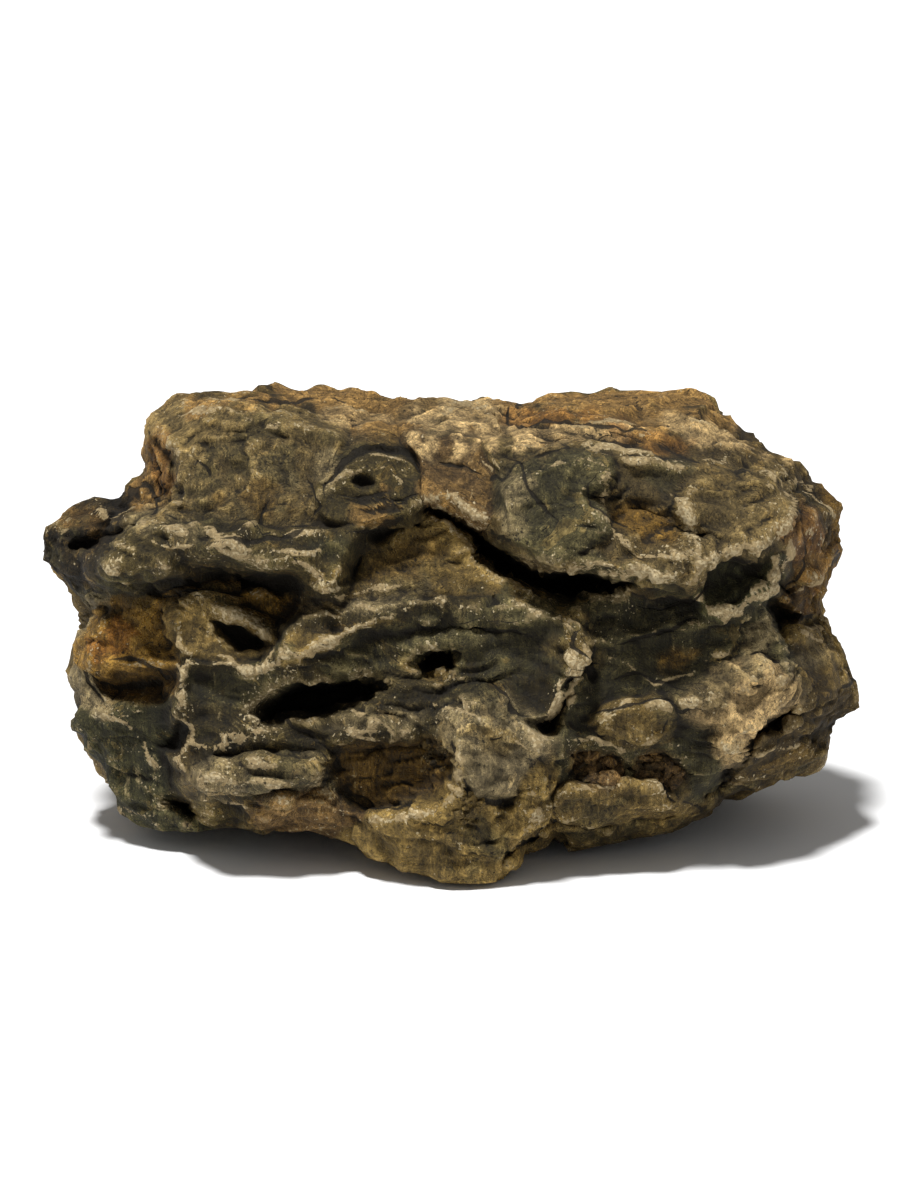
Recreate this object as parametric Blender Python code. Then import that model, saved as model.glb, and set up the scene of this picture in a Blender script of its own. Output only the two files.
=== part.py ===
"""A dragon stone: one block of weathered clay rock, ledged, undercut and pitted, lying on its flat foot.

The stone is drawn in its face plane, which leans back by FACE_LEAN: a runs across to the right, b runs up
the face and `out` stands out of it, all in millimetres. Its front is a heap of leaning slabs, the highest
of which shows at each place, with hollows and cracks sunk in them. The top and back stand behind the face
plane, so there `out` is less than 0. The world's Z is up, the floor is z = 0 and the front faces -Y.
"""

import math
from typing import NamedTuple

import bpy
import numpy as np

# Driving dimensions, in millimetres unless they say otherwise
WIDTH = 245.0  # across the finished stone
FACE_LEAN = math.radians(15)  # how far the face leans back from upright
FOOT = 12.5  # how far the middle of the keel reaches below the floor before it is cut flat
MIDDLE = np.array([0.0, 78.0])  # the place in the face plane from which the silhouette is drawn
FRONT_LEVEL = 13.0  # where the front lies between its slabs
TOP_START = 122.0  # the height in the face above which the front falls back
TOP_FALL = 1.3  # and by how much a millimetre
BACK_LEVEL = 58.0  # how far the back lies behind the face plane, at MIDDLE
BACK_LEAN = 0.13  # less for each millimetre up
FRONT_FULLNESS = 3.6  # exponents of the rounding towards the silhouette: 2 is an ellipse, more is squarer
BACK_FULLNESS = 2.8
LOW_BULGE = 0.8  # what the foot of the back adds to this, and its top loses
BACK_INSET = 0.85  # how far the silhouette's details have faded behind
SMOOTHED_OVER = 45  # the silhouette's details fade into its mean over this many degrees behind

MM = 0.001

# Edges of slabs, ridges, hollows and cracks
REACH = 42.0  # the tallest cliff below a slab
DISH = 3.2  # how much the edge of a slab stands above its middle
DISH_REACH = 8.0
EDGE_SHARE = 0.45  # the share of a slab's drop and roll that is left after wear has sharpened its edge
LIP_WIDTH = 0.8
LIP_SHARE, LIP_SPREAD, LIP_MOST = 0.7, 1.3, 1.7  # how high lips stand, as a share: usual, varying by, most
RIDGE_LEAST, RIDGE_SPREAD = 0.5, 0.6  # ridges keep this share of their height, and vary with the lips by this
LIP_PATCH = 11.0  # over this distance
BLEND = 0.5  # the rounding where two slabs meet
DEEP = 14.0  # a hollow this deep is fully shaded
FADE = 0.2  # ridges run out over this share of their length at each end
CRACK_SHARE = 0.67  # the share of a crack's depth that dirt leaves open
WANDER, WANDER_SIZE = 1.6, 15.0  # how far drawn edges are pushed about, and over what distance
FINE_WANDER, FINE_WANDER_SIZE = 1.4, 5.5

# Weathering: bowls across, along and up, in which scoops hold gouges and gouges hold nicks
SCOOP, SCOOP_DEPTH = np.array([27.0, 20.0, 16.0]), 6.0
GOUGE, GOUGE_DEPTH = np.array([15.0, 11.0, 8.5]), 4.2
NICK, NICK_DEPTH = np.array([8.5, 7.0, 5.0]), 2.5
CREST, CREST_DEPTH = np.array([20.0, 13.0, 9.0]), 3.0  # wandering crests and what they stand out by
BOWL_MEAN = 0.35  # the mean of a bowl, so that wear moves the surface neither in nor out
BEND, BEND_SIZE = 7.0, 24.0  # how far the bowls are bent, and over what distance
RUGGED_SIZE = 34.0  # gouged and smoother areas are this broad
RUGGED_LEAST = 0.3  # and the smoother ones have this share of the gouges
BED, BED_DEPTH = 6.0, 2.0  # the thickness of one bed of the rock, and how far its edge stands out
BED_WANDER, BED_WANDER_SIZE = 6.0, 19.0
BED_PATCH = 30.0  # beds show in patches this broad
BED_NORMAL = np.array([0.16, -0.22, 0.96])
BEDDED_FROM = 124.0, 133.0  # between these heights in the face the beds come to be laid bare
SHELTERED = 0.3, 0.8  # and from here to here inside the silhouette the face is sheltered
LUMP_DEPTH, LUMP_SIZE = 6.0, 42.0
FACE_SCOOPS, FACE_NICKS, FACE_BEDS = 0.3, 0.4, 0.25  # the shares of the wear that reach the sheltered face
BARE_SCOOPS, BARE_NICKS, BARE_BEDS = 1.0, 0.6, 0.6  # and the shares on the sides and back
SHELTER = 0.6  # how much less wear there is in the depth of a hollow

# The foot
UNDERSIDE_RISE = 0.22  # how steeply the underside climbs outside the footprint
UNEVEN, UNEVEN_SIZE = 0.5, 30.0  # by what share that varies, and over what distance
SETTLE = 14.0  # undersides this close to the floor are drawn down to it
FOOT_EDGE = 9.0  # over this distance from the footprint's edge
FOOT_CUT = 1.0  # how much is cut off the foot to make it flat

# The sampled surface
AROUND = 250
ALONG = 170
FRONT_SHARE = 0.35  # how much more of the points lie in front than behind
TIP_SHARE = 0.12  # and how much more towards the tips
FRONT_CLOSER = 0.5  # how much closer the front's points are drawn to its steep places
SPACING = 25.0  # an edge's length over the number of columns that counts as even
SPREAD_PASSES, SPREAD_ROUNDS, SPREAD_STEP = 4, 16, 0.6
EASE, EASE_LEAST, EASE_MOST = 0.35, 0.15, 0.7  # how far a point moves to its neighbours' mean in one pass
RELAX, STRETCHED = 0.5, 1.6  # the same where only edges longer than this, in medians, are eased
TRIANGLES = 9400

STONE_COLOUR = (0.20, 0.16, 0.105, 1.0)
STONE_ROUGHNESS = 0.88


class Slab(NamedTuple):
    """A plate of rock: where its middle stands, how it leans, its edge and its outline."""

    out: float
    lean: float  # more out for each millimetre up
    slant: float  # more out for each millimetre to the right
    rim: float  # a raised lip along the edge
    roll: float  # how far in the edge is rounded over
    drop: float  # and by how much
    cliff: float  # fall for each millimetre past the edge
    outline: list


class Hollow(NamedTuple):
    """A pit, cave or bite: its depth, the width of its wall and its outline."""

    depth: float
    wall: float
    tilt: float  # the extra share of the depth at the top, and missing at the bottom
    rim: float  # a raised lip around it
    outline: list


class Ridge(NamedTuple):
    """A sharp crest along a line, falling away in a hollow curve on both sides."""

    height: float
    width: float
    line: list


class Crack(NamedTuple):
    """A narrow groove along a line."""

    width: float
    depth: float
    line: list


SILHOUETTE = [
    (-124.5, 101.5), (-124, 106), (-116.5, 107.5), (-112, 112.5), (-110, 112), (-102, 112.5), (-97, 118),
    (-94.5, 120), (-92.5, 125), (-92.5, 129), (-90.5, 133), (-90.5, 136), (-90.3, 138), (-88, 139),
    (-86, 140), (-85.5, 142.5), (-80, 146), (-69, 148), (-62, 149.5), (-53, 152.5), (-47, 150.5),
    (-40, 151.5), (-34, 149.5), (-30, 150.5), (-27, 148.5), (-22, 147), (-14, 146), (-5, 145), (5, 144.3),
    (12, 145.5), (17, 145), (25, 145.5), (33, 148.5), (38, 151), (50, 151), (58, 150.5), (72, 147),
    (80, 147), (84, 143), (85, 140), (88, 137), (90, 134.5), (91, 131), (94.5, 130), (95.5, 127.5),
    (101, 126.5), (103, 124.5), (106, 123.5), (108, 119.5), (111, 118.5), (117, 116), (121, 113.5),
    (120.5, 108), (118.5, 101), (117, 95), (115.5, 87), (111.5, 83.5), (112, 80), (110, 78), (113, 76),
    (115.5, 72), (116, 69), (119, 66.5), (120.5, 63), (122.2, 59), (122, 56), (119, 52.5), (115, 49.5),
    (114, 46), (113.5, 40), (111, 36), (107, 33.5), (100, 31.5), (95, 31), (88, 29.5), (81, 26),
    (79, 23), (76, 20.5), (70, 18.5), (61, 17), (56, 15), (50, 13.5), (44, 13), (38, 12.5), (33, 14.5),
    (31, 16), (28.5, 12), (22, 10), (19, 5), (13, 3), (10, 0.3), (6, 0), (0, 1), (-9, 5), (-14, 5),
    (-20, 7.5), (-25, 9.5), (-30, 13.5), (-37, 15), (-45, 14), (-52, 15), (-55, 14), (-60, 10.5),
    (-70, 11.5), (-80, 13), (-86, 15), (-93, 16), (-99, 19), (-102, 22.5), (-100.5, 25.5),
    (-100.5, 30), (-106.5, 35), (-111, 39), (-113.5, 42.5), (-117, 45), (-118, 47.5), (-112, 52),
    (-111.5, 58), (-113, 63), (-113, 68), (-112, 75), (-109.5, 79), (-108, 82.5), (-112, 84),
    (-115, 90), (-122.5, 93), (-124, 96.5),
]

RIM = [
    (-180, 0), (-170, 0), (-145, -3), (-128, -4), (-115, 8), (-102, 32), (-90, 38), (-78, 34), (-66, 16),
    (-52, 2), (-35, -2), (-20, -2), (0, -6), (30, -17), (60, -33), (90, -36), (120, -33), (150, -17),
    (165, -6), (180, 0),
]

FOOTPRINT = [
    (-74, 24), (-40, 14), (-18, -10), (-10, -36), (14, -37), (24, -10), (45, 12), (72, 20), (84, 34),
    (60, 58), (-22, 66), (-70, 52),
]

SLABS = {
    "left_lobe": Slab(20, 0.02, 0.1, 0.8, 3, 3, 1.2, [
        (-126, 95), (-126, 102), (-122, 107), (-115, 110), (-111, 116), (-101, 117), (-93, 122),
        (-88, 116), (-92, 107), (-97, 103), (-99, 97), (-101, 91), (-104, 86), (-108, 80), (-113, 83),
        (-116, 90),
    ]),
    "left_cheek": Slab(25, 0.05, 0.15, 0.6, 3, 2, 1.3, [
        (-96, 114), (-97, 126), (-94, 134), (-92, 142), (-84, 140), (-80, 133), (-80, 112), (-88, 108),
    ]),
    "brow": Slab(42, -0.22, -0.02, 1.2, 3, 2, 4, [
        (-86, 134), (-83, 139), (-79, 142.5), (-71, 143), (-64, 142.5), (-58, 140), (-50, 137),
        (-42, 135), (-34, 133.5), (-31, 131), (-34, 125), (-39, 118), (-40, 111), (-30, 105),
        (-24, 104), (-60, 101), (-92, 99), (-93, 104), (-84, 110.5), (-81, 117), (-81.5, 124),
        (-83, 130),
    ]),
    "top_back_left": Slab(10, -1.7, 0, 0.5, 4, 1.5, 1, [
        (-92, 138), (-86, 141), (-80, 143), (-64, 143.5), (-50, 138), (-32, 133), (-12, 132),
        (10, 131), (18, 138), (18, 152), (-40, 158), (-92, 154),
    ]),
    "lip": Slab(52, -0.2, 0, 0.6, 3, 3, 3.2, [
        (-101, 95), (-98, 100), (-92, 105), (-84, 107.5), (-70, 105.5), (-56, 104), (-40, 104.5),
        (-28, 106), (-22.5, 106), (-27, 102.5), (-30, 99.5), (-30.5, 95), (-32, 89), (-36, 87.5),
        (-40, 86.5), (-43, 90), (-45, 92.5), (-50, 93.5), (-56, 95.5), (-60, 98), (-68, 98.7),
        (-76, 97.8), (-82, 97.5), (-83, 94.5), (-88, 93.5), (-94, 92.5), (-96, 95), (-100, 93),
    ]),
    "left_panel": Slab(33, -0.3, 0.02, 1.4, 2.5, 1, 2.6, [
        (-101, 92), (-104, 86), (-109, 77), (-112.5, 69), (-110, 65.5), (-104, 64.3), (-98, 65.5),
        (-90, 66.5), (-80, 66.5), (-73, 67), (-66, 65.5), (-58, 62.5), (-50, 66), (-44, 74), (-34, 84),
        (-40, 90), (-60, 95), (-80, 96), (-97, 95),
    ]),
    "flake": Slab(42, -0.12, -0.05, 0.9, 2, 1, 2.5, [
        (-79, 83), (-75, 85), (-71, 84.5), (-64, 80), (-56, 76.5), (-52, 73), (-50.5, 69), (-53, 64.5),
        (-57, 62.8), (-63, 64.2), (-68, 67), (-73, 68), (-79, 70), (-81, 77),
    ]),
    "left_edge": Slab(30, 0, 0.25, 1, 3, 2, 1.5, [
        (-103, 88), (-107, 86), (-112, 76), (-117, 64), (-114, 54), (-103, 50), (-108, 58), (-110, 64),
        (-107, 75), (-102, 86),
    ]),
    "left_lower": Slab(29, 0.14, 0.12, 0.5, 3, 3, 1.5, [
        (-118, 51), (-110, 53), (-103, 51.5), (-97, 51.5), (-92, 53.5), (-84, 56), (-78, 56),
        (-77, 42), (-82, 34), (-84, 26), (-90, 14), (-104, 18), (-104, 30), (-113, 42),
    ]),
    "left_foot": Slab(31, -0.1, 0.1, 0.6, 2.5, 2, 1.6, [
        (-104, 24), (-99, 17), (-86, 13), (-70, 11), (-60, 9.5), (-54, 13), (-50, 16), (-56, 18.5),
        (-66, 17.5), (-76, 17.5), (-86, 18.5), (-94, 20),
    ]),
    "left_shelf": Slab(36, 0.1, 0.05, 0.6, 2, 1.5, 2, [
        (-77, 28), (-73, 24), (-73, 19), (-66, 17), (-56, 16), (-50, 16), (-52, 21), (-60, 24),
        (-68, 28), (-74, 31),
    ]),
    "central_slab": Slab(47, 0.03, 0.05, 0.9, 2.2, 1.5, 4, [
        (-79, 67), (-80, 60), (-79.5, 56), (-82, 51), (-82.5, 48.5), (-78, 48), (-75.5, 46.5),
        (-77, 43.5), (-79.5, 41.5), (-82.5, 38.5), (-80, 35), (-76, 31.5), (-70, 27.5), (-62, 24.5),
        (-54, 20), (-46, 14.5), (-36, 15.5), (-28, 12), (-10, 8), (8, 20), (26, 44), (33, 58),
        (38, 66), (40, 74), (30, 80), (10, 82), (-15, 84), (-40, 82), (-52, 70), (-58, 63.5),
        (-66, 66),
    ]),
    "forehead": Slab(45, -0.36, 0.03, 1.2, 2.2, 1, 3, [
        (-33, 100), (-25, 103), (-14, 105), (-8, 109), (-1, 107), (3, 102), (7, 97), (12, 92),
        (17, 90), (22, 87), (28, 84.5), (34, 84), (40, 83), (36, 77.5), (26, 76), (14, 75), (6, 77),
        (-6, 78), (-15, 77.5), (-24, 76.5), (-33, 74), (-41, 70.5), (-48, 67), (-51, 68.5), (-46, 75),
        (-38, 84), (-32, 89),
    ]),
    "eye": Slab(47.5, -0.28, 0, 1, 3.5, 3, 3, [
        (-39, 114), (-37.5, 120), (-33, 125.5), (-28, 128.3), (-21, 129), (-14, 127.5), (-10.5, 123),
        (-9, 118), (-9.5, 113.5), (-12, 110), (-17, 107.7), (-24, 107), (-32, 107), (-38, 109),
    ]),
    "purple": Slab(49, -0.22, 0.05, 0.5, 2.5, 2, 3.5, [
        (-12, 131), (-2, 132), (5, 131), (9, 127.5), (12.5, 122), (13.5, 117), (13, 111), (10, 108.5),
        (7, 109.5), (3, 113), (-1, 115.5), (-5, 115), (-9, 114), (-8.5, 119), (-9, 124),
    ]),
    "neck": Slab(34, -1.1, 0, 0.8, 3, 2, 2, [
        (-12, 132), (-10, 137), (-4, 142), (4, 143.5), (12, 142), (14, 136), (22, 131), (34, 127),
        (30, 118), (14, 120), (10, 128), (2, 132),
    ]),
    "big_lip": Slab(56, -0.24, 0, 1.2, 3, 2.5, 4, [
        (11, 131), (12.5, 124), (13, 118), (14.5, 113), (11, 110.5), (13.5, 107), (17, 102), (20, 99),
        (24, 95.5), (29, 93.5), (34, 93.2), (41, 93.3), (46, 91.5), (52, 91), (57, 89.5), (63, 89.8),
        (68, 88.5), (71, 88.5), (74, 92.5), (79, 97), (86, 99), (94, 100.5), (97, 105), (99, 110),
        (98, 117), (95, 121), (86, 123), (70, 124), (58, 125.5), (46, 126.5), (34, 127.5), (22, 131),
    ]),
    "boulder": Slab(60, -0.1, -0.02, 0.8, 3.5, 3, 2.2, [
        (14, 116.5), (20, 120.5), (30, 123.5), (40, 124.5), (47, 123), (45.5, 118), (41, 116.5),
        (38, 113), (43, 109), (44.5, 105), (41, 100.5), (34, 97.5), (27, 97), (21, 100), (17, 107),
    ]),
    "right_brow": Slab(57, -0.18, -0.05, 0.8, 3, 2.5, 1.8, [
        (66, 110), (69, 118), (76, 121), (88, 121), (96, 118.5), (98, 111), (96, 104), (90, 101),
        (82, 101.5), (76, 105), (70, 107),
    ]),
    "green_cup": Slab(49, -0.05, 0.04, 1.8, 2.5, 1, 3, [
        (72, 88), (74.5, 92), (79, 97), (86, 99.5), (93, 100), (97, 98), (96, 93.5), (92.5, 88),
        (89, 84.8), (83, 82.5), (77, 80.5), (73, 82),
    ]),
    "right_cheek": Slab(31, -0.05, -0.28, 0.8, 3, 2.5, 1.8, [
        (95, 125), (102, 128), (110, 121), (119, 118), (123, 112), (120, 98), (118, 88), (113, 83),
        (114, 79), (108, 78), (103, 80.5), (99, 84), (95, 88), (96.5, 95), (98, 104), (97, 114),
    ]),
    "cheek_plate": Slab(36, -0.1, -0.2, 0.8, 2, 1.5, 2.2, [
        (101, 101), (106, 101.5), (113, 100), (116, 98), (112, 92), (108, 89.5), (103, 92), (99, 96),
    ]),
    "cheek_block": Slab(37, 0, -0.22, 0.8, 1.6, 1.2, 2.2, [
        (99, 110.5), (104, 109.8), (106.5, 111), (105.5, 114.5), (101, 114), (98.5, 113),
    ]),
    "cave_floor": Slab(44, -0.42, 0, 0.8, 2, 1, 2.2, [
        (20, 87.5), (28, 85), (36, 85), (44, 85.5), (50, 87.5), (56, 88.5), (64, 89.5), (72, 89),
        (74.5, 85), (76, 81.5), (70, 78.5), (62, 75.5), (55, 73.5), (46, 72.3), (40, 73), (36, 70),
        (34, 80), (24, 84),
    ]),
    "right_slab": Slab(47, -0.06, 0.02, 1.2, 3, 2, 3.5, [
        (38, 66), (42, 71), (50, 72.7), (56, 73.3), (62, 75.2), (70, 78), (78, 80.2), (85, 83),
        (90, 85), (92, 81), (94.5, 76), (97, 70), (99.5, 62), (101, 57), (98, 54), (92.5, 51.5),
        (89.5, 48), (86.5, 43), (83.5, 39), (79.5, 37), (76, 32.5), (72.5, 28.5), (68.5, 24.5),
        (66.5, 22.5), (60, 22.8), (54, 22.5), (49, 20.5), (42, 18), (36, 18.7), (31, 21), (26.5, 28),
        (25, 38), (25, 44), (31, 51), (35, 58),
    ]),
    "crust_ridge": Slab(52, -0.05, -0.08, 0.6, 5, 4, 1.2, [
        (64, 53.5), (72, 55), (80, 59), (86, 63.5), (91, 65.5), (97, 61.5), (101, 57), (97, 53),
        (91, 50), (88, 45), (84, 40), (80, 38.5), (80, 44), (80, 50), (72, 51.5),
    ]),
    "lens": Slab(52, 0.1, 0, 0.4, 4, 4, 2.2, [
        (43, 47.5), (47, 50.5), (52, 53.5), (57, 54.8), (61, 54.2), (64.5, 50.5), (65, 45), (61, 43.8),
        (55, 43), (49, 44),
    ]),
    "tan_belly": Slab(53, 0.12, -0.02, 0.6, 3, 2.5, 3.5, [
        (30, 25), (32, 20.5), (36, 18.6), (42, 17.9), (48, 19.8), (54, 22.3), (60, 22.6), (66, 22.3),
        (69, 25), (66, 28), (56, 29), (44, 29), (34, 29),
    ]),
    "keel": Slab(57, 0.1, 0.02, 0.8, 5, 4.5, 3, [
        (-34, 12), (-22, 6), (-10, 1), (2, -4), (12, -3), (16, 6), (20, 12), (26, 17), (29, 22),
        (28, 32), (24, 42), (16, 49), (2, 49.5), (2, 38), (4, 32), (-4, 24), (-14, 20.5), (-26, 20),
    ]),
    "saddle": Slab(60, -0.05, 0.02, 0.5, 5, 4, 1.2, [
        (2, 48.5), (6, 50), (14, 51), (20, 49.5), (26, 44), (24, 38), (18, 31), (10, 28), (5, 31),
        (4, 38),
    ]),
    "under_lip": Slab(53, 0.2, 0, 0.6, 2.5, 2, 2, [
        (-55, 20), (-52, 25), (-45, 26.5), (-38, 25), (-33, 22), (-26, 20.5), (-26, 16), (-34, 15),
        (-45, 14.5), (-50, 17),
    ]),
    "ledge_rib": Slab(52, 0.15, 0, 0.5, 2.2, 2, 2.6, [
        (-77, 33), (-70, 35.5), (-60, 35), (-50, 36), (-42, 38), (-39, 34), (-41, 30.5), (-50, 30),
        (-60, 29.5), (-68, 29), (-73, 30),
    ]),
    "right_lobe": Slab(35, 0, -0.25, 0.8, 3, 2, 1.8, [
        (97, 72), (100, 75), (106, 77), (113, 78), (119, 72), (118, 66), (116, 60), (112, 58),
        (106, 56.5), (100, 56), (99, 62),
    ]),
    "right_tip": Slab(24, 0, -0.2, 0.6, 3, 2, 1.5, [
        (112, 68), (120, 68), (126, 60), (124, 52), (116, 47), (111, 52), (111, 60),
    ]),
    "right_rib": Slab(27, -0.1, -0.1, 0.8, 2, 1.5, 1.8, [
        (101, 54), (106, 56), (112, 54), (116, 48), (116, 38), (110, 42), (106, 46), (102, 48),
    ]),
    "right_foot": Slab(35, 0.1, -0.12, 0.8, 2.5, 2, 2, [
        (86, 36.5), (93, 38.5), (101, 39.5), (108, 38), (115, 41), (116, 34), (108, 29), (98, 27),
        (88, 24), (84, 30),
    ]),
    "rear_ledge": Slab(32, 0, -0.05, 0.8, 2.5, 2, 1.8, [
        (30, 18), (33, 14), (44, 9), (58, 11), (72, 13), (80, 17), (83, 26), (78, 30), (72, 26),
        (60, 21.5), (46, 17),
    ]),
    "keel_ledge": Slab(38, 0, 0, 0.5, 2, 1.5, 2, [
        (12, 4), (16, 0), (22, 4), (27, 8), (31, 14), (32, 19), (26, 16), (20, 11.5),
    ]),
    "top_right": Slab(8, -2, 0, 0.8, 4, 1.5, 1, [
        (18, 133), (22, 131.5), (34, 131.5), (46, 132), (58, 135), (70, 137), (80, 138), (86, 142),
        (84, 152), (60, 158), (30, 156), (16, 150),
    ]),
    "top_step": Slab(32, -1.1, -0.02, 0.9, 2, 1.5, 3, [
        (20, 131), (34, 127.5), (50, 126), (62, 125), (76, 123.5), (88, 122), (95, 122), (97, 130),
        (90, 137), (82, 138), (68, 136.5), (58, 134), (46, 131.5), (34, 131),
    ]),
}

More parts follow.
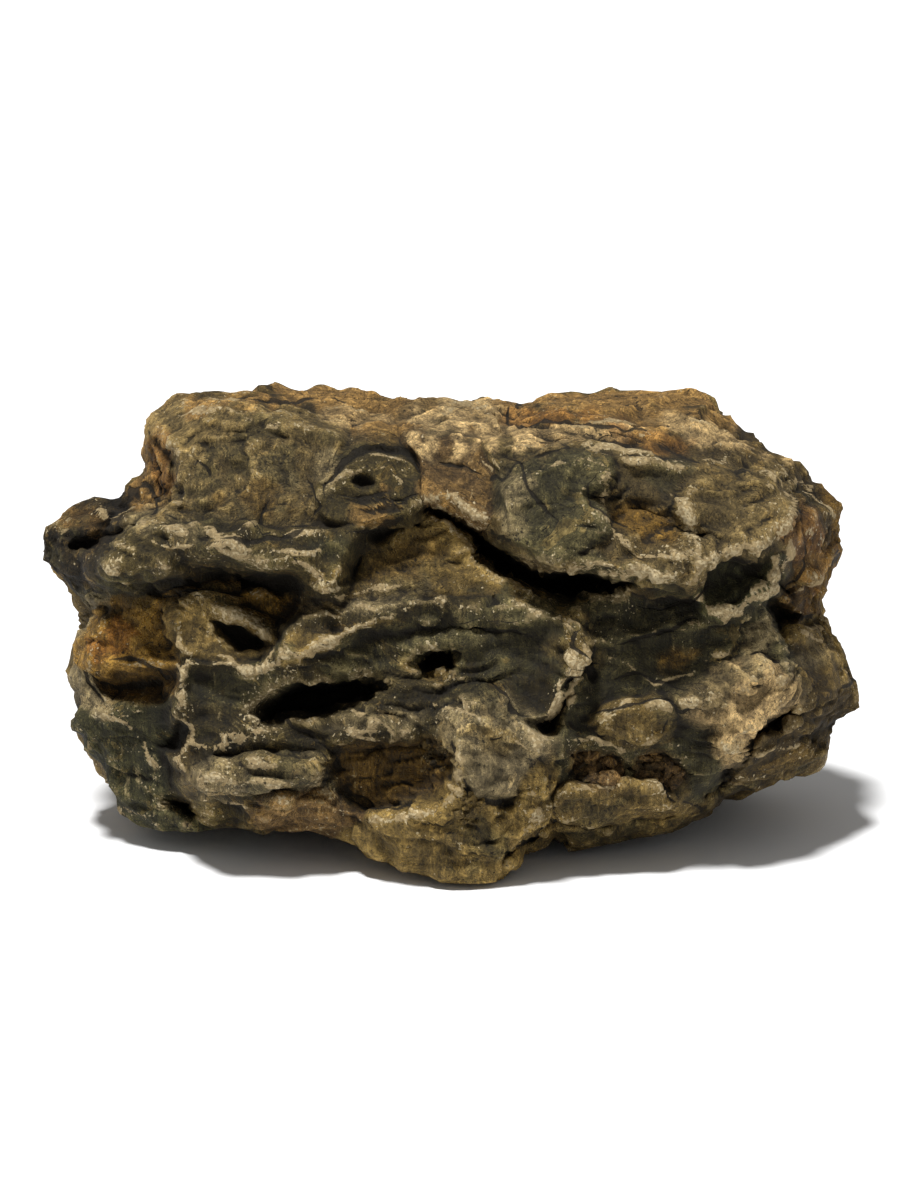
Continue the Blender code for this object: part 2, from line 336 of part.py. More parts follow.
HOLLOWS = {
    "lobe_slot": Hollow(10, 2, 0.3, 0.3, [
        (-114.5, 102.5), (-112, 104.5), (-105, 106.5), (-98, 107.3), (-93, 107.3), (-95, 104.5),
        (-98, 101), (-105, 100), (-113, 99),
    ]),
    "cheek_crack": Hollow(8, 1.2, 0, 0.1, [
        (-88, 131.5), (-86, 134), (-83.5, 131), (-82, 126), (-81, 118), (-82, 114), (-84, 119),
        (-84, 126), (-86, 129),
    ]),
    "cheek_crack2": Hollow(3.5, 1, 0, 0.1, [
        (-88, 125), (-84, 125.5), (-87, 121), (-86, 114), (-88.5, 112), (-89, 120),
    ]),
    "under_lip_left": Hollow(7, 3, 0.6, 0, [
        (-96, 91.5), (-90, 92.5), (-83, 93.5), (-80, 91), (-79, 87), (-86, 84), (-95, 85),
    ]),
    "under_lip_mid": Hollow(4, 2, 0.4, 0, [
        (-72, 97.5), (-60, 97), (-58, 94), (-66, 88), (-74, 91), (-80, 95),
    ]),
    "under_lip_right": Hollow(12, 2.5, 0.5, 0, [
        (-64, 96), (-56, 96), (-50, 93.5), (-44, 91.5), (-40, 86.5), (-44, 84), (-52, 85.5),
        (-60, 87.5), (-66, 91),
    ]),
    "curl_pit": Hollow(11, 2, -0.2, 0.2, [
        (-71, 80.5), (-66, 79), (-60, 75.5), (-54.5, 75), (-53.3, 71), (-57, 68.3), (-62, 68.3),
        (-66, 71.5), (-70, 76),
    ]),
    "curl_scoop": Hollow(5, 2.5, 0.3, 0, [
        (-70, 70), (-64, 70), (-58, 68), (-54, 70), (-53, 66.5), (-57, 64.5), (-63, 65.8), (-68, 68.5),
    ]),
    "left_pocket": Hollow(3.5, 2.5, 0.9, 0.2, [
        (-109, 64), (-103, 64), (-95, 65.5), (-86, 66), (-80, 65.5), (-79.5, 60), (-80.5, 56),
        (-86, 55.3), (-93, 53.5), (-100, 54.5), (-106, 57.5),
    ]),
    "cliff_notch": Hollow(16, 1.5, 0, 0, [
        (-88, 42.5), (-85, 40.5), (-80, 38.5), (-79, 43), (-76.5, 46.5), (-78, 48.5), (-81, 48),
        (-83, 44), (-86, 41.5),
    ]),
    "cliff_hole": Hollow(24, 2, 0, 0.2, [
        (-86, 23.5), (-83, 25.5), (-79, 25.8), (-76, 24.5), (-73.5, 21), (-74, 19), (-78, 18),
        (-82, 19), (-85, 20.5),
    ]),
    "slot": Hollow(32, 1.6, 0, 0.4, [
        (-57, 51), (-54, 53.5), (-51, 56.5), (-47, 58.5), (-40, 59.5), (-32, 61.3), (-26, 62.3),
        (-22, 62), (-20, 59.5), (-21.5, 57.5), (-23, 55), (-28, 53.5), (-34, 51.5), (-41, 50.3),
        (-47, 50), (-50, 47.5), (-53, 46), (-55, 48),
    ]),
    "window": Hollow(28, 1.2, 0, 0.3, [
        (-10.5, 66), (-9, 68), (-6.5, 68.8), (-3, 68.2), (0, 68.8), (0.6, 65), (0, 62.3), (-3.5, 62.5),
        (-8, 62.3), (-9.5, 64),
    ]),
    "window_sill": Hollow(2.5, 2, 0.3, 0.1, [
        (-10, 64), (0, 63), (0, 61), (-5, 58.5), (-9, 61),
    ]),
    "oval_pit": Hollow(4.5, 3.5, 0.35, 0.5, [
        (-37.5, 39), (-34.5, 42.5), (-28, 43.5), (-20, 47), (-12, 47.7), (-5, 47), (-1, 44.5),
        (1.5, 40), (3, 35.5), (0, 31), (-4, 26), (-12, 22.7), (-20, 21.3), (-29, 22), (-32.5, 26),
        (-36, 31.5),
    ]),
    "oval_deep": Hollow(2.5, 3, 0, 0, [
        (-12, 46), (-5, 46), (-0.5, 43), (2.5, 35.5), (-1, 34), (-6, 40), (-14, 41), (-24, 38.5),
        (-26, 41), (-20, 45),
    ]),
    "long_cave": Hollow(38, 1.6, 0, 0, [
        (-10, 111.3), (-6, 112.3), (-1, 111.8), (3, 109.8), (6, 107.5), (11, 106), (13.5, 103),
        (17, 101), (21, 97.5), (25, 94.8), (31, 93.2), (38, 93.6), (44, 91.8), (50, 91), (54, 90.3),
        (57, 89.3), (53, 87.5), (47, 86.3), (42, 84.8), (36, 84.2), (30, 84.5), (26, 86), (22, 87),
        (19, 89.5), (15.5, 91.8), (12, 93), (9, 95.5), (6, 98.5), (3.5, 102), (1, 105), (-2, 108),
        (-6, 109.8),
    ]),
    "cave_crack": Hollow(10, 1.2, 0, 0, [
        (54, 90.3), (60, 90), (63, 89.3), (60, 88.4), (54, 88.2),
    ]),
    "eye_shadow": Hollow(9, 2, 0.5, 0, [
        (-24, 105.5), (-16, 107), (-8, 108.3), (-8, 106.8), (-14, 105), (-16, 102.5), (-21, 101),
        (-26, 102),
    ]),
    "hook_shadow": Hollow(5, 1.6, 0, 0, [
        (-31, 99.5), (-28.5, 100), (-25, 97.5), (-26, 93), (-31, 87.5), (-36, 84.5), (-40, 83.5),
        (-41, 85.5), (-35, 87), (-31.5, 90),
    ]),
    "eye_ring": Hollow(6, 1.4, 0.4, 0, [
        (-38, 118), (-34, 124.5), (-29, 128), (-22, 130.2), (-15, 129.5), (-11.5, 126.5), (-9, 121),
        (-8, 115.5), (-9.4, 115.5), (-10.5, 120.5), (-13, 125.5), (-18, 127.6), (-24, 127.8),
        (-29, 126.5), (-33, 123), (-36.5, 117),
    ]),
    "eye_pit": Hollow(4.5, 1.6, 0, 0.5, [
        (-30.5, 119), (-29.5, 121.5), (-27, 122.6), (-23.5, 121.5), (-21.5, 119), (-24, 118),
        (-28, 117.8),
    ]),
    "scoop": Hollow(3.5, 4.5, 0.4, 0.5, [
        (45, 106), (45.5, 110), (50, 114), (57, 114.5), (64, 112), (68, 108), (68.5, 103), (66.5, 99),
        (58, 99.5), (51, 101.5), (47, 103.5),
    ]),
    "small_bite": Hollow(3, 1.2, 0.6, 0.2, [
        (69.8, 104), (71.5, 105.3), (74.5, 105), (75.8, 103), (74.5, 101), (71, 101),
    ]),
    "beak_gap": Hollow(3, 1.2, 0, 0.1, [
        (44, 112.5), (44.5, 114.5), (48, 115.3), (52.5, 117), (54, 120), (53, 115.5), (50, 112.5),
    ]),
    "cup_bowl": Hollow(3.5, 7, 0.4, 0, [
        (73, 87.5), (75.5, 92), (80, 96.5), (86, 98.7), (93, 99), (95.5, 96.5), (93.5, 91), (90, 87),
        (84, 84.5), (78, 82.5),
    ]),
    "right_gap": Hollow(11, 3, 0, 0, [
        (91, 84.5), (95, 86.5), (99, 84), (104, 81), (108, 79), (103, 77.5), (97, 75.5), (95, 77.5),
        (92.5, 81),
    ]),
    "right_cleft": Hollow(9, 1.6, 0, 0, [
        (97, 99), (96.5, 94), (99, 88), (103, 87), (104, 84), (99, 84.5), (95, 88), (95.5, 94),
    ]),
    "crumb_left": Hollow(4.5, 2.5, 0.5, 0.3, [
        (31, 41), (36, 42), (44, 42), (48, 40.5), (51, 38.5), (52, 34), (50, 28), (44, 25.5), (38, 27),
        (34.5, 32), (33, 37),
    ]),
    "crumb_right": Hollow(4, 2.5, 0.5, 0.2, [
        (53, 38), (54.5, 40), (58, 41.3), (64, 40), (69, 36.5), (70.5, 33), (69.5, 29.5), (66, 26),
        (62, 28), (56, 28), (53, 31),
    ]),
    "crumb_cleft": Hollow(6, 1.2, 0, 0, [
        (50.5, 36), (53, 37), (55, 34), (53, 32.5), (50.5, 33),
    ]),
    "right_slot": Hollow(20, 1.4, 0, 0.2, [
        (20.5, 49.3), (25, 48.2), (28, 49.3), (31, 51.5), (33.5, 57.5), (35, 56.5), (33.5, 52),
        (31, 46), (29.5, 44), (26, 44), (24, 46.5),
    ]),
    "under_crust": Hollow(18, 2.5, 0, 0, [
        (101, 54.5), (97, 52), (92.5, 50), (90, 46.5), (86.5, 41), (84.5, 37.5), (80, 35), (76, 30.5),
        (73, 27), (77, 26), (82, 28.5), (84, 33), (88, 38.5), (92, 42.5), (98, 44), (103, 47.5),
        (103, 52),
    ]),
    "under_belly": Hollow(12, 1.5, 0, 0, [
        (31.5, 20), (36, 18.2), (42, 17.4), (48, 19.2), (54, 21.8), (60, 22), (66, 21.6), (70, 23),
        (66, 19.5), (58, 19.5), (50, 17), (42, 15.8), (34, 16.5),
    ]),
    "keel_gap": Hollow(14, 1, 0, 0, [
        (13, 4.5), (15, 8.5), (18, 11.2), (24, 13.5), (26.5, 17), (31, 20.5), (32.5, 18.8), (28.5, 16),
        (25, 12), (19, 10), (15, 6),
    ]),
    "keel_pit": Hollow(4, 1.6, 0.5, 0.3, [
        (3.5, 20), (5, 22), (8, 22.3), (9.5, 20), (7, 18.3), (4.5, 18.4),
    ]),
    "keel_fold": Hollow(3.5, 2.5, 0.3, 0, [
        (3, 14.5), (7, 15), (12, 16.5), (16, 18), (20, 19), (16, 15.5), (12, 11.5), (10, 13.5),
        (6, 13),
    ]),
    "saddle_scoop": Hollow(5, 3.5, 0.2, 0.3, [
        (5, 25), (7, 28.5), (14, 30), (20, 31), (22, 28), (18, 22), (14, 19), (14, 24), (9, 27),
    ]),
    "shadow_groove": Hollow(2.5, 2.2, 0.6, 0, [
        (-44, 68.5), (-36, 72), (-26, 74.7), (-15, 76), (-4, 77), (5, 77.6), (9, 75.5), (0, 73.5),
        (-12, 72), (-24, 70), (-34, 67), (-42, 65.5),
    ]),
    "ridge_dip": Hollow(2, 3, 0.3, 0.1, [
        (-78, 64), (-66, 64.5), (-56, 61.5), (-52, 58), (-60, 52), (-72, 52), (-78, 56),
    ]),
    "belly_fold": Hollow(2.5, 2, 0.5, 0.1, [
        (-52, 29.8), (-46, 29.8), (-40, 30), (-38, 27), (-34, 24), (-40, 26), (-46, 27.5), (-52, 26.5),
    ]),
    "top_notch": Hollow(6, 2, 0, 0.2, [
        (13.5, 134), (15, 138), (18, 138), (21.5, 133), (22, 130.5), (17.5, 131.3), (15, 132),
    ]),
    "top_cave": Hollow(4.5, 1.5, 0.4, 0.2, [
        (40, 130.5), (45, 132.5), (50, 134), (57, 134), (56.5, 131.5), (50, 131), (44, 130.5),
    ]),
    "top_cave2": Hollow(4, 1.5, 0.4, 0.2, [
        (24, 130.5), (30, 132), (37, 132), (41, 130), (34, 129), (28, 129.3),
    ]),
    "neck_hole": Hollow(3.5, 1.5, 0.4, 0.2, [
        (-6, 135.3), (-4, 137.5), (0, 138), (0.5, 136.3), (-3, 135),
    ]),
    "neck_fold": Hollow(3, 2.5, 0.4, 0.2, [
        (-17, 134.5), (-12, 138.5), (-6, 141), (-5, 138), (-8, 135), (-13, 134),
    ]),
}

RIDGES = [
    Ridge(3.0, 2, [(-81, 140), (-73, 141), (-63, 138), (-56, 135), (-42, 134.5), (-28, 132), (-13, 131)]),
    Ridge(2.7, 2.6, [(-12, 131), (-6, 135.5), (2, 142), (9, 144)]),
    Ridge(3.5, 2.3, [
        (-96, 103), (-84, 106), (-72, 103.5), (-60, 101),
        (-50, 99), (-41, 98), (-34, 101), (-29, 105),
    ]),
    Ridge(3.3, 2, [
        (-99, 98), (-90, 100.5), (-78, 99.5), (-66, 101),
        (-54, 97), (-45, 95), (-38, 91), (-34, 88.5),
    ]),
    Ridge(3.5, 2.3, [
        (-94, 105), (-97, 96), (-101, 87), (-105, 77),
        (-108, 69), (-108.5, 63), (-104, 55), (-99, 51),
    ]),
    Ridge(3.3, 1.6, [
        (-108, 66), (-99, 65.5), (-91, 67), (-81, 67),
        (-79, 63), (-80, 58), (-77, 51), (-80.5, 49),
    ]),
    Ridge(3.5, 2.9, [
        (-58, 57), (-49, 63), (-44, 68), (-37, 72.5),
        (-27, 77), (-16, 80), (-5, 82.5), (8, 84.5),
    ]),
    Ridge(2.5, 2.6, [(-54, 79), (-45, 83), (-36, 86), (-26, 87.5), (-15, 88), (-5, 86.5), (4, 88)]),
    Ridge(3.0, 1.4, [(-73, 84), (-65, 82.5), (-57, 79), (-52.5, 75.5)]),
    Ridge(2.7, 1.4, [(-72, 70), (-64, 66), (-57, 63.5), (-50, 66.5), (-46, 72)]),
    Ridge(3.0, 2.6, [
        (2, 110), (9, 103), (15, 98.5), (24, 96), (35, 95),
        (45, 93), (55, 91.5), (64, 92), (73, 95),
    ]),
    Ridge(3.3, 2.3, [
        (44, 124), (46, 117), (44, 109), (47.5, 102),
        (55, 98), (63, 97), (69, 97.5), (74, 101),
    ]),
    Ridge(2.7, 2.3, [
        (58, 121), (64, 115.5), (69, 109), (71, 101),
        (73, 95), (79, 98), (88, 101), (95, 107),
    ]),
    Ridge(3.3, 2.3, [
        (94, 129), (98.5, 122), (99.5, 114), (97, 106), (97.5, 96),
        (93, 87), (86, 82.5), (76, 80), (66, 78),
    ]),
    Ridge(3.5, 2, [
        (34, 81), (36, 74), (34.5, 67), (37.5, 62), (34.5, 56),
        (30, 50), (26, 45.5), (24, 38), (26, 30),
    ]),
    Ridge(3.3, 2.3, [
        (-38, 41), (-28, 45.5), (-17, 48.5), (-6, 49),
        (0, 46.5), (3.5, 38), (1, 31), (-4, 25),
    ]),
    Ridge(3.3, 2, [
        (-80, 40), (-74, 34), (-64, 31.5), (-54, 31),
        (-45, 31), (-39, 34), (-37, 28), (-33, 22),
    ]),
    Ridge(2.5, 2.6, [(-50, 47), (-58, 44), (-66, 41), (-74, 42), (-80, 46)]),
    Ridge(2.5, 2.6, [(-38, 56), (-26, 50.5), (-14, 50.5), (-4, 53), (4, 52), (14, 48), (20, 43)]),
    Ridge(2.5, 2, [(-72, 27), (-62, 24), (-54, 20), (-46, 16.5), (-34, 17), (-24, 14)]),
    Ridge(3.0, 2.6, [(2, 44), (9, 42), (15, 36), (22, 33), (26, 26), (24, 18), (17, 9), (8, 4)]),
    Ridge(3.0, 2, [
        (28, 36), (33, 43), (42, 44), (50, 41), (58, 43),
        (66, 41), (72, 36), (70, 28), (64, 22.5),
    ]),
    Ridge(2.5, 1.6, [(41, 47), (47, 51.5), (55, 55.5), (63, 53), (66, 47)]),
    Ridge(4.1, 2.3, [
        (96, 74), (99, 64), (97, 56), (91, 50), (86.5, 44.5),
        (81, 40), (77, 35), (72, 30), (68, 25),
    ]),
    Ridge(2.7, 2.6, [(64, 51), (72, 53), (80, 56), (88, 61), (96, 65)]),
    Ridge(2.5, 2.6, [(40, 70), (50, 66), (60, 60), (70, 62), (80, 68), (90, 70)]),
    Ridge(2.7, 2, [(-122, 100), (-116, 107), (-108, 111), (-100, 110), (-93, 112)]),
    Ridge(2.5, 2, [(-121, 97), (-113, 96), (-105, 97), (-99, 94)]),
    Ridge(2.2, 2, [(-112, 50), (-104, 50), (-97, 48), (-92, 43), (-89, 36), (-87, 28)]),
    Ridge(2.2, 1.3, [(-39, 112), (-36, 119), (-30, 125), (-22, 128), (-14, 126.5), (-11, 120)]),
    Ridge(1.9, 1.3, [(-34, 113), (-31, 119.5), (-25, 124), (-18, 123), (-15, 118), (-18, 113)]),
    Ridge(2.5, 1.6, [(-40, 106), (-30, 105.5), (-20, 107), (-10, 110), (-3, 113), (4, 110)]),
    Ridge(2.7, 2, [(18, 128), (30, 129), (44, 128), (56, 127), (68, 126), (80, 125.5), (90, 124)]),
    Ridge(2.7, 1.6, [
        (24, 133.5), (36, 134.5), (46, 137), (56, 138.5),
        (66, 138), (76, 138.5), (84, 137),
    ]),
    Ridge(2.5, 1.6, [
        (-84, 143), (-72, 145.5), (-60, 144), (-50, 144.5),
        (-40, 142), (-28, 141), (-16, 140),
    ]),
    Ridge(2.5, 2, [(99, 104), (107, 104), (114, 102), (118, 97)]),
    Ridge(2.5, 2, [(100, 120), (107, 116.5), (113, 112), (118, 107)]),
    Ridge(2.5, 2, [(99, 84), (106, 88), (112, 90), (116, 94)]),
    Ridge(2.7, 2, [(98, 73), (106, 75), (113, 72), (117, 64), (121, 57)]),
    Ridge(2.5, 2, [(84, 36), (92, 39), (101, 41), (109, 39), (114, 43)]),
]

CRACKS = [
    Crack(0.7, 5, [(33.5, 57), (36, 61.5), (39.5, 63.5), (41, 66), (41.5, 69)]),
    Crack(0.8, 4, [(40, 64), (42.5, 62), (43, 60)]),
    Crack(0.7, 3.5, [(-5, 77.5), (24, 73)]),
    Crack(0.8, 2.5, [(37, 77), (35, 71), (38, 68)]),
    Crack(0.6, 3, [(45, 72), (55, 73), (62, 75.3), (70, 78.3), (77, 80)]),
    Crack(0.6, 3, [(38, 49), (47, 51.5), (56, 55.3), (62, 54.8), (66, 51.5), (72, 52), (80, 50.3)]),
    Crack(0.5, 2, [(61, 44.5), (63.5, 49)]),
    Crack(0.6, 2.5, [(60, 30.5), (63.5, 29), (66, 26), (68, 24.5)]),
    Crack(0.5, 2.5, [(-54, 115), (-56, 110), (-57, 106), (-54, 104)]),
    Crack(0.5, 2, [(-76, 127), (-73, 124), (-71.5, 120.5)]),
    Crack(0.5, 2, [(-28, 111.5), (-20, 110.5), (-12, 110.5)]),
    Crack(0.4, 1.6, [(-20, 112.5), (-16, 113.5), (-12, 112)]),
    Crack(0.5, 2, [(-34, 115), (-28, 115), (-22, 116), (-18, 116.5)]),
    Crack(0.5, 1.5, [(-60, 84.5), (-68, 86), (-78, 87), (-80, 86)]),
    Crack(0.6, 2, [(104, 109.8), (99, 110)]),
    Crack(0.8, 2.5, [(111, 102), (111.5, 108)]),
    Crack(0.6, 2, [(-103, 52), (-108, 59.5), (-110, 64)]),
    Crack(0.6, 2, [(-84, 26), (-85, 33), (-87, 40)]),
    Crack(0.5, 1.2, [(11, 45), (17, 46.5)]),
    Crack(0.5, 1.5, [(-4, 126), (4, 124), (10, 119)]),
]

BACK_SLABS = {
    "back_shoulder": Slab(57, -0.3, 0.02, 1, 4, 3, 1.8, [
        (-92, 72), (-84, 98), (-52, 119), (-10, 123), (22, 114), (32, 94), (8, 84), (-28, 78),
        (-58, 62), (-84, 54),
    ]),
    "back_hip": Slab(62, -0.25, -0.03, 1, 4, 3, 2, [
        (2, 44), (-6, 62), (8, 76), (40, 80), (76, 74), (98, 60), (88, 44), (60, 36), (30, 34),
    ]),
    "back_toe": Slab(66, -0.1, 0, 1, 4, 3, 1.6, [
        (-78, 22), (-82, 44), (-52, 54), (-16, 50), (-6, 34), (-20, 18), (-52, 12),
    ]),
    "back_brow": Slab(52, -0.3, -0.08, 1, 4, 3, 2.2, [
        (34, 92), (40, 116), (70, 128), (100, 118), (110, 98), (84, 88), (56, 84),
    ]),
    "back_knob": Slab(66, -0.2, 0, 0.8, 4, 4, 2.2, [
        (-30, 50), (-34, 66), (-14, 76), (4, 70), (6, 56), (-10, 46),
    ]),
    "back_flank": Slab(50, -0.2, 0.15, 1, 4, 3, 1.8, [
        (-118, 60), (-120, 100), (-98, 108), (-90, 84), (-96, 60),
    ]),
    "back_foot": Slab(66, -0.1, 0, 1, 4, 3, 1.6, [
        (10, 12), (14, 32), (44, 36), (78, 38), (84, 26), (50, 12),
    ]),
}

BACK_HOLLOWS = {
    "back_oval": Hollow(15, 4, 0.4, 1, [
        (-62, 84), (-50, 96), (-26, 102), (-6, 98), (-8, 88), (-30, 82), (-50, 76),
    ]),
    "back_slit": Hollow(24, 2.5, 0.3, 0.8, [
        (14, 82), (30, 88), (52, 90), (74, 84), (82, 78), (58, 81), (34, 80), (18, 77),
    ]),
    "back_bite": Hollow(11, 3, 0.3, 1, [
        (42, 50), (46, 62), (60, 66), (70, 58), (64, 48), (52, 44),
    ]),
    "back_well": Hollow(16, 3, 0.2, 0.8, [
        (-74, 34), (-72, 44), (-58, 48), (-46, 42), (-50, 32), (-64, 28),
    ]),
    "back_cup": Hollow(9, 4, 0.3, 1, [
        (62, 104), (66, 116), (82, 120), (92, 110), (84, 100), (70, 97),
    ]),
    "back_gully": Hollow(12, 3, 0.2, 0.6, [
        (-22, 46), (-4, 44), (6, 52), (12, 44), (4, 30), (-8, 34),
    ]),
    "back_slot": Hollow(13, 2.5, 0.2, 0.6, [
        (-104, 72), (-106, 88), (-98, 94), (-94, 80), (-98, 70),
    ]),
}


def lattice_value(ix, iy, iz, seed):
    """A repeatable number from 0 to 1 for each point of a whole-number lattice."""
    mixed = (ix * 374761393 + iy * 668265263 + iz * 2147483647 + seed * 1274126177) & 0xFFFFFFFF
    mixed = ((mixed ^ (mixed >> 13)) * 1103515245) & 0xFFFFFFFF
    mixed = ((mixed ^ (mixed >> 16)) * 2654435761) & 0xFFFFFFFF
    return ((mixed ^ (mixed >> 15)) & 0xFFFFFF) / float(0xFFFFFF)


def value_noise(points, seed):
    """Smooth noise from -1 to 1: lattice values blended by 6t^5 - 15t^4 + 10t^3 along each axis."""
    corner = np.floor(points).astype(np.int64)
    part = points - corner
    part = part ** 3 * (part * (part * 6 - 15) + 10)
    total = np.zeros(len(points))
    for dx in (0, 1):
        for dy in (0, 1):
            for dz in (0, 1):
                step = np.array([dx, dy, dz])
                share = np.prod(np.where(step, part, 1 - part), axis=1)
                total += share * lattice_value(*(corner + step).T, seed)
    return total * 2 - 1


def fractal(points, size, octaves, seed):
    """Noise from -1 to 1 whose largest forms are about `size` across, each octave half the last."""
    total, share, whole = 0.0, 1.0, 0.0
    for octave in range(octaves):
        total = total + share * value_noise(points / size * 2.0 ** octave + 17.3 * octave, seed + octave)
        whole += share
        share *= 0.5
    return total / whole


def nearest_seed(points, seed):
    """Distance to the nearest of the points scattered one to a lattice cell."""
    home = np.floor(points).astype(np.int64)
    nearest = np.full(len(points), 9.0)
    for dx in (-1, 0, 1):
        for dy in (-1, 0, 1):
            for dz in (-1, 0, 1):
                cell = home + np.array([dx, dy, dz])
                scattered = np.stack([lattice_value(*cell.T, seed + axis) for axis in range(3)], 1)
                nearest = np.minimum(nearest, ((cell + scattered - points) ** 2).sum(1))
    return np.sqrt(nearest)


def smooth_step(x, low, high):
    """0 below low, 1 above high, eased between."""
    t = np.clip((x - low) / (high - low), 0, 1)
    return t * t * (3 - 2 * t)


def soft_max(x, y, blend):
    """The larger of x and y, with the corner between them rounded over `blend`."""
    t = np.clip(0.5 + 0.5 * (x - y) / blend, 0, 1)
    return y + (x - y) * t + blend * t * (1 - t)


def rounded(outline):
    """The closed outline with each corner cut at a quarter of its sides."""
    points = np.array(outline, float)
    after = np.roll(points, -1, axis=0)
    return np.stack([0.75 * points + 0.25 * after, 0.25 * points + 0.75 * after], 1).reshape(-1, 2)


def to_segment(a, b, start, end):
    """Distance from (a, b) to a segment, and how far along it the nearest point lies, 0 to 1."""
    side = end - start
    along = np.clip(((a - start[0]) * side[0] + (b - start[1]) * side[1]) / (side @ side), 0, 1)
    return np.hypot(a - start[0] - along * side[0], b - start[1] - along * side[1]), along


def inset(a, b, outline):
    """Distance from (a, b) to a closed outline: more than 0 inside it, less than 0 outside."""
    nearest = np.full(a.shape, 1e9)
    inside = np.zeros(a.shape, bool)
    for start, end in zip(outline, np.roll(outline, -1, axis=0)):
        nearest = np.minimum(nearest, to_segment(a, b, start, end)[0])
        if start[1] != end[1]:
            crossing = start[0] + (b - start[1]) / (end[1] - start[1]) * (end[0] - start[0])
            inside ^= ((start[1] > b) != (end[1] > b)) & (a < crossing)
    return np.where(inside, nearest, -nearest)


def near(a, b, outline, margin):
    """Which of the points lie within the outline's box grown by margin."""
    low, high = outline.min(0) - margin, outline.max(0) + margin
    return np.nonzero((a > low[0]) & (a < high[0]) & (b > low[1]) & (b < high[1]))[0]


def plain(a, b, height):
    """The points (a, b, height) as one array."""
    return np.stack([a, b, np.full_like(a, height)], -1)


def wandering(a, b, height):
    """The face position pushed about, so that no drawn edge is straight."""
    points = plain(a, b, height)
    aside, upward = (
        WANDER * fractal(points, WANDER_SIZE, 2, seed)
        + FINE_WANDER * fractal(points, FINE_WANDER_SIZE, 2, seed + 1)
        for seed in (11, 21)
    )
    return a + aside, b + upward


def add_slabs(out, a, b, wa, wb, slabs, lip_share):
    """Raises `out` to each slab: a leaning plane, full in the middle and rounded over at its edge."""
    for slab in slabs.values():
        edge = rounded(slab.outline)
        here = near(wa, wb, edge, REACH / slab.cliff)
        depth = inset(wa[here], wb[here], edge)
        inside = np.maximum(depth, 0)
        middle, low, high = edge.mean(0), edge.min(0), edge.max(0)
        top = slab.out + slab.slant * (np.clip(a[here], low[0], high[0]) - middle[0])
        top += slab.lean * (np.clip(b[here], low[1], high[1]) - middle[1])
        top -= EDGE_SHARE * slab.drop * np.exp(-inside / (EDGE_SHARE * slab.roll))
        top += DISH * np.exp(-inside / DISH_REACH)
        top += slab.rim * lip_share[here] * np.exp(-(((inside - LIP_WIDTH) / LIP_WIDTH) ** 2))
        top += slab.cliff * np.minimum(depth, 0)
        out[here] = soft_max(out[here], top, BLEND)


def sink_hollows(out, a, b, wa, wb, hollows, lip_share):
    """Lowers `out` in each hollow, and gives how deep each point is sunk, 0 to 1."""
    sunk = np.zeros(out.shape)
    for hollow in hollows.values():
        edge = rounded(hollow.outline)
        here = near(wa, wb, edge, 4 * LIP_WIDTH)
        depth = inset(wa[here], wb[here], edge)
        low, high = edge[:, 1].min(), edge[:, 1].max()
        height = np.clip((2 * b[here] - low - high) / (high - low), -1, 1)
        share = smooth_step(depth, -0.3, hollow.wall)
        out[here] -= hollow.depth * (1 + hollow.tilt * height) * share
        out[here] += hollow.rim * lip_share[here] * np.exp(-(((depth + LIP_WIDTH) / LIP_WIDTH) ** 2))
        sunk[here] = np.maximum(sunk[here], share * min(1.0, hollow.depth / DEEP))
    return sunk


def raise_ridges(out, wa, wb, ridges, lip_share):
    """Raises a sharp crest along each ridge, lower towards its ends: height exp(-distance / width)."""
    for ridge in ridges:
        line = np.array(ridge.line, float)
        here = near(wa, wb, line, 4 * ridge.width)
        nearest, travelled = np.full(here.shape, 1e9), np.zeros(here.shape)
        for part, (start, end) in enumerate(zip(line[:-1], line[1:])):
            gap, along = to_segment(wa[here], wb[here], start, end)
            travelled = np.where(gap < nearest, (part + along) / (len(line) - 1), travelled)
            nearest = np.minimum(nearest, gap)
        fade = smooth_step(travelled, 0, FADE) * smooth_step(1 - travelled, 0, FADE)
        fade = fade * (RIDGE_LEAST + RIDGE_SPREAD * lip_share[here])
        out[here] += ridge.height * fade * np.exp(-nearest / ridge.width)


def cut_cracks(out, wa, wb, cracks):
    """Sinks a narrow groove along each crack, shallower towards its ends."""
    for crack in cracks:
        line = np.array(crack.line, float)
        here = near(wa, wb, line, 4 * crack.width)
        for part, (start, end) in enumerate(zip(line[:-1], line[1:])):
            gap, along = to_segment(wa[here], wb[here], start, end)
            travelled = (part + along) / (len(line) - 1)
            fade = np.clip(4 * travelled * (1 - travelled) + 0.3, 0, 1)
            out[here] -= CRACK_SHARE * crack.depth * fade * np.exp(-((gap / crack.width) ** 2))


def front_relief(a, b):
    """How far the front stands out of its face plane, and how deep each point is sunk in a hollow."""
    wa, wb = wandering(a, b, 0.0)
    lip_share = LIP_SHARE + LIP_SPREAD * fractal(plain(a, b, 0.0), LIP_PATCH, 2, 31)
    lip_share = np.clip(lip_share, 0.0, LIP_MOST)
    out = FRONT_LEVEL - TOP_FALL * np.maximum(b - TOP_START, 0)
    add_slabs(out, a, b, wa, wb, SLABS, lip_share)
    raise_ridges(out, wa, wb, RIDGES, lip_share)
    sunk = sink_hollows(out, a, b, wa, wb, HOLLOWS, lip_share)
    cut_cracks(out, wa, wb, CRACKS)
    return out, sunk


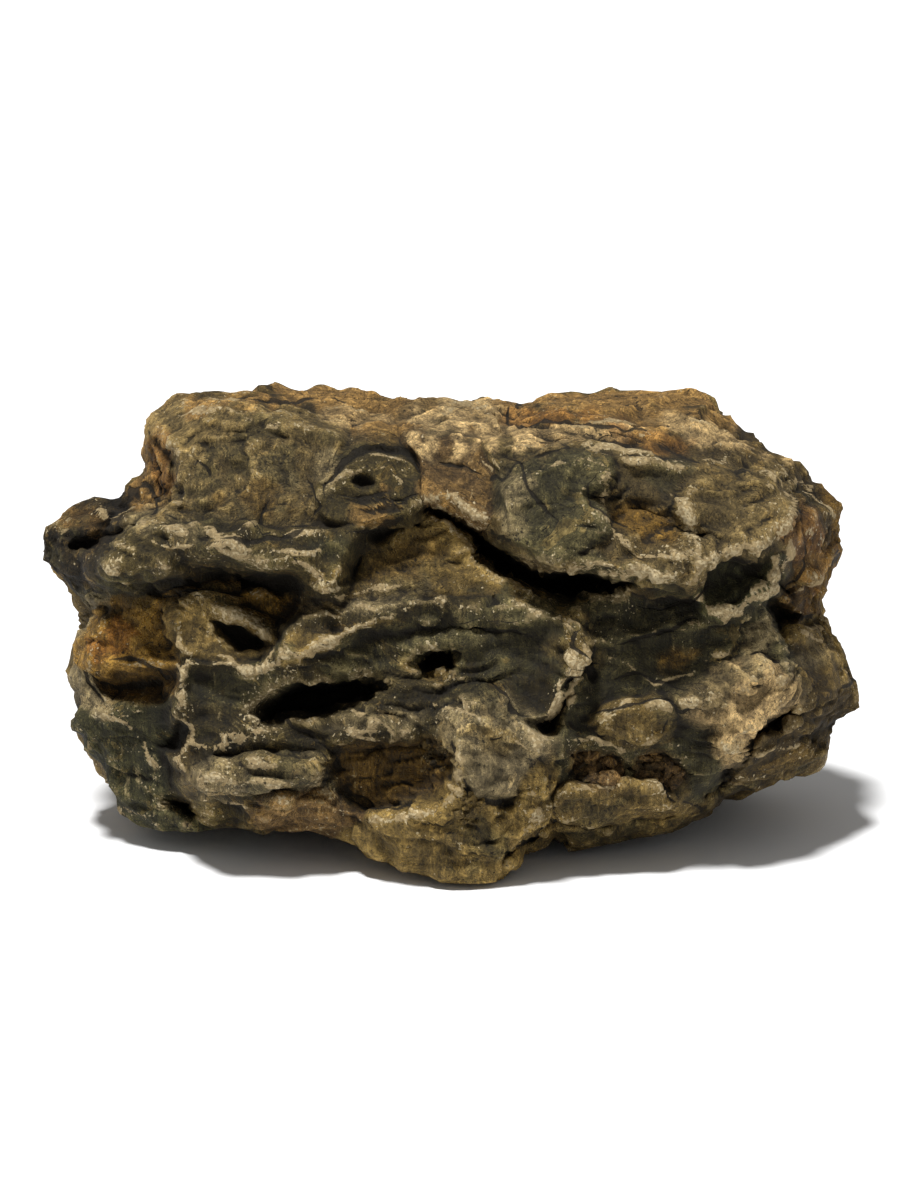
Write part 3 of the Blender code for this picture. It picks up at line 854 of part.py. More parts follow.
def back_relief(a, b):
    """The same for the back, whose slabs are broader and whose hollows are few."""
    wa, wb = wandering(a, b, BACK_LEVEL)
    lip_share = np.full(a.shape, 1.0)
    out = BACK_LEVEL - BACK_LEAN * (b - MIDDLE[1])
    add_slabs(out, a, b, wa, wb, BACK_SLABS, lip_share)
    sunk = sink_hollows(out, a, b, wa, wb, BACK_HOLLOWS, lip_share)
    return out, sunk


def rough_block(u, v):
    """The block without its fine weathering, as a surface of two angles.

    v runs from the right tip (0) to the left tip (pi) and u once around the long axis, with the front at
    u = 0 and the top at u = pi / 2. With the direction (x, d, z) = (cos v, -sin v cos u, sin v sin u),
    rho = hypot(x, z) is the share of the way from the middle to the silhouette, at the angle
    phi = atan2(z, x). The face position is (a, b) = MIDDLE + R(phi) rho (cos phi, sin phi), and the surface
    stands out by rim(phi) (1 - w) + relief(a, b) w, where w = (1 - rho^k)^(1/k).
    """
    shape = u.shape
    u, v = u.ravel(), v.ravel()
    across, depth, up = np.cos(v), -np.sin(v) * np.cos(u), np.sin(v) * np.sin(u)
    rho = np.minimum(np.hypot(across, up), 1.0)
    phi = np.arctan2(up, across)
    silhouette = np.array(SILHOUETTE) - MIDDLE
    angle = np.arctan2(silhouette[:, 1], silhouette[:, 0])
    order = np.argsort(angle)
    turns = np.linspace(-np.pi, np.pi, 361)
    reach = np.interp(turns, angle[order], np.hypot(*silhouette.T)[order], period=2 * np.pi)
    window = np.hanning(SMOOTHED_OVER)
    broad = np.convolve(np.tile(reach[:-1], 3), window / window.sum(), "same")[360:721]
    radius, broad_radius = np.interp(phi, turns, reach), np.interp(phi, turns, broad)
    rim = np.interp(np.degrees(phi), *np.array(RIM, float).T)
    front = depth < 0
    fullness = np.where(front, FRONT_FULLNESS, BACK_FULLNESS - LOW_BULGE * np.sin(phi))
    share = (1 - rho ** fullness) ** (1 / fullness)
    behind = np.where(front, 0.0, BACK_INSET * smooth_step(share, 0.0, 0.5))
    radius += behind * (broad_radius - radius)
    a = MIDDLE[0] + radius * rho * np.cos(phi)
    b = MIDDLE[1] + radius * rho * np.sin(phi)
    relief, sunk = np.empty(a.shape), np.empty(a.shape)
    relief[front], sunk[front] = front_relief(a[front], b[front])
    back, sunk[~front] = back_relief(a[~front], b[~front])
    relief[~front] = -back
    out = rim * (1 - share) + relief * share
    y = b * math.sin(FACE_LEAN) - out * math.cos(FACE_LEAN)
    z = b * math.cos(FACE_LEAN) + out * math.sin(FACE_LEAN) - FOOT
    parts = [part.reshape(shape) for part in (a, b, sunk, share, front)]
    return np.stack([a, y, z], -1).reshape(shape + (3,)), parts


def neighbours(grid):
    """Each point's neighbours around the block and along it; the tips are their own neighbours."""
    before = np.concatenate([grid[:, :1], grid[:, :-1]], 1)
    after = np.concatenate([grid[:, 1:], grid[:, -1:]], 1)
    return np.roll(grid, 1, 0), np.roll(grid, -1, 0), before, after


def even_angles(rounds, columns):
    """Angles at which the block's surface is sampled, drawn together where it is steep.

    Each angle is moved to the mean of its neighbours', weighted by how long each edge comes out, so that
    the walls of ledges and hollows get points of their own.
    """
    turn = np.linspace(0, 2 * np.pi, rounds, endpoint=False)
    run = np.linspace(0, np.pi, columns)
    u, v = np.meshgrid(turn - FRONT_SHARE * np.sin(turn), run + TIP_SHARE * np.sin(2 * run), indexing="ij")
    for _ in range(SPREAD_PASSES):
        points = rough_block(u, v)[0]
        points[:, 0], points[:, -1] = points[:, 0].mean(0), points[:, -1].mean(0)
        closer = 1 + FRONT_CLOSER * np.cos(u)
        weights = [
            closer * (np.linalg.norm(points - other, axis=-1) + SPACING / columns)
            for other in neighbours(points)
        ]
        whole = sum(weights)
        for _ in range(SPREAD_ROUNDS):
            around = list(neighbours(u))
            around[0][0] -= 2 * np.pi
            around[1][-1] += 2 * np.pi
            u_next = sum(weight * other for weight, other in zip(weights, around)) / whole
            v_next = sum(weight * other for weight, other in zip(weights, neighbours(v))) / whole
            u[:, 1:-1] += SPREAD_STEP * (u_next - u)[:, 1:-1]
            v[:, 1:-1] += SPREAD_STEP * (v_next - v)[:, 1:-1]
    return u, v


def outward(points):
    """Unit normals of the grid, pointing out of the block."""
    before, after, nearer, further = neighbours(points)
    normal = np.cross(after - before, further - nearer)
    return normal / np.maximum(np.linalg.norm(normal, axis=-1, keepdims=True), 1e-9)


def softened(points, passes, evenly=True):
    """The grid with its points drawn towards their neighbours' mean, most or only where it is stretched."""
    for _ in range(passes):
        around = neighbours(points)
        mean = sum(around) / 4
        length = sum(np.linalg.norm(other - points, axis=-1) for other in around) / 4
        stretch = length / np.median(length)
        if evenly:
            share = np.clip(EASE * stretch, EASE_LEAST, EASE_MOST)
        else:
            share = np.clip(RELAX * (stretch - STRETCHED), 0, EASE_MOST)
        points = points + share[..., None] * (mean - points)
    return points


def weathering(points):
    """How far rain and wear have cut into the rock, in mm, for points in space.

    Scoops, gouges and nicks are the squared distance to scattered seeds, which gives bowls that meet in
    sharp crests. Beds are a saw-tooth of the height above a tilted, wandering plane, which gives thin broken
    ledges. Lumps are a broad noise.
    """
    bend = np.stack([fractal(points, BEND_SIZE, 3, seed) for seed in (41, 51, 61)], 1)
    bent = points + BEND * bend
    scoops = nearest_seed(bent / SCOOP, 71) ** 2
    gouges = nearest_seed(bent / GOUGE, 77) ** 2
    nicks = nearest_seed(bent / NICK, 81) ** 2
    rugged = smooth_step(fractal(points, RUGGED_SIZE, 2, 87), -0.2, 0.15)
    rugged = RUGGED_LEAST + (1 - RUGGED_LEAST) * rugged
    level = (bent @ BED_NORMAL + BED_WANDER * fractal(points, BED_WANDER_SIZE, 2, 93)) / BED
    part = level - np.floor(level)
    beds = part ** 2 * smooth_step(1 - part, 0.0, 0.12)
    patchy = smooth_step(fractal(points, BED_PATCH, 2, 91), -0.35, 0.25)
    crests = 1 - 2 * np.abs(fractal(bent / CREST, 1.0, 3, 97))
    lumps = fractal(points, LUMP_SIZE, 2, 95)
    cuts = GOUGE_DEPTH * (gouges - BOWL_MEAN) + NICK_DEPTH * (nicks - BOWL_MEAN)
    return (
        SCOOP_DEPTH * (scoops - BOWL_MEAN),
        rugged * cuts + CREST_DEPTH * (crests - 0.5),
        BED_DEPTH * beds * patchy,
        lumps,
    )


def weathered_block(around, along):
    """The block with its weathering, as a closed grid of points whose first and last columns are the tips.

    With it come each point's place in the face plane, how deep it is sunk in a hollow, how far inside the
    silhouette it lies and whether it is in front.
    """
    points, parts = rough_block(*even_angles(around, along))
    a, b, sunk, share, front = parts
    points[:, 0], points[:, -1] = points[:, 0].mean(0), points[:, -1].mean(0)
    points = softened(softened(points, 1), 8, evenly=False)
    side = 1 - smooth_step(share, 0.2, 0.75)
    points += side[..., None] * (softened(points, 10) - points)
    normal = outward(softened(points, 7))
    cuts = weathering(points.reshape(-1, 3))
    scoops, nicks, beds, lumps = (cut.reshape(a.shape) for cut in cuts)
    bare = np.where(front, 1 - smooth_step(share, *SHELTERED), 1.0)
    bedded = np.maximum(bare, smooth_step(b, *BEDDED_FROM))
    open_share = 1 - SHELTER * sunk
    depth = (FACE_SCOOPS + (BARE_SCOOPS - FACE_SCOOPS) * bare) * open_share * scoops
    depth += (FACE_NICKS + (BARE_NICKS - FACE_NICKS) * bare) * open_share * nicks
    depth += (FACE_BEDS + (BARE_BEDS - FACE_BEDS) * bedded) * beds
    depth += LUMP_DEPTH * lumps * bare * smooth_step(share, 0.0, 0.5)
    return points + normal * depth[..., None], parts


def ground(x, y):
    """How low the stone may lie: a little below the floor inside the footprint, rising slowly outside it."""
    outside = np.maximum(-inset(x, y, rounded(FOOTPRINT)), 0)
    uneven = 1 + UNEVEN * fractal(plain(x, y, 0.0), UNEVEN_SIZE, 2, 101)
    return UNDERSIDE_RISE * uneven * outside - FOOT_CUT


def on_its_foot(points):
    """The points with the underside inside the footprint drawn down to the floor, and the tips closed."""
    x, y, z = points.reshape(-1, 3).T
    within = smooth_step(inset(x, y, rounded(FOOTPRINT)), 0, FOOT_EDGE)
    height = z + FOOT_CUT
    drawn = height * smooth_step(height, 2.0, SETTLE)
    z = np.maximum(height + within * (drawn - height) - FOOT_CUT, ground(x, y))
    points = np.stack([x, y, z], -1).reshape(points.shape)
    points[:, 0], points[:, -1] = points[:, 0].mean(0), points[:, -1].mean(0)
    return points


def closed_mesh(name, points):
    """A mesh of the grid: quads between its rings, and a fan of triangles at each tip."""
    around, along = points.shape[:2]
    rings = along - 2
    row, column = np.meshgrid(np.arange(around), np.arange(rings - 1), indexing="ij")
    after = (row + 1) % around
    near, far = row * rings + column, after * rings + column
    quads = np.stack([near, far, far + 1, near + 1], -1).reshape(-1, 4)
    right_tip, left_tip = around * rings, around * rings + 1
    first = np.arange(around)
    second = (first + 1) % around
    fans = [[right_tip, j * rings, i * rings] for i, j in zip(first, second)]
    fans += [[left_tip, i * rings + rings - 1, j * rings + rings - 1] for i, j in zip(first, second)]
    corners = np.concatenate([points[:, 1:-1].reshape(-1, 3), points[:1, 0], points[:1, -1]])
    mesh = bpy.data.meshes.new(name)
    mesh.from_pydata((corners * MM).tolist(), [], quads.tolist() + [list(map(int, fan)) for fan in fans])
    mesh.update()
    return mesh


def rock_material():
    """Dull brown clay rock."""
    material = bpy.data.materials.new("clay_rock")
    material.use_nodes = True
    shader = material.node_tree.nodes["Principled BSDF"]
    shader.inputs["Base Color"].default_value = STONE_COLOUR
    shader.inputs["Roughness"].default_value = STONE_ROUGHNESS
    return material


def foot_cutter():
    """A block below the floor that cuts the stone's foot flat."""
    bpy.ops.mesh.primitive_cube_add(size=2 * WIDTH * MM, location=(0, 0, -WIDTH * MM))
    cutter = bpy.context.object
    cutter.name = "foot_cutter"
    cutter.hide_render = True
    cutter.display_type = "WIRE"
    return cutter


def dragon_stone():
    """The stone, brought to its width and centred over the floor, then cut flat below."""
    points = on_its_foot(weathered_block(AROUND, ALONG)[0])
    low, high = points.reshape(-1, 3).min(0), points.reshape(-1, 3).max(0)
    scale = WIDTH / (high[0] - low[0])
    points = (points - [(low[0] + high[0]) / 2, (low[1] + high[1]) / 2, 0]) * scale
    stone = bpy.data.objects.new("dragon_stone", closed_mesh("dragon_stone", points))
    bpy.context.scene.collection.objects.link(stone)
    stone.data.materials.append(rock_material())
    stone.data.shade_smooth()
    fewer = stone.modifiers.new("fewer", "DECIMATE")
    fewer.ratio = TRIANGLES / (2 * AROUND * (ALONG - 2))
    foot = stone.modifiers.new("foot", "BOOLEAN")
    foot.operation = "DIFFERENCE"
    foot.solver = "EXACT"
    foot.object = foot_cutter()
    return stone


def main():
    """Empties the scene and models the stone."""
    for item in list(bpy.data.objects):
        bpy.data.objects.remove(item)
    dragon_stone()


main()
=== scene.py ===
"""Dragon stone: a ledged, pitted block of weathered clay rock, dressed for a close look.

The stone is drawn in its face plane, which leans back by FACE_LEAN: a runs across to the right, b runs up
the face and `out` stands out of it, all in millimetres. Its front is a heap of leaning slabs, the highest
of which shows at each place and brings its own colour, with hollows and cracks sunk in them. The world's
Z is up, the floor is z = 0 and the front faces -Y.
"""

import math
from typing import NamedTuple

import bpy
import numpy as np
from bpy.props import FloatProperty, FloatVectorProperty, IntProperty, PointerProperty
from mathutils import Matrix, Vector


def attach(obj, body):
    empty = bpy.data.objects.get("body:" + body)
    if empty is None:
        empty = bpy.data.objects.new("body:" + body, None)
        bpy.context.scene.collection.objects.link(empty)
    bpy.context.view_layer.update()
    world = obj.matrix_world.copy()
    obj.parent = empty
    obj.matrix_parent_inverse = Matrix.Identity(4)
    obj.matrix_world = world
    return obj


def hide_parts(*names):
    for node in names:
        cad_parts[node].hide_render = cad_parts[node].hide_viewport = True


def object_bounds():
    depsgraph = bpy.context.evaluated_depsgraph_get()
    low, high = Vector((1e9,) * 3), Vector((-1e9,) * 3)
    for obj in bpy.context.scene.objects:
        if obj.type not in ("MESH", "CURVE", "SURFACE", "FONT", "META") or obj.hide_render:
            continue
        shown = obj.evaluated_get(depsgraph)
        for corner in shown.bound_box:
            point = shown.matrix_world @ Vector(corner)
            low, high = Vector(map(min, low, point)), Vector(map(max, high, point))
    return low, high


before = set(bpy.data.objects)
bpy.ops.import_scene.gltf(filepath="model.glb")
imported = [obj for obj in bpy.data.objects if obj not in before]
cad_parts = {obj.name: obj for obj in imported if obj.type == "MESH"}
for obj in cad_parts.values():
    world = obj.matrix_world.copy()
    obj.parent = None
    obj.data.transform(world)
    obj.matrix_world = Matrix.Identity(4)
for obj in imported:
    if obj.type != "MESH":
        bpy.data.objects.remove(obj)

bl_info = {
    "name": "Dragon stone",
    "version": (1, 0, 0),
    "blender": (4, 5, 0),
    "location": "3D View > Sidebar > Dragon stone",
    "description": "Builds a weathered clay rock and a plain stage for it",
    "category": "Add Mesh",
}

CAD_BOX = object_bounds()

# The block, in millimetres unless they say otherwise
FACE_LEAN = math.radians(15)  # how far the face leans back from upright
FOOT = 12.5  # how far the middle of the keel reaches below the floor before it is cut flat
MIDDLE = np.array([0.0, 78.0])  # the place in the face plane from which the silhouette is drawn
FRONT_LEVEL = 13.0  # where the front lies between its slabs
TOP_START = 122.0  # the height in the face above which the front falls back
TOP_FALL = 1.3  # and by how much a millimetre
BACK_LEVEL = 58.0  # how far the back lies behind the face plane, at MIDDLE
BACK_LEAN = 0.13  # less for each millimetre up
FRONT_FULLNESS = 3.6  # exponents of the rounding towards the silhouette: 2 is an ellipse, more is squarer
BACK_FULLNESS = 2.8
LOW_BULGE = 0.8  # what the foot of the back adds to this, and its top loses
BACK_INSET = 0.85  # how far the silhouette's details have faded behind
SMOOTHED_OVER = 45  # the silhouette's details fade into its mean over this many degrees behind

MM = 0.001  # a millimetre in metres
DEGREES = 360  # in a whole turn
OCTAVE_SHIFT = 17.3  # how far apart the octaves of a noise are read, so that they don't line up

# Edges of slabs, ridges, hollows and cracks
REACH = 42.0  # the tallest cliff below a slab
DISH = 3.2  # how much the edge of a slab stands above its middle
DISH_REACH = 8.0  # over about this distance
EDGE_SHARE = 0.45  # the share of a slab's drop and roll that is left after wear has sharpened its edge
LIP_WIDTH = 0.8  # of the raised lip along an edge, on both sides of its crest
RUN_OUT = 4  # the number of widths after which a lip or a ridge has run out
LIP_SHARE, LIP_SPREAD, LIP_MOST = 0.7, 1.3, 1.7  # how high lips stand, as a share: usual, varying by, most
LIP_PATCH = 11.0  # over this distance
RIDGE_LEAST, RIDGE_SPREAD = 0.5, 0.6  # the share of its height that a ridge keeps, and what the lips add
BLEND = 0.5  # the rounding where two slabs meet
DEEP = 14.0  # a hollow this deep is painted fully dark, with dirt and painted shade
FADE = 0.2  # ridges run out over this share of their length at each end
CRACK_SHARE = 0.67  # the share of a crack's depth that dirt leaves open
WANDER, WANDER_SIZE = 1.6, 15.0  # how far drawn edges are pushed about, and over what distance
FINE_WANDER, FINE_WANDER_SIZE = 1.4, 5.5

# Weathering: bowls across, along and up, in which scoops hold gouges and gouges hold nicks
SCOOP, SCOOP_DEPTH = np.array([27.0, 20.0, 16.0]), 6.0
GOUGE, GOUGE_DEPTH = np.array([15.0, 11.0, 8.5]), 4.2
NICK, NICK_DEPTH = np.array([8.5, 7.0, 5.0]), 2.5
CREST, CREST_DEPTH = np.array([20.0, 13.0, 9.0]), 3.0  # wandering crests and what they stand out by
BOWL_MEAN, CREST_MEAN = 0.35, 0.5  # taken off, so that wear moves the surface neither in nor out
BEND, BEND_SIZE = 7.0, 24.0  # how far the bowls are bent, and over what distance
RUGGED_SIZE = 34.0  # gouged and smoother areas are this broad
RUGGED_LEAST, RUGGED_EDGE = 0.3, (-0.2, 0.15)  # the smoother ones have this share of the gouges
BED, BED_DEPTH = 6.0, 2.0  # the thickness of one bed of the rock, and how far its edge stands out
BED_WANDER, BED_WANDER_SIZE = 6.0, 19.0  # how far beds wander up and down, and over what distance
BED_PATCH, BED_EDGE = 30.0, (-0.35, 0.25)  # beds show in patches this broad, whose edges fade so
BED_FOOT, LEAF_FOOT = 0.12, 0.2  # the share of a bed's and of a leaf's thickness that its underside takes
BED_NORMAL = np.array([0.16, -0.22, 0.96])  # what the beds lie across
BEDDED_FROM = 124.0, 133.0  # between these heights in the face the beds come to be laid bare
SHELTERED = 0.3, 0.8  # and from here to here inside the silhouette the face is sheltered
LUMP_DEPTH, LUMP_SIZE = 6.0, 42.0  # broad swellings of the bare sides
FACE_SCOOPS, FACE_NICKS, FACE_BEDS = 0.3, 0.4, 0.25  # the shares of the wear that reach the sheltered face
BARE_SCOOPS, BARE_NICKS, BARE_BEDS = 1.0, 0.6, 0.6  # and the shares on the sides and back
SHELTER = 0.6  # how much less wear there is in the depth of a hollow

# The foot
UNDERSIDE_RISE = 0.22  # how steeply the underside climbs outside the footprint
UNEVEN, UNEVEN_SIZE = 0.5, 30.0  # by what share that varies, and over what distance
SETTLE = 2.0, 14.0  # undersides between these heights over the foot are drawn down to it, the low ones most
FOOT_EDGE = 9.0  # over this distance from the footprint's edge
FOOT_CUT = 1.0  # how much is cut off the foot to make it flat

# The sampled surface
TIP_SHARE = 0.12  # how much more of the points lie towards the tips
FRONT_CLOSER = 0.5  # how much closer the front's points are drawn to its steep places
SPACING = 25.0  # an edge's length over the number of columns that counts as even
SPREAD_PASSES, SPREAD_ROUNDS, SPREAD_STEP = 4, 16, 0.6  # how often points are spread, and how far
EASE, EASE_LEAST, EASE_MOST = 0.35, 0.15, 0.7  # how far a point moves to its neighbours' mean in one pass
RELAX, STRETCHED = 0.5, 1.6  # the same where only edges longer than this, in medians, are eased
EASED, RELAXED, SIDE_EASED = 1, 8, 10  # passes over the whole, where it is stretched, and over the sides
NORMAL_EASED, FINE_NORMAL_EASED = 7, 6  # and before normals are taken for the wear and for the finest wear
SMOOTHING = 0.5  # how far a point moves in one pass when its surroundings are smoothed to measure it
SIDE_SMOOTHED = 0.2, 0.75  # from here to here inside the silhouette the surface comes to be left as drawn
NEAR_RIM = 0.5  # this far inside the silhouette what fades towards it has its full share

# Clay, wear, dirt and painted shade on the drawn slabs and hollows
GRAIN_SIZE, GRAIN_HEIGHT = 7.0, 3.0  # how broad the noise is that breaks borders, and where it is cut
RAGGED = 2.0  # how far it pushes the border between two clays, in mm of height
CLAY_RISE, CLAY_INSET = (-1.5, 1.5), (-7, -1)  # a slab's clay takes over between these heights and insets
COVERED = 2.0  # a slab this much higher hides the wear below it
WORN_RISE = 0.5, 3.0  # between these heights over the rest an edge comes to be worn
WORN_INSET, WORN_MOST = 0.6, 0.8  # how far inside the outline it is worn most, and how much
EDGE_WEAR, RIDGE_WEAR = 2.2, 2.6  # how far the wear reaches on both sides of an edge and of a ridge
CREASE_DEPTH, CREASE_WIDTH = 1.2, 4.0  # the crease at a slab's foot: its depth, and its height up the slab
CREASE_START = 0.2, 1.2  # between these distances outside the outline it begins
CREASE_MEAN, CREASE_SPREAD, CREASE_LEAST = 0.8, 1.2, 0.4  # its share, what noise adds, and the least
CREASE_DIRT_AND_SHADE = 0.9  # how dark the depth of a crease is painted, with dirt and painted shade
WALL_FOOT = -0.3  # how far outside its outline a hollow begins
CRACK_ENDS = 0.3  # the share of its depth that a crack keeps at its ends
SEAM_REACH = 3.0  # how far from a crack the distance to it is kept
SEAM_END = 0.3  # and the share of its length over which it tapers at each end
STAIN_RAGGED, STAIN_EDGE = 1.6, (-0.1, 0.4)  # how far noise breaks a stain's edge, and where it fades

# The finest wear
CHIP, CHIP_DEPTH = np.array([3.6, 3.6, 3.0]), 0.2  # small chips
CHIP_BEND, CHIP_BEND_SIZE = 2.2, 8.0  # how far chips are bent, and over what distance
LEAF, LEAF_DEPTH = 3.1, 0.5  # thin leaves of the bedding
LEAF_WANDER, LEAF_WANDER_SIZE = 3.0, 11.0
LEAF_PATCH, LEAF_EDGE = 13.0, (-0.1, 0.25)  # they show in patches this broad, whose edges fade so
LEAF_LEAST = 0.3  # the share of their depth on the sheltered face
ROUGH_DEPTH, ROUGH_SIZE = 0.15, 3.4  # a rough grain over all
LEDGED_PATCH, LEDGED_EDGE = 30.0, (-0.25, 0.15)  # ledges too show in patches
LEDGED_LEAST = 0.15  # and keep this share of their depth between them
LEDGE_STRETCH = np.array([1.7, 1.2, 0.7])  # they run across the face
LEDGE_FOOT = 0.2  # the share of a ledge's thickness that its underside takes
LEDGE_SIZE, LEDGE_COUNT, LEDGE_RISE, LEDGE_DEPTH = 34.0, 4.0, 14.0, 2.0  # as terraces() takes them
SMALL_LEDGE_SIZE, SMALL_LEDGE_COUNT, SMALL_LEDGE_RISE, SMALL_LEDGE_DEPTH = 12.0, 1.8, 6.0, 0.7
FINE_MEAN = 0.3  # the mean of the finest wear, so that it moves the surface neither in nor out
SIDE_WEAR, SIDE_EDGE = 0.35, (0.15, 0.5)  # the share of it that shows at the silhouette, and where it grows

# Crumbs
CHIP_SIDES, CHIP_RINGS = 10, 8  # a crumb's points around and from end to end
CHIP_SQUARE = 6  # the exponent of a crumb's rounded box
CHIP_LEAST, CHIP_MOST = [0.6, 0.4, 0.25], [1.2, 0.9, 0.6]  # its length, breadth and height
CHIP_SLOPE, CHIP_TWIST, CHIP_ROUGH = 0.6, 0.25, 0.05  # its most slope, its twist and its roughness
CRUMB_INSET = 0.5  # how far inside the outline of their bed crumbs lie, in mm
CRUMB_SHADE = 0.5, 1.6  # how dark and how bright they are, as a share of their clay

# How far each point stands out of its surroundings, by name, and over how many passes they are smoothed; the
# clay is painted lighter where a point stands proud and darker in dips
STANDINGS = {"crest": 3, "ridge": 24, "swell": 140}
STANDING_SHARE, STANDING_MOST = 85, 3  # one unit holds this percentage of the points; the most units

CLAY = "clay_rock_weathered"  # the material of the stone and its crumbs
NOISE_SPREAD = 3.2  # what brings a noise node's usual range to -1 to 1

# The stage
FLOOR_HALF = 12.0  # metres from its middle to its sides
SUN_ANGLE = math.radians(9)  # how broad the key light looks
SUN_DIRECTION = 0.16, 0.19, -0.95
SENSOR = 36.0  # the camera's, in millimetres


class Slab(NamedTuple):
    """A plate of rock: where its middle stands, how it leans, its edge and its outline."""

    out: float
    lean: float  # more out for each millimetre up
    slant: float  # more out for each millimetre to the right
    rim: float  # a raised lip along the edge
    roll: float  # how far in the edge is rounded over
    drop: float  # and by how much
    cliff: float  # fall for each millimetre past the edge
    outline: list  # its corners, a and b in turn


class Hollow(NamedTuple):
    """A pit, cave or bite: its depth, the width of its wall and its outline."""

    depth: float
    wall: float
    tilt: float  # the extra share of the depth at the top, and missing at the bottom
    rim: float  # a raised lip around it
    outline: list


class Ridge(NamedTuple):
    """A sharp crest along a line, falling away in a hollow curve on both sides."""

    height: float
    width: float
    line: list


class Crack(NamedTuple):
    """A narrow groove along a line."""

    width: float
    depth: float
    line: list


# What follows is drawn in the face plane, each point as its a and its b in turn

SILHOUETTE = [
    -124.5, 101.5, -124, 106, -116.5, 107.5, -112, 112.5, -110, 112, -102, 112.5, -97, 118, -94.5, 120,
    -92.5, 125, -92.5, 129, -90.5, 133, -90.5, 136, -90.3, 138, -88, 139, -86, 140, -85.5, 142.5, -80, 146,
    -69, 148, -62, 149.5, -53, 152.5, -47, 150.5, -40, 151.5, -34, 149.5, -30, 150.5, -27, 148.5, -22, 147,
    -14, 146, -5, 145, 5, 144.3, 12, 145.5, 17, 145, 25, 145.5, 33, 148.5, 38, 151, 50, 151, 58, 150.5,
    72, 147, 80, 147, 84, 143, 85, 140, 88, 137, 90, 134.5, 91, 131, 94.5, 130, 95.5, 127.5, 101, 126.5,
    103, 124.5, 106, 123.5, 108, 119.5, 111, 118.5, 117, 116, 121, 113.5, 120.5, 108, 118.5, 101, 117, 95,
    115.5, 87, 111.5, 83.5, 112, 80, 110, 78, 113, 76, 115.5, 72, 116, 69, 119, 66.5, 120.5, 63, 122.2, 59,
    122, 56, 119, 52.5, 115, 49.5, 114, 46, 113.5, 40, 111, 36, 107, 33.5, 100, 31.5, 95, 31, 88, 29.5,
    81, 26, 79, 23, 76, 20.5, 70, 18.5, 61, 17, 56, 15, 50, 13.5, 44, 13, 38, 12.5, 33, 14.5, 31, 16,
    28.5, 12, 22, 10, 19, 5, 13, 3, 10, 0.3, 6, 0, 0, 1, -9, 5, -14, 5, -20, 7.5, -25, 9.5, -30, 13.5,
    -37, 15, -45, 14, -52, 15, -55, 14, -60, 10.5, -70, 11.5, -80, 13, -86, 15, -93, 16, -99, 19, -102, 22.5,
    -100.5, 25.5, -100.5, 30, -106.5, 35, -111, 39, -113.5, 42.5, -117, 45, -118, 47.5, -112, 52, -111.5, 58,
    -113, 63, -113, 68, -112, 75, -109.5, 79, -108, 82.5, -112, 84, -115, 90, -122.5, 93, -124, 96.5,
]

# How far the silhouette stands out of the face plane, as an angle in degrees and millimetres in turn
RIM = [
    -180, 0, -170, 0, -145, -3, -128, -4, -115, 8, -102, 32, -90, 38, -78, 34, -66, 16, -52, 2, -35, -2,
    -20, -2, 0, -6, 30, -17, 60, -33, 90, -36, 120, -33, 150, -17, 165, -6, 180, 0,
]

# The edge of the foot on the floor, as x and y in turn
FOOTPRINT = [
    -74, 24, -40, 14, -18, -10, -10, -36, 14, -37, 24, -10, 45, 12, 72, 20, 84, 34, 60, 58, -22, 66, -70, 52,
]

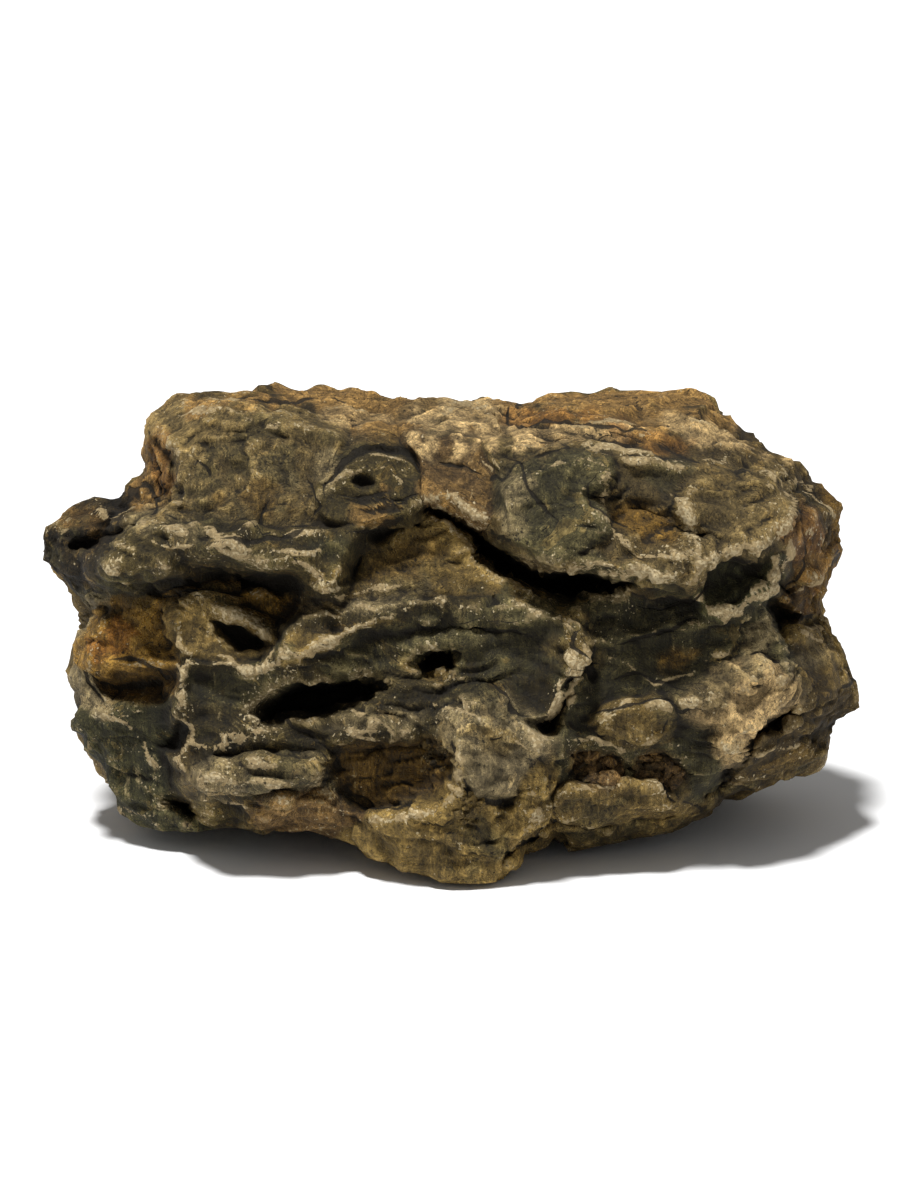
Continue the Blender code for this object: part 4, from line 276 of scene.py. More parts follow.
SLABS = {name: Slab(*slab) for name, slab in {
    "left_lobe": (20, 0.02, 0.1, 0.8, 3, 3, 1.2, [-126, 95, -126, 102, -122, 107, -115, 110, -111, 116,
        -101, 117, -93, 122, -88, 116, -92, 107, -97, 103, -99, 97, -101, 91, -104, 86, -108, 80, -113, 83,
        -116, 90]),
    "left_cheek": (25, 0.05, 0.15, 0.6, 3, 2, 1.3, [-96, 114, -97, 126, -94, 134, -92, 142, -84, 140,
        -80, 133, -80, 112, -88, 108]),
    "brow": (42, -0.22, -0.02, 1.2, 3, 2, 4, [-86, 134, -83, 139, -79, 142.5, -71, 143, -64, 142.5,
        -58, 140, -50, 137, -42, 135, -34, 133.5, -31, 131, -34, 125, -39, 118, -40, 111, -30, 105, -24, 104,
        -60, 101, -92, 99, -93, 104, -84, 110.5, -81, 117, -81.5, 124, -83, 130]),
    "top_back_left": (10, -1.7, 0, 0.5, 4, 1.5, 1, [-92, 138, -86, 141, -80, 143, -64, 143.5, -50, 138,
        -32, 133, -12, 132, 10, 131, 18, 138, 18, 152, -40, 158, -92, 154]),
    "lip": (52, -0.2, 0, 0.6, 3, 3, 3.2, [-101, 95, -98, 100, -92, 105, -84, 107.5, -70, 105.5, -56, 104,
        -40, 104.5, -28, 106, -22.5, 106, -27, 102.5, -30, 99.5, -30.5, 95, -32, 89, -36, 87.5, -40, 86.5,
        -43, 90, -45, 92.5, -50, 93.5, -56, 95.5, -60, 98, -68, 98.7, -76, 97.8, -82, 97.5, -83, 94.5,
        -88, 93.5, -94, 92.5, -96, 95, -100, 93]),
    "left_panel": (33, -0.3, 0.02, 1.4, 2.5, 1, 2.6, [-101, 92, -104, 86, -109, 77, -112.5, 69,
        -110, 65.5, -104, 64.3, -98, 65.5, -90, 66.5, -80, 66.5, -73, 67, -66, 65.5, -58, 62.5, -50, 66,
        -44, 74, -34, 84, -40, 90, -60, 95, -80, 96, -97, 95]),
    "flake": (42, -0.12, -0.05, 0.9, 2, 1, 2.5, [-79, 83, -75, 85, -71, 84.5, -64, 80, -56, 76.5, -52, 73,
        -50.5, 69, -53, 64.5, -57, 62.8, -63, 64.2, -68, 67, -73, 68, -79, 70, -81, 77]),
    "left_edge": (30, 0, 0.25, 1, 3, 2, 1.5, [-103, 88, -107, 86, -112, 76, -117, 64, -114, 54, -103, 50,
        -108, 58, -110, 64, -107, 75, -102, 86]),
    "left_lower": (29, 0.14, 0.12, 0.5, 3, 3, 1.5, [-118, 51, -110, 53, -103, 51.5, -97, 51.5, -92, 53.5,
        -84, 56, -78, 56, -77, 42, -82, 34, -84, 26, -90, 14, -104, 18, -104, 30, -113, 42]),
    "left_foot": (31, -0.1, 0.1, 0.6, 2.5, 2, 1.6, [-104, 24, -99, 17, -86, 13, -70, 11, -60, 9.5,
        -54, 13, -50, 16, -56, 18.5, -66, 17.5, -76, 17.5, -86, 18.5, -94, 20]),
    "left_shelf": (36, 0.1, 0.05, 0.6, 2, 1.5, 2, [-77, 28, -73, 24, -73, 19, -66, 17, -56, 16, -50, 16,
        -52, 21, -60, 24, -68, 28, -74, 31]),
    "central_slab": (47, 0.03, 0.05, 0.9, 2.2, 1.5, 4, [-79, 67, -80, 60, -79.5, 56, -82, 51, -82.5, 48.5,
        -78, 48, -75.5, 46.5, -77, 43.5, -79.5, 41.5, -82.5, 38.5, -80, 35, -76, 31.5, -70, 27.5, -62, 24.5,
        -54, 20, -46, 14.5, -36, 15.5, -28, 12, -10, 8, 8, 20, 26, 44, 33, 58, 38, 66, 40, 74, 30, 80, 10, 82,
        -15, 84, -40, 82, -52, 70, -58, 63.5, -66, 66]),
    "forehead": (45, -0.36, 0.03, 1.2, 2.2, 1, 3, [-33, 100, -25, 103, -14, 105, -8, 109, -1, 107, 3, 102,
        7, 97, 12, 92, 17, 90, 22, 87, 28, 84.5, 34, 84, 40, 83, 36, 77.5, 26, 76, 14, 75, 6, 77, -6, 78,
        -15, 77.5, -24, 76.5, -33, 74, -41, 70.5, -48, 67, -51, 68.5, -46, 75, -38, 84, -32, 89]),
    "eye": (47.5, -0.28, 0, 1, 3.5, 3, 3, [-39, 114, -37.5, 120, -33, 125.5, -28, 128.3, -21, 129,
        -14, 127.5, -10.5, 123, -9, 118, -9.5, 113.5, -12, 110, -17, 107.7, -24, 107, -32, 107, -38, 109]),
    "purple": (49, -0.22, 0.05, 0.5, 2.5, 2, 3.5, [-12, 131, -2, 132, 5, 131, 9, 127.5, 12.5, 122,
        13.5, 117, 13, 111, 10, 108.5, 7, 109.5, 3, 113, -1, 115.5, -5, 115, -9, 114, -8.5, 119, -9, 124]),
    "neck": (34, -1.1, 0, 0.8, 3, 2, 2, [-12, 132, -10, 137, -4, 142, 4, 143.5, 12, 142, 14, 136, 22, 131,
        34, 127, 30, 118, 14, 120, 10, 128, 2, 132]),
    "big_lip": (56, -0.24, 0, 1.2, 3, 2.5, 4, [11, 131, 12.5, 124, 13, 118, 14.5, 113, 11, 110.5,
        13.5, 107, 17, 102, 20, 99, 24, 95.5, 29, 93.5, 34, 93.2, 41, 93.3, 46, 91.5, 52, 91, 57, 89.5,
        63, 89.8, 68, 88.5, 71, 88.5, 74, 92.5, 79, 97, 86, 99, 94, 100.5, 97, 105, 99, 110, 98, 117, 95, 121,
        86, 123, 70, 124, 58, 125.5, 46, 126.5, 34, 127.5, 22, 131]),
    "boulder": (60, -0.1, -0.02, 0.8, 3.5, 3, 2.2, [14, 116.5, 20, 120.5, 30, 123.5, 40, 124.5, 47, 123,
        45.5, 118, 41, 116.5, 38, 113, 43, 109, 44.5, 105, 41, 100.5, 34, 97.5, 27, 97, 21, 100, 17, 107]),
    "right_brow": (57, -0.18, -0.05, 0.8, 3, 2.5, 1.8, [66, 110, 69, 118, 76, 121, 88, 121, 96, 118.5,
        98, 111, 96, 104, 90, 101, 82, 101.5, 76, 105, 70, 107]),
    "green_cup": (49, -0.05, 0.04, 1.8, 2.5, 1, 3, [72, 88, 74.5, 92, 79, 97, 86, 99.5, 93, 100, 97, 98,
        96, 93.5, 92.5, 88, 89, 84.8, 83, 82.5, 77, 80.5, 73, 82]),
    "right_cheek": (31, -0.05, -0.28, 0.8, 3, 2.5, 1.8, [95, 125, 102, 128, 110, 121, 119, 118, 123, 112,
        120, 98, 118, 88, 113, 83, 114, 79, 108, 78, 103, 80.5, 99, 84, 95, 88, 96.5, 95, 98, 104, 97, 114]),
    "cheek_plate": (36, -0.1, -0.2, 0.8, 2, 1.5, 2.2, [101, 101, 106, 101.5, 113, 100, 116, 98, 112, 92,
        108, 89.5, 103, 92, 99, 96]),
    "cheek_block": (37, 0, -0.22, 0.8, 1.6, 1.2, 2.2, [99, 110.5, 104, 109.8, 106.5, 111, 105.5, 114.5,
        101, 114, 98.5, 113]),
    "cave_floor": (44, -0.42, 0, 0.8, 2, 1, 2.2, [20, 87.5, 28, 85, 36, 85, 44, 85.5, 50, 87.5, 56, 88.5,
        64, 89.5, 72, 89, 74.5, 85, 76, 81.5, 70, 78.5, 62, 75.5, 55, 73.5, 46, 72.3, 40, 73, 36, 70, 34, 80,
        24, 84]),
    "right_slab": (47, -0.06, 0.02, 1.2, 3, 2, 3.5, [38, 66, 42, 71, 50, 72.7, 56, 73.3, 62, 75.2, 70, 78,
        78, 80.2, 85, 83, 90, 85, 92, 81, 94.5, 76, 97, 70, 99.5, 62, 101, 57, 98, 54, 92.5, 51.5, 89.5, 48,
        86.5, 43, 83.5, 39, 79.5, 37, 76, 32.5, 72.5, 28.5, 68.5, 24.5, 66.5, 22.5, 60, 22.8, 54, 22.5,
        49, 20.5, 42, 18, 36, 18.7, 31, 21, 26.5, 28, 25, 38, 25, 44, 31, 51, 35, 58]),
    "crust_ridge": (52, -0.05, -0.08, 0.6, 5, 4, 1.2, [64, 53.5, 72, 55, 80, 59, 86, 63.5, 91, 65.5,
        97, 61.5, 101, 57, 97, 53, 91, 50, 88, 45, 84, 40, 80, 38.5, 80, 44, 80, 50, 72, 51.5]),
    "lens": (52, 0.1, 0, 0.4, 4, 4, 2.2, [43, 47.5, 47, 50.5, 52, 53.5, 57, 54.8, 61, 54.2, 64.5, 50.5,
        65, 45, 61, 43.8, 55, 43, 49, 44]),
    "tan_belly": (53, 0.12, -0.02, 0.6, 3, 2.5, 3.5, [30, 25, 32, 20.5, 36, 18.6, 42, 17.9, 48, 19.8,
        54, 22.3, 60, 22.6, 66, 22.3, 69, 25, 66, 28, 56, 29, 44, 29, 34, 29]),
    "keel": (57, 0.1, 0.02, 0.8, 5, 4.5, 3, [-34, 12, -22, 6, -10, 1, 2, -4, 12, -3, 16, 6, 20, 12,
        26, 17, 29, 22, 28, 32, 24, 42, 16, 49, 2, 49.5, 2, 38, 4, 32, -4, 24, -14, 20.5, -26, 20]),
    "saddle": (60, -0.05, 0.02, 0.5, 5, 4, 1.2, [2, 48.5, 6, 50, 14, 51, 20, 49.5, 26, 44, 24, 38, 18, 31,
        10, 28, 5, 31, 4, 38]),
    "under_lip": (53, 0.2, 0, 0.6, 2.5, 2, 2, [-55, 20, -52, 25, -45, 26.5, -38, 25, -33, 22, -26, 20.5,
        -26, 16, -34, 15, -45, 14.5, -50, 17]),
    "ledge_rib": (52, 0.15, 0, 0.5, 2.2, 2, 2.6, [-77, 33, -70, 35.5, -60, 35, -50, 36, -42, 38, -39, 34,
        -41, 30.5, -50, 30, -60, 29.5, -68, 29, -73, 30]),
    "right_lobe": (35, 0, -0.25, 0.8, 3, 2, 1.8, [97, 72, 100, 75, 106, 77, 113, 78, 119, 72, 118, 66,
        116, 60, 112, 58, 106, 56.5, 100, 56, 99, 62]),
    "right_tip": (24, 0, -0.2, 0.6, 3, 2, 1.5, [112, 68, 120, 68, 126, 60, 124, 52, 116, 47, 111, 52,
        111, 60]),
    "right_rib": (27, -0.1, -0.1, 0.8, 2, 1.5, 1.8, [101, 54, 106, 56, 112, 54, 116, 48, 116, 38, 110, 42,
        106, 46, 102, 48]),
    "right_foot": (35, 0.1, -0.12, 0.8, 2.5, 2, 2, [86, 36.5, 93, 38.5, 101, 39.5, 108, 38, 115, 41,
        116, 34, 108, 29, 98, 27, 88, 24, 84, 30]),
    "rear_ledge": (32, 0, -0.05, 0.8, 2.5, 2, 1.8, [30, 18, 33, 14, 44, 9, 58, 11, 72, 13, 80, 17, 83, 26,
        78, 30, 72, 26, 60, 21.5, 46, 17]),
    "keel_ledge": (38, 0, 0, 0.5, 2, 1.5, 2, [12, 4, 16, 0, 22, 4, 27, 8, 31, 14, 32, 19, 26, 16,
        20, 11.5]),
    "top_right": (8, -2, 0, 0.8, 4, 1.5, 1, [18, 133, 22, 131.5, 34, 131.5, 46, 132, 58, 135, 70, 137,
        80, 138, 86, 142, 84, 152, 60, 158, 30, 156, 16, 150]),
    "top_step": (32, -1.1, -0.02, 0.9, 2, 1.5, 3, [20, 131, 34, 127.5, 50, 126, 62, 125, 76, 123.5,
        88, 122, 95, 122, 97, 130, 90, 137, 82, 138, 68, 136.5, 58, 134, 46, 131.5, 34, 131]),
}.items()}

HOLLOWS = {name: Hollow(*hollow) for name, hollow in {
    "lobe_slot": (10, 2, 0.3, 0.3, [-114.5, 102.5, -112, 104.5, -105, 106.5, -98, 107.3, -93, 107.3,
        -95, 104.5, -98, 101, -105, 100, -113, 99]),
    "cheek_crack": (8, 1.2, 0, 0.1, [-88, 131.5, -86, 134, -83.5, 131, -82, 126, -81, 118, -82, 114,
        -84, 119, -84, 126, -86, 129]),
    "cheek_crack2": (3.5, 1, 0, 0.1, [-88, 125, -84, 125.5, -87, 121, -86, 114, -88.5, 112, -89, 120]),
    "under_lip_left": (7, 3, 0.6, 0, [-96, 91.5, -90, 92.5, -83, 93.5, -80, 91, -79, 87, -86, 84,
        -95, 85]),
    "under_lip_mid": (4, 2, 0.4, 0, [-72, 97.5, -60, 97, -58, 94, -66, 88, -74, 91, -80, 95]),
    "under_lip_right": (12, 2.5, 0.5, 0, [-64, 96, -56, 96, -50, 93.5, -44, 91.5, -40, 86.5, -44, 84,
        -52, 85.5, -60, 87.5, -66, 91]),
    "curl_pit": (11, 2, -0.2, 0.2, [-71, 80.5, -66, 79, -60, 75.5, -54.5, 75, -53.3, 71, -57, 68.3,
        -62, 68.3, -66, 71.5, -70, 76]),
    "curl_scoop": (5, 2.5, 0.3, 0, [-70, 70, -64, 70, -58, 68, -54, 70, -53, 66.5, -57, 64.5, -63, 65.8,
        -68, 68.5]),
    "left_pocket": (3.5, 2.5, 0.9, 0.2, [-109, 64, -103, 64, -95, 65.5, -86, 66, -80, 65.5, -79.5, 60,
        -80.5, 56, -86, 55.3, -93, 53.5, -100, 54.5, -106, 57.5]),
    "cliff_notch": (16, 1.5, 0, 0, [-88, 42.5, -85, 40.5, -80, 38.5, -79, 43, -76.5, 46.5, -78, 48.5,
        -81, 48, -83, 44, -86, 41.5]),
    "cliff_hole": (24, 2, 0, 0.2, [-86, 23.5, -83, 25.5, -79, 25.8, -76, 24.5, -73.5, 21, -74, 19,
        -78, 18, -82, 19, -85, 20.5]),
    "slot": (32, 1.6, 0, 0.4, [-57, 51, -54, 53.5, -51, 56.5, -47, 58.5, -40, 59.5, -32, 61.3,
        -26, 62.3, -22, 62, -20, 59.5, -21.5, 57.5, -23, 55, -28, 53.5, -34, 51.5, -41, 50.3, -47, 50,
        -50, 47.5, -53, 46, -55, 48]),
    "window": (28, 1.2, 0, 0.3, [-10.5, 66, -9, 68, -6.5, 68.8, -3, 68.2, 0, 68.8, 0.6, 65, 0, 62.3,
        -3.5, 62.5, -8, 62.3, -9.5, 64]),
    "window_sill": (2.5, 2, 0.3, 0.1, [-10, 64, 0, 63, 0, 61, -5, 58.5, -9, 61]),
    "oval_pit": (4.5, 3.5, 0.35, 0.5, [-37.5, 39, -34.5, 42.5, -28, 43.5, -20, 47, -12, 47.7, -5, 47,
        -1, 44.5, 1.5, 40, 3, 35.5, 0, 31, -4, 26, -12, 22.7, -20, 21.3, -29, 22, -32.5, 26, -36, 31.5]),
    "oval_deep": (2.5, 3, 0, 0, [-12, 46, -5, 46, -0.5, 43, 2.5, 35.5, -1, 34, -6, 40, -14, 41,
        -24, 38.5, -26, 41, -20, 45]),
    "long_cave": (38, 1.6, 0, 0, [-10, 111.3, -6, 112.3, -1, 111.8, 3, 109.8, 6, 107.5, 11, 106,
        13.5, 103, 17, 101, 21, 97.5, 25, 94.8, 31, 93.2, 38, 93.6, 44, 91.8, 50, 91, 54, 90.3, 57, 89.3,
        53, 87.5, 47, 86.3, 42, 84.8, 36, 84.2, 30, 84.5, 26, 86, 22, 87, 19, 89.5, 15.5, 91.8, 12, 93,
        9, 95.5, 6, 98.5, 3.5, 102, 1, 105, -2, 108, -6, 109.8]),
    "cave_crack": (10, 1.2, 0, 0, [54, 90.3, 60, 90, 63, 89.3, 60, 88.4, 54, 88.2]),
    "eye_shadow": (9, 2, 0.5, 0, [-24, 105.5, -16, 107, -8, 108.3, -8, 106.8, -14, 105, -16, 102.5,
        -21, 101, -26, 102]),
    "hook_shadow": (5, 1.6, 0, 0, [-31, 99.5, -28.5, 100, -25, 97.5, -26, 93, -31, 87.5, -36, 84.5,
        -40, 83.5, -41, 85.5, -35, 87, -31.5, 90]),
    "eye_ring": (6, 1.4, 0.4, 0, [-38, 118, -34, 124.5, -29, 128, -22, 130.2, -15, 129.5, -11.5, 126.5,
        -9, 121, -8, 115.5, -9.4, 115.5, -10.5, 120.5, -13, 125.5, -18, 127.6, -24, 127.8, -29, 126.5,
        -33, 123, -36.5, 117]),
    "eye_pit": (4.5, 1.6, 0, 0.5, [-30.5, 119, -29.5, 121.5, -27, 122.6, -23.5, 121.5, -21.5, 119,
        -24, 118, -28, 117.8]),
    "scoop": (3.5, 4.5, 0.4, 0.5, [45, 106, 45.5, 110, 50, 114, 57, 114.5, 64, 112, 68, 108, 68.5, 103,
        66.5, 99, 58, 99.5, 51, 101.5, 47, 103.5]),
    "small_bite": (3, 1.2, 0.6, 0.2, [69.8, 104, 71.5, 105.3, 74.5, 105, 75.8, 103, 74.5, 101,
        71, 101]),
    "beak_gap": (3, 1.2, 0, 0.1, [44, 112.5, 44.5, 114.5, 48, 115.3, 52.5, 117, 54, 120, 53, 115.5,
        50, 112.5]),
    "cup_bowl": (3.5, 7, 0.4, 0, [73, 87.5, 75.5, 92, 80, 96.5, 86, 98.7, 93, 99, 95.5, 96.5, 93.5, 91,
        90, 87, 84, 84.5, 78, 82.5]),
    "right_gap": (11, 3, 0, 0, [91, 84.5, 95, 86.5, 99, 84, 104, 81, 108, 79, 103, 77.5, 97, 75.5,
        95, 77.5, 92.5, 81]),
    "right_cleft": (9, 1.6, 0, 0, [97, 99, 96.5, 94, 99, 88, 103, 87, 104, 84, 99, 84.5, 95, 88,
        95.5, 94]),
    "crumb_left": (4.5, 2.5, 0.5, 0.3, [31, 41, 36, 42, 44, 42, 48, 40.5, 51, 38.5, 52, 34, 50, 28,
        44, 25.5, 38, 27, 34.5, 32, 33, 37]),
    "crumb_right": (4, 2.5, 0.5, 0.2, [53, 38, 54.5, 40, 58, 41.3, 64, 40, 69, 36.5, 70.5, 33,
        69.5, 29.5, 66, 26, 62, 28, 56, 28, 53, 31]),
    "crumb_cleft": (6, 1.2, 0, 0, [50.5, 36, 53, 37, 55, 34, 53, 32.5, 50.5, 33]),
    "right_slot": (20, 1.4, 0, 0.2, [20.5, 49.3, 25, 48.2, 28, 49.3, 31, 51.5, 33.5, 57.5, 35, 56.5,
        33.5, 52, 31, 46, 29.5, 44, 26, 44, 24, 46.5]),
    "under_crust": (18, 2.5, 0, 0, [101, 54.5, 97, 52, 92.5, 50, 90, 46.5, 86.5, 41, 84.5, 37.5, 80, 35,
        76, 30.5, 73, 27, 77, 26, 82, 28.5, 84, 33, 88, 38.5, 92, 42.5, 98, 44, 103, 47.5, 103, 52]),
    "under_belly": (12, 1.5, 0, 0, [31.5, 20, 36, 18.2, 42, 17.4, 48, 19.2, 54, 21.8, 60, 22, 66, 21.6,
        70, 23, 66, 19.5, 58, 19.5, 50, 17, 42, 15.8, 34, 16.5]),
    "keel_gap": (14, 1, 0, 0, [13, 4.5, 15, 8.5, 18, 11.2, 24, 13.5, 26.5, 17, 31, 20.5, 32.5, 18.8,
        28.5, 16, 25, 12, 19, 10, 15, 6]),
    "keel_pit": (4, 1.6, 0.5, 0.3, [3.5, 20, 5, 22, 8, 22.3, 9.5, 20, 7, 18.3, 4.5, 18.4]),
    "keel_fold": (3.5, 2.5, 0.3, 0, [3, 14.5, 7, 15, 12, 16.5, 16, 18, 20, 19, 16, 15.5, 12, 11.5,
        10, 13.5, 6, 13]),
    "saddle_scoop": (5, 3.5, 0.2, 0.3, [5, 25, 7, 28.5, 14, 30, 20, 31, 22, 28, 18, 22, 14, 19, 14, 24,
        9, 27]),
    "shadow_groove": (2.5, 2.2, 0.6, 0, [-44, 68.5, -36, 72, -26, 74.7, -15, 76, -4, 77, 5, 77.6,
        9, 75.5, 0, 73.5, -12, 72, -24, 70, -34, 67, -42, 65.5]),
    "ridge_dip": (2, 3, 0.3, 0.1, [-78, 64, -66, 64.5, -56, 61.5, -52, 58, -60, 52, -72, 52, -78, 56]),
    "belly_fold": (2.5, 2, 0.5, 0.1, [-52, 29.8, -46, 29.8, -40, 30, -38, 27, -34, 24, -40, 26,
        -46, 27.5, -52, 26.5]),
    "top_notch": (6, 2, 0, 0.2, [13.5, 134, 15, 138, 18, 138, 21.5, 133, 22, 130.5, 17.5, 131.3,
        15, 132]),
    "top_cave": (4.5, 1.5, 0.4, 0.2, [40, 130.5, 45, 132.5, 50, 134, 57, 134, 56.5, 131.5, 50, 131,
        44, 130.5]),
    "top_cave2": (4, 1.5, 0.4, 0.2, [24, 130.5, 30, 132, 37, 132, 41, 130, 34, 129, 28, 129.3]),
    "neck_hole": (3.5, 1.5, 0.4, 0.2, [-6, 135.3, -4, 137.5, 0, 138, 0.5, 136.3, -3, 135]),
    "neck_fold": (3, 2.5, 0.4, 0.2, [-17, 134.5, -12, 138.5, -6, 141, -5, 138, -8, 135, -13, 134]),
}.items()}

RIDGES = [Ridge(*ridge) for ridge in [
    (3.0, 2, [-81, 140, -73, 141, -63, 138, -56, 135, -42, 134.5, -28, 132, -13, 131]),
    (2.7, 2.6, [-12, 131, -6, 135.5, 2, 142, 9, 144]),
    (3.5, 2.3, [-96, 103, -84, 106, -72, 103.5, -60, 101, -50, 99, -41, 98, -34, 101, -29, 105]),
    (3.3, 2, [-99, 98, -90, 100.5, -78, 99.5, -66, 101, -54, 97, -45, 95, -38, 91, -34, 88.5]),
    (3.5, 2.3, [-94, 105, -97, 96, -101, 87, -105, 77, -108, 69, -108.5, 63, -104, 55, -99, 51]),
    (3.3, 1.6, [-108, 66, -99, 65.5, -91, 67, -81, 67, -79, 63, -80, 58, -77, 51, -80.5, 49]),
    (3.5, 2.9, [-58, 57, -49, 63, -44, 68, -37, 72.5, -27, 77, -16, 80, -5, 82.5, 8, 84.5]),
    (2.5, 2.6, [-54, 79, -45, 83, -36, 86, -26, 87.5, -15, 88, -5, 86.5, 4, 88]),
    (3.0, 1.4, [-73, 84, -65, 82.5, -57, 79, -52.5, 75.5]),
    (2.7, 1.4, [-72, 70, -64, 66, -57, 63.5, -50, 66.5, -46, 72]),
    (3.0, 2.6, [2, 110, 9, 103, 15, 98.5, 24, 96, 35, 95, 45, 93, 55, 91.5, 64, 92, 73, 95]),
    (3.3, 2.3, [44, 124, 46, 117, 44, 109, 47.5, 102, 55, 98, 63, 97, 69, 97.5, 74, 101]),
    (2.7, 2.3, [58, 121, 64, 115.5, 69, 109, 71, 101, 73, 95, 79, 98, 88, 101, 95, 107]),
    (3.3, 2.3, [94, 129, 98.5, 122, 99.5, 114, 97, 106, 97.5, 96, 93, 87, 86, 82.5, 76, 80, 66, 78]),
    (3.5, 2, [34, 81, 36, 74, 34.5, 67, 37.5, 62, 34.5, 56, 30, 50, 26, 45.5, 24, 38, 26, 30]),
    (3.3, 2.3, [-38, 41, -28, 45.5, -17, 48.5, -6, 49, 0, 46.5, 3.5, 38, 1, 31, -4, 25]),
    (3.3, 2, [-80, 40, -74, 34, -64, 31.5, -54, 31, -45, 31, -39, 34, -37, 28, -33, 22]),
    (2.5, 2.6, [-50, 47, -58, 44, -66, 41, -74, 42, -80, 46]),
    (2.5, 2.6, [-38, 56, -26, 50.5, -14, 50.5, -4, 53, 4, 52, 14, 48, 20, 43]),
    (2.5, 2, [-72, 27, -62, 24, -54, 20, -46, 16.5, -34, 17, -24, 14]),
    (3.0, 2.6, [2, 44, 9, 42, 15, 36, 22, 33, 26, 26, 24, 18, 17, 9, 8, 4]),
    (3.0, 2, [28, 36, 33, 43, 42, 44, 50, 41, 58, 43, 66, 41, 72, 36, 70, 28, 64, 22.5]),
    (2.5, 1.6, [41, 47, 47, 51.5, 55, 55.5, 63, 53, 66, 47]),
    (4.1, 2.3, [96, 74, 99, 64, 97, 56, 91, 50, 86.5, 44.5, 81, 40, 77, 35, 72, 30, 68, 25]),
    (2.7, 2.6, [64, 51, 72, 53, 80, 56, 88, 61, 96, 65]),
    (2.5, 2.6, [40, 70, 50, 66, 60, 60, 70, 62, 80, 68, 90, 70]),
    (2.7, 2, [-122, 100, -116, 107, -108, 111, -100, 110, -93, 112]),
    (2.5, 2, [-121, 97, -113, 96, -105, 97, -99, 94]),
    (2.2, 2, [-112, 50, -104, 50, -97, 48, -92, 43, -89, 36, -87, 28]),
    (2.2, 1.3, [-39, 112, -36, 119, -30, 125, -22, 128, -14, 126.5, -11, 120]),
    (1.9, 1.3, [-34, 113, -31, 119.5, -25, 124, -18, 123, -15, 118, -18, 113]),
    (2.5, 1.6, [-40, 106, -30, 105.5, -20, 107, -10, 110, -3, 113, 4, 110]),
    (2.7, 2, [18, 128, 30, 129, 44, 128, 56, 127, 68, 126, 80, 125.5, 90, 124]),
    (2.7, 1.6, [24, 133.5, 36, 134.5, 46, 137, 56, 138.5, 66, 138, 76, 138.5, 84, 137]),
    (2.5, 1.6, [-84, 143, -72, 145.5, -60, 144, -50, 144.5, -40, 142, -28, 141, -16, 140]),
    (2.5, 2, [99, 104, 107, 104, 114, 102, 118, 97]),
    (2.5, 2, [100, 120, 107, 116.5, 113, 112, 118, 107]),
    (2.5, 2, [99, 84, 106, 88, 112, 90, 116, 94]),
    (2.7, 2, [98, 73, 106, 75, 113, 72, 117, 64, 121, 57]),
    (2.5, 2, [84, 36, 92, 39, 101, 41, 109, 39, 114, 43]),
]]

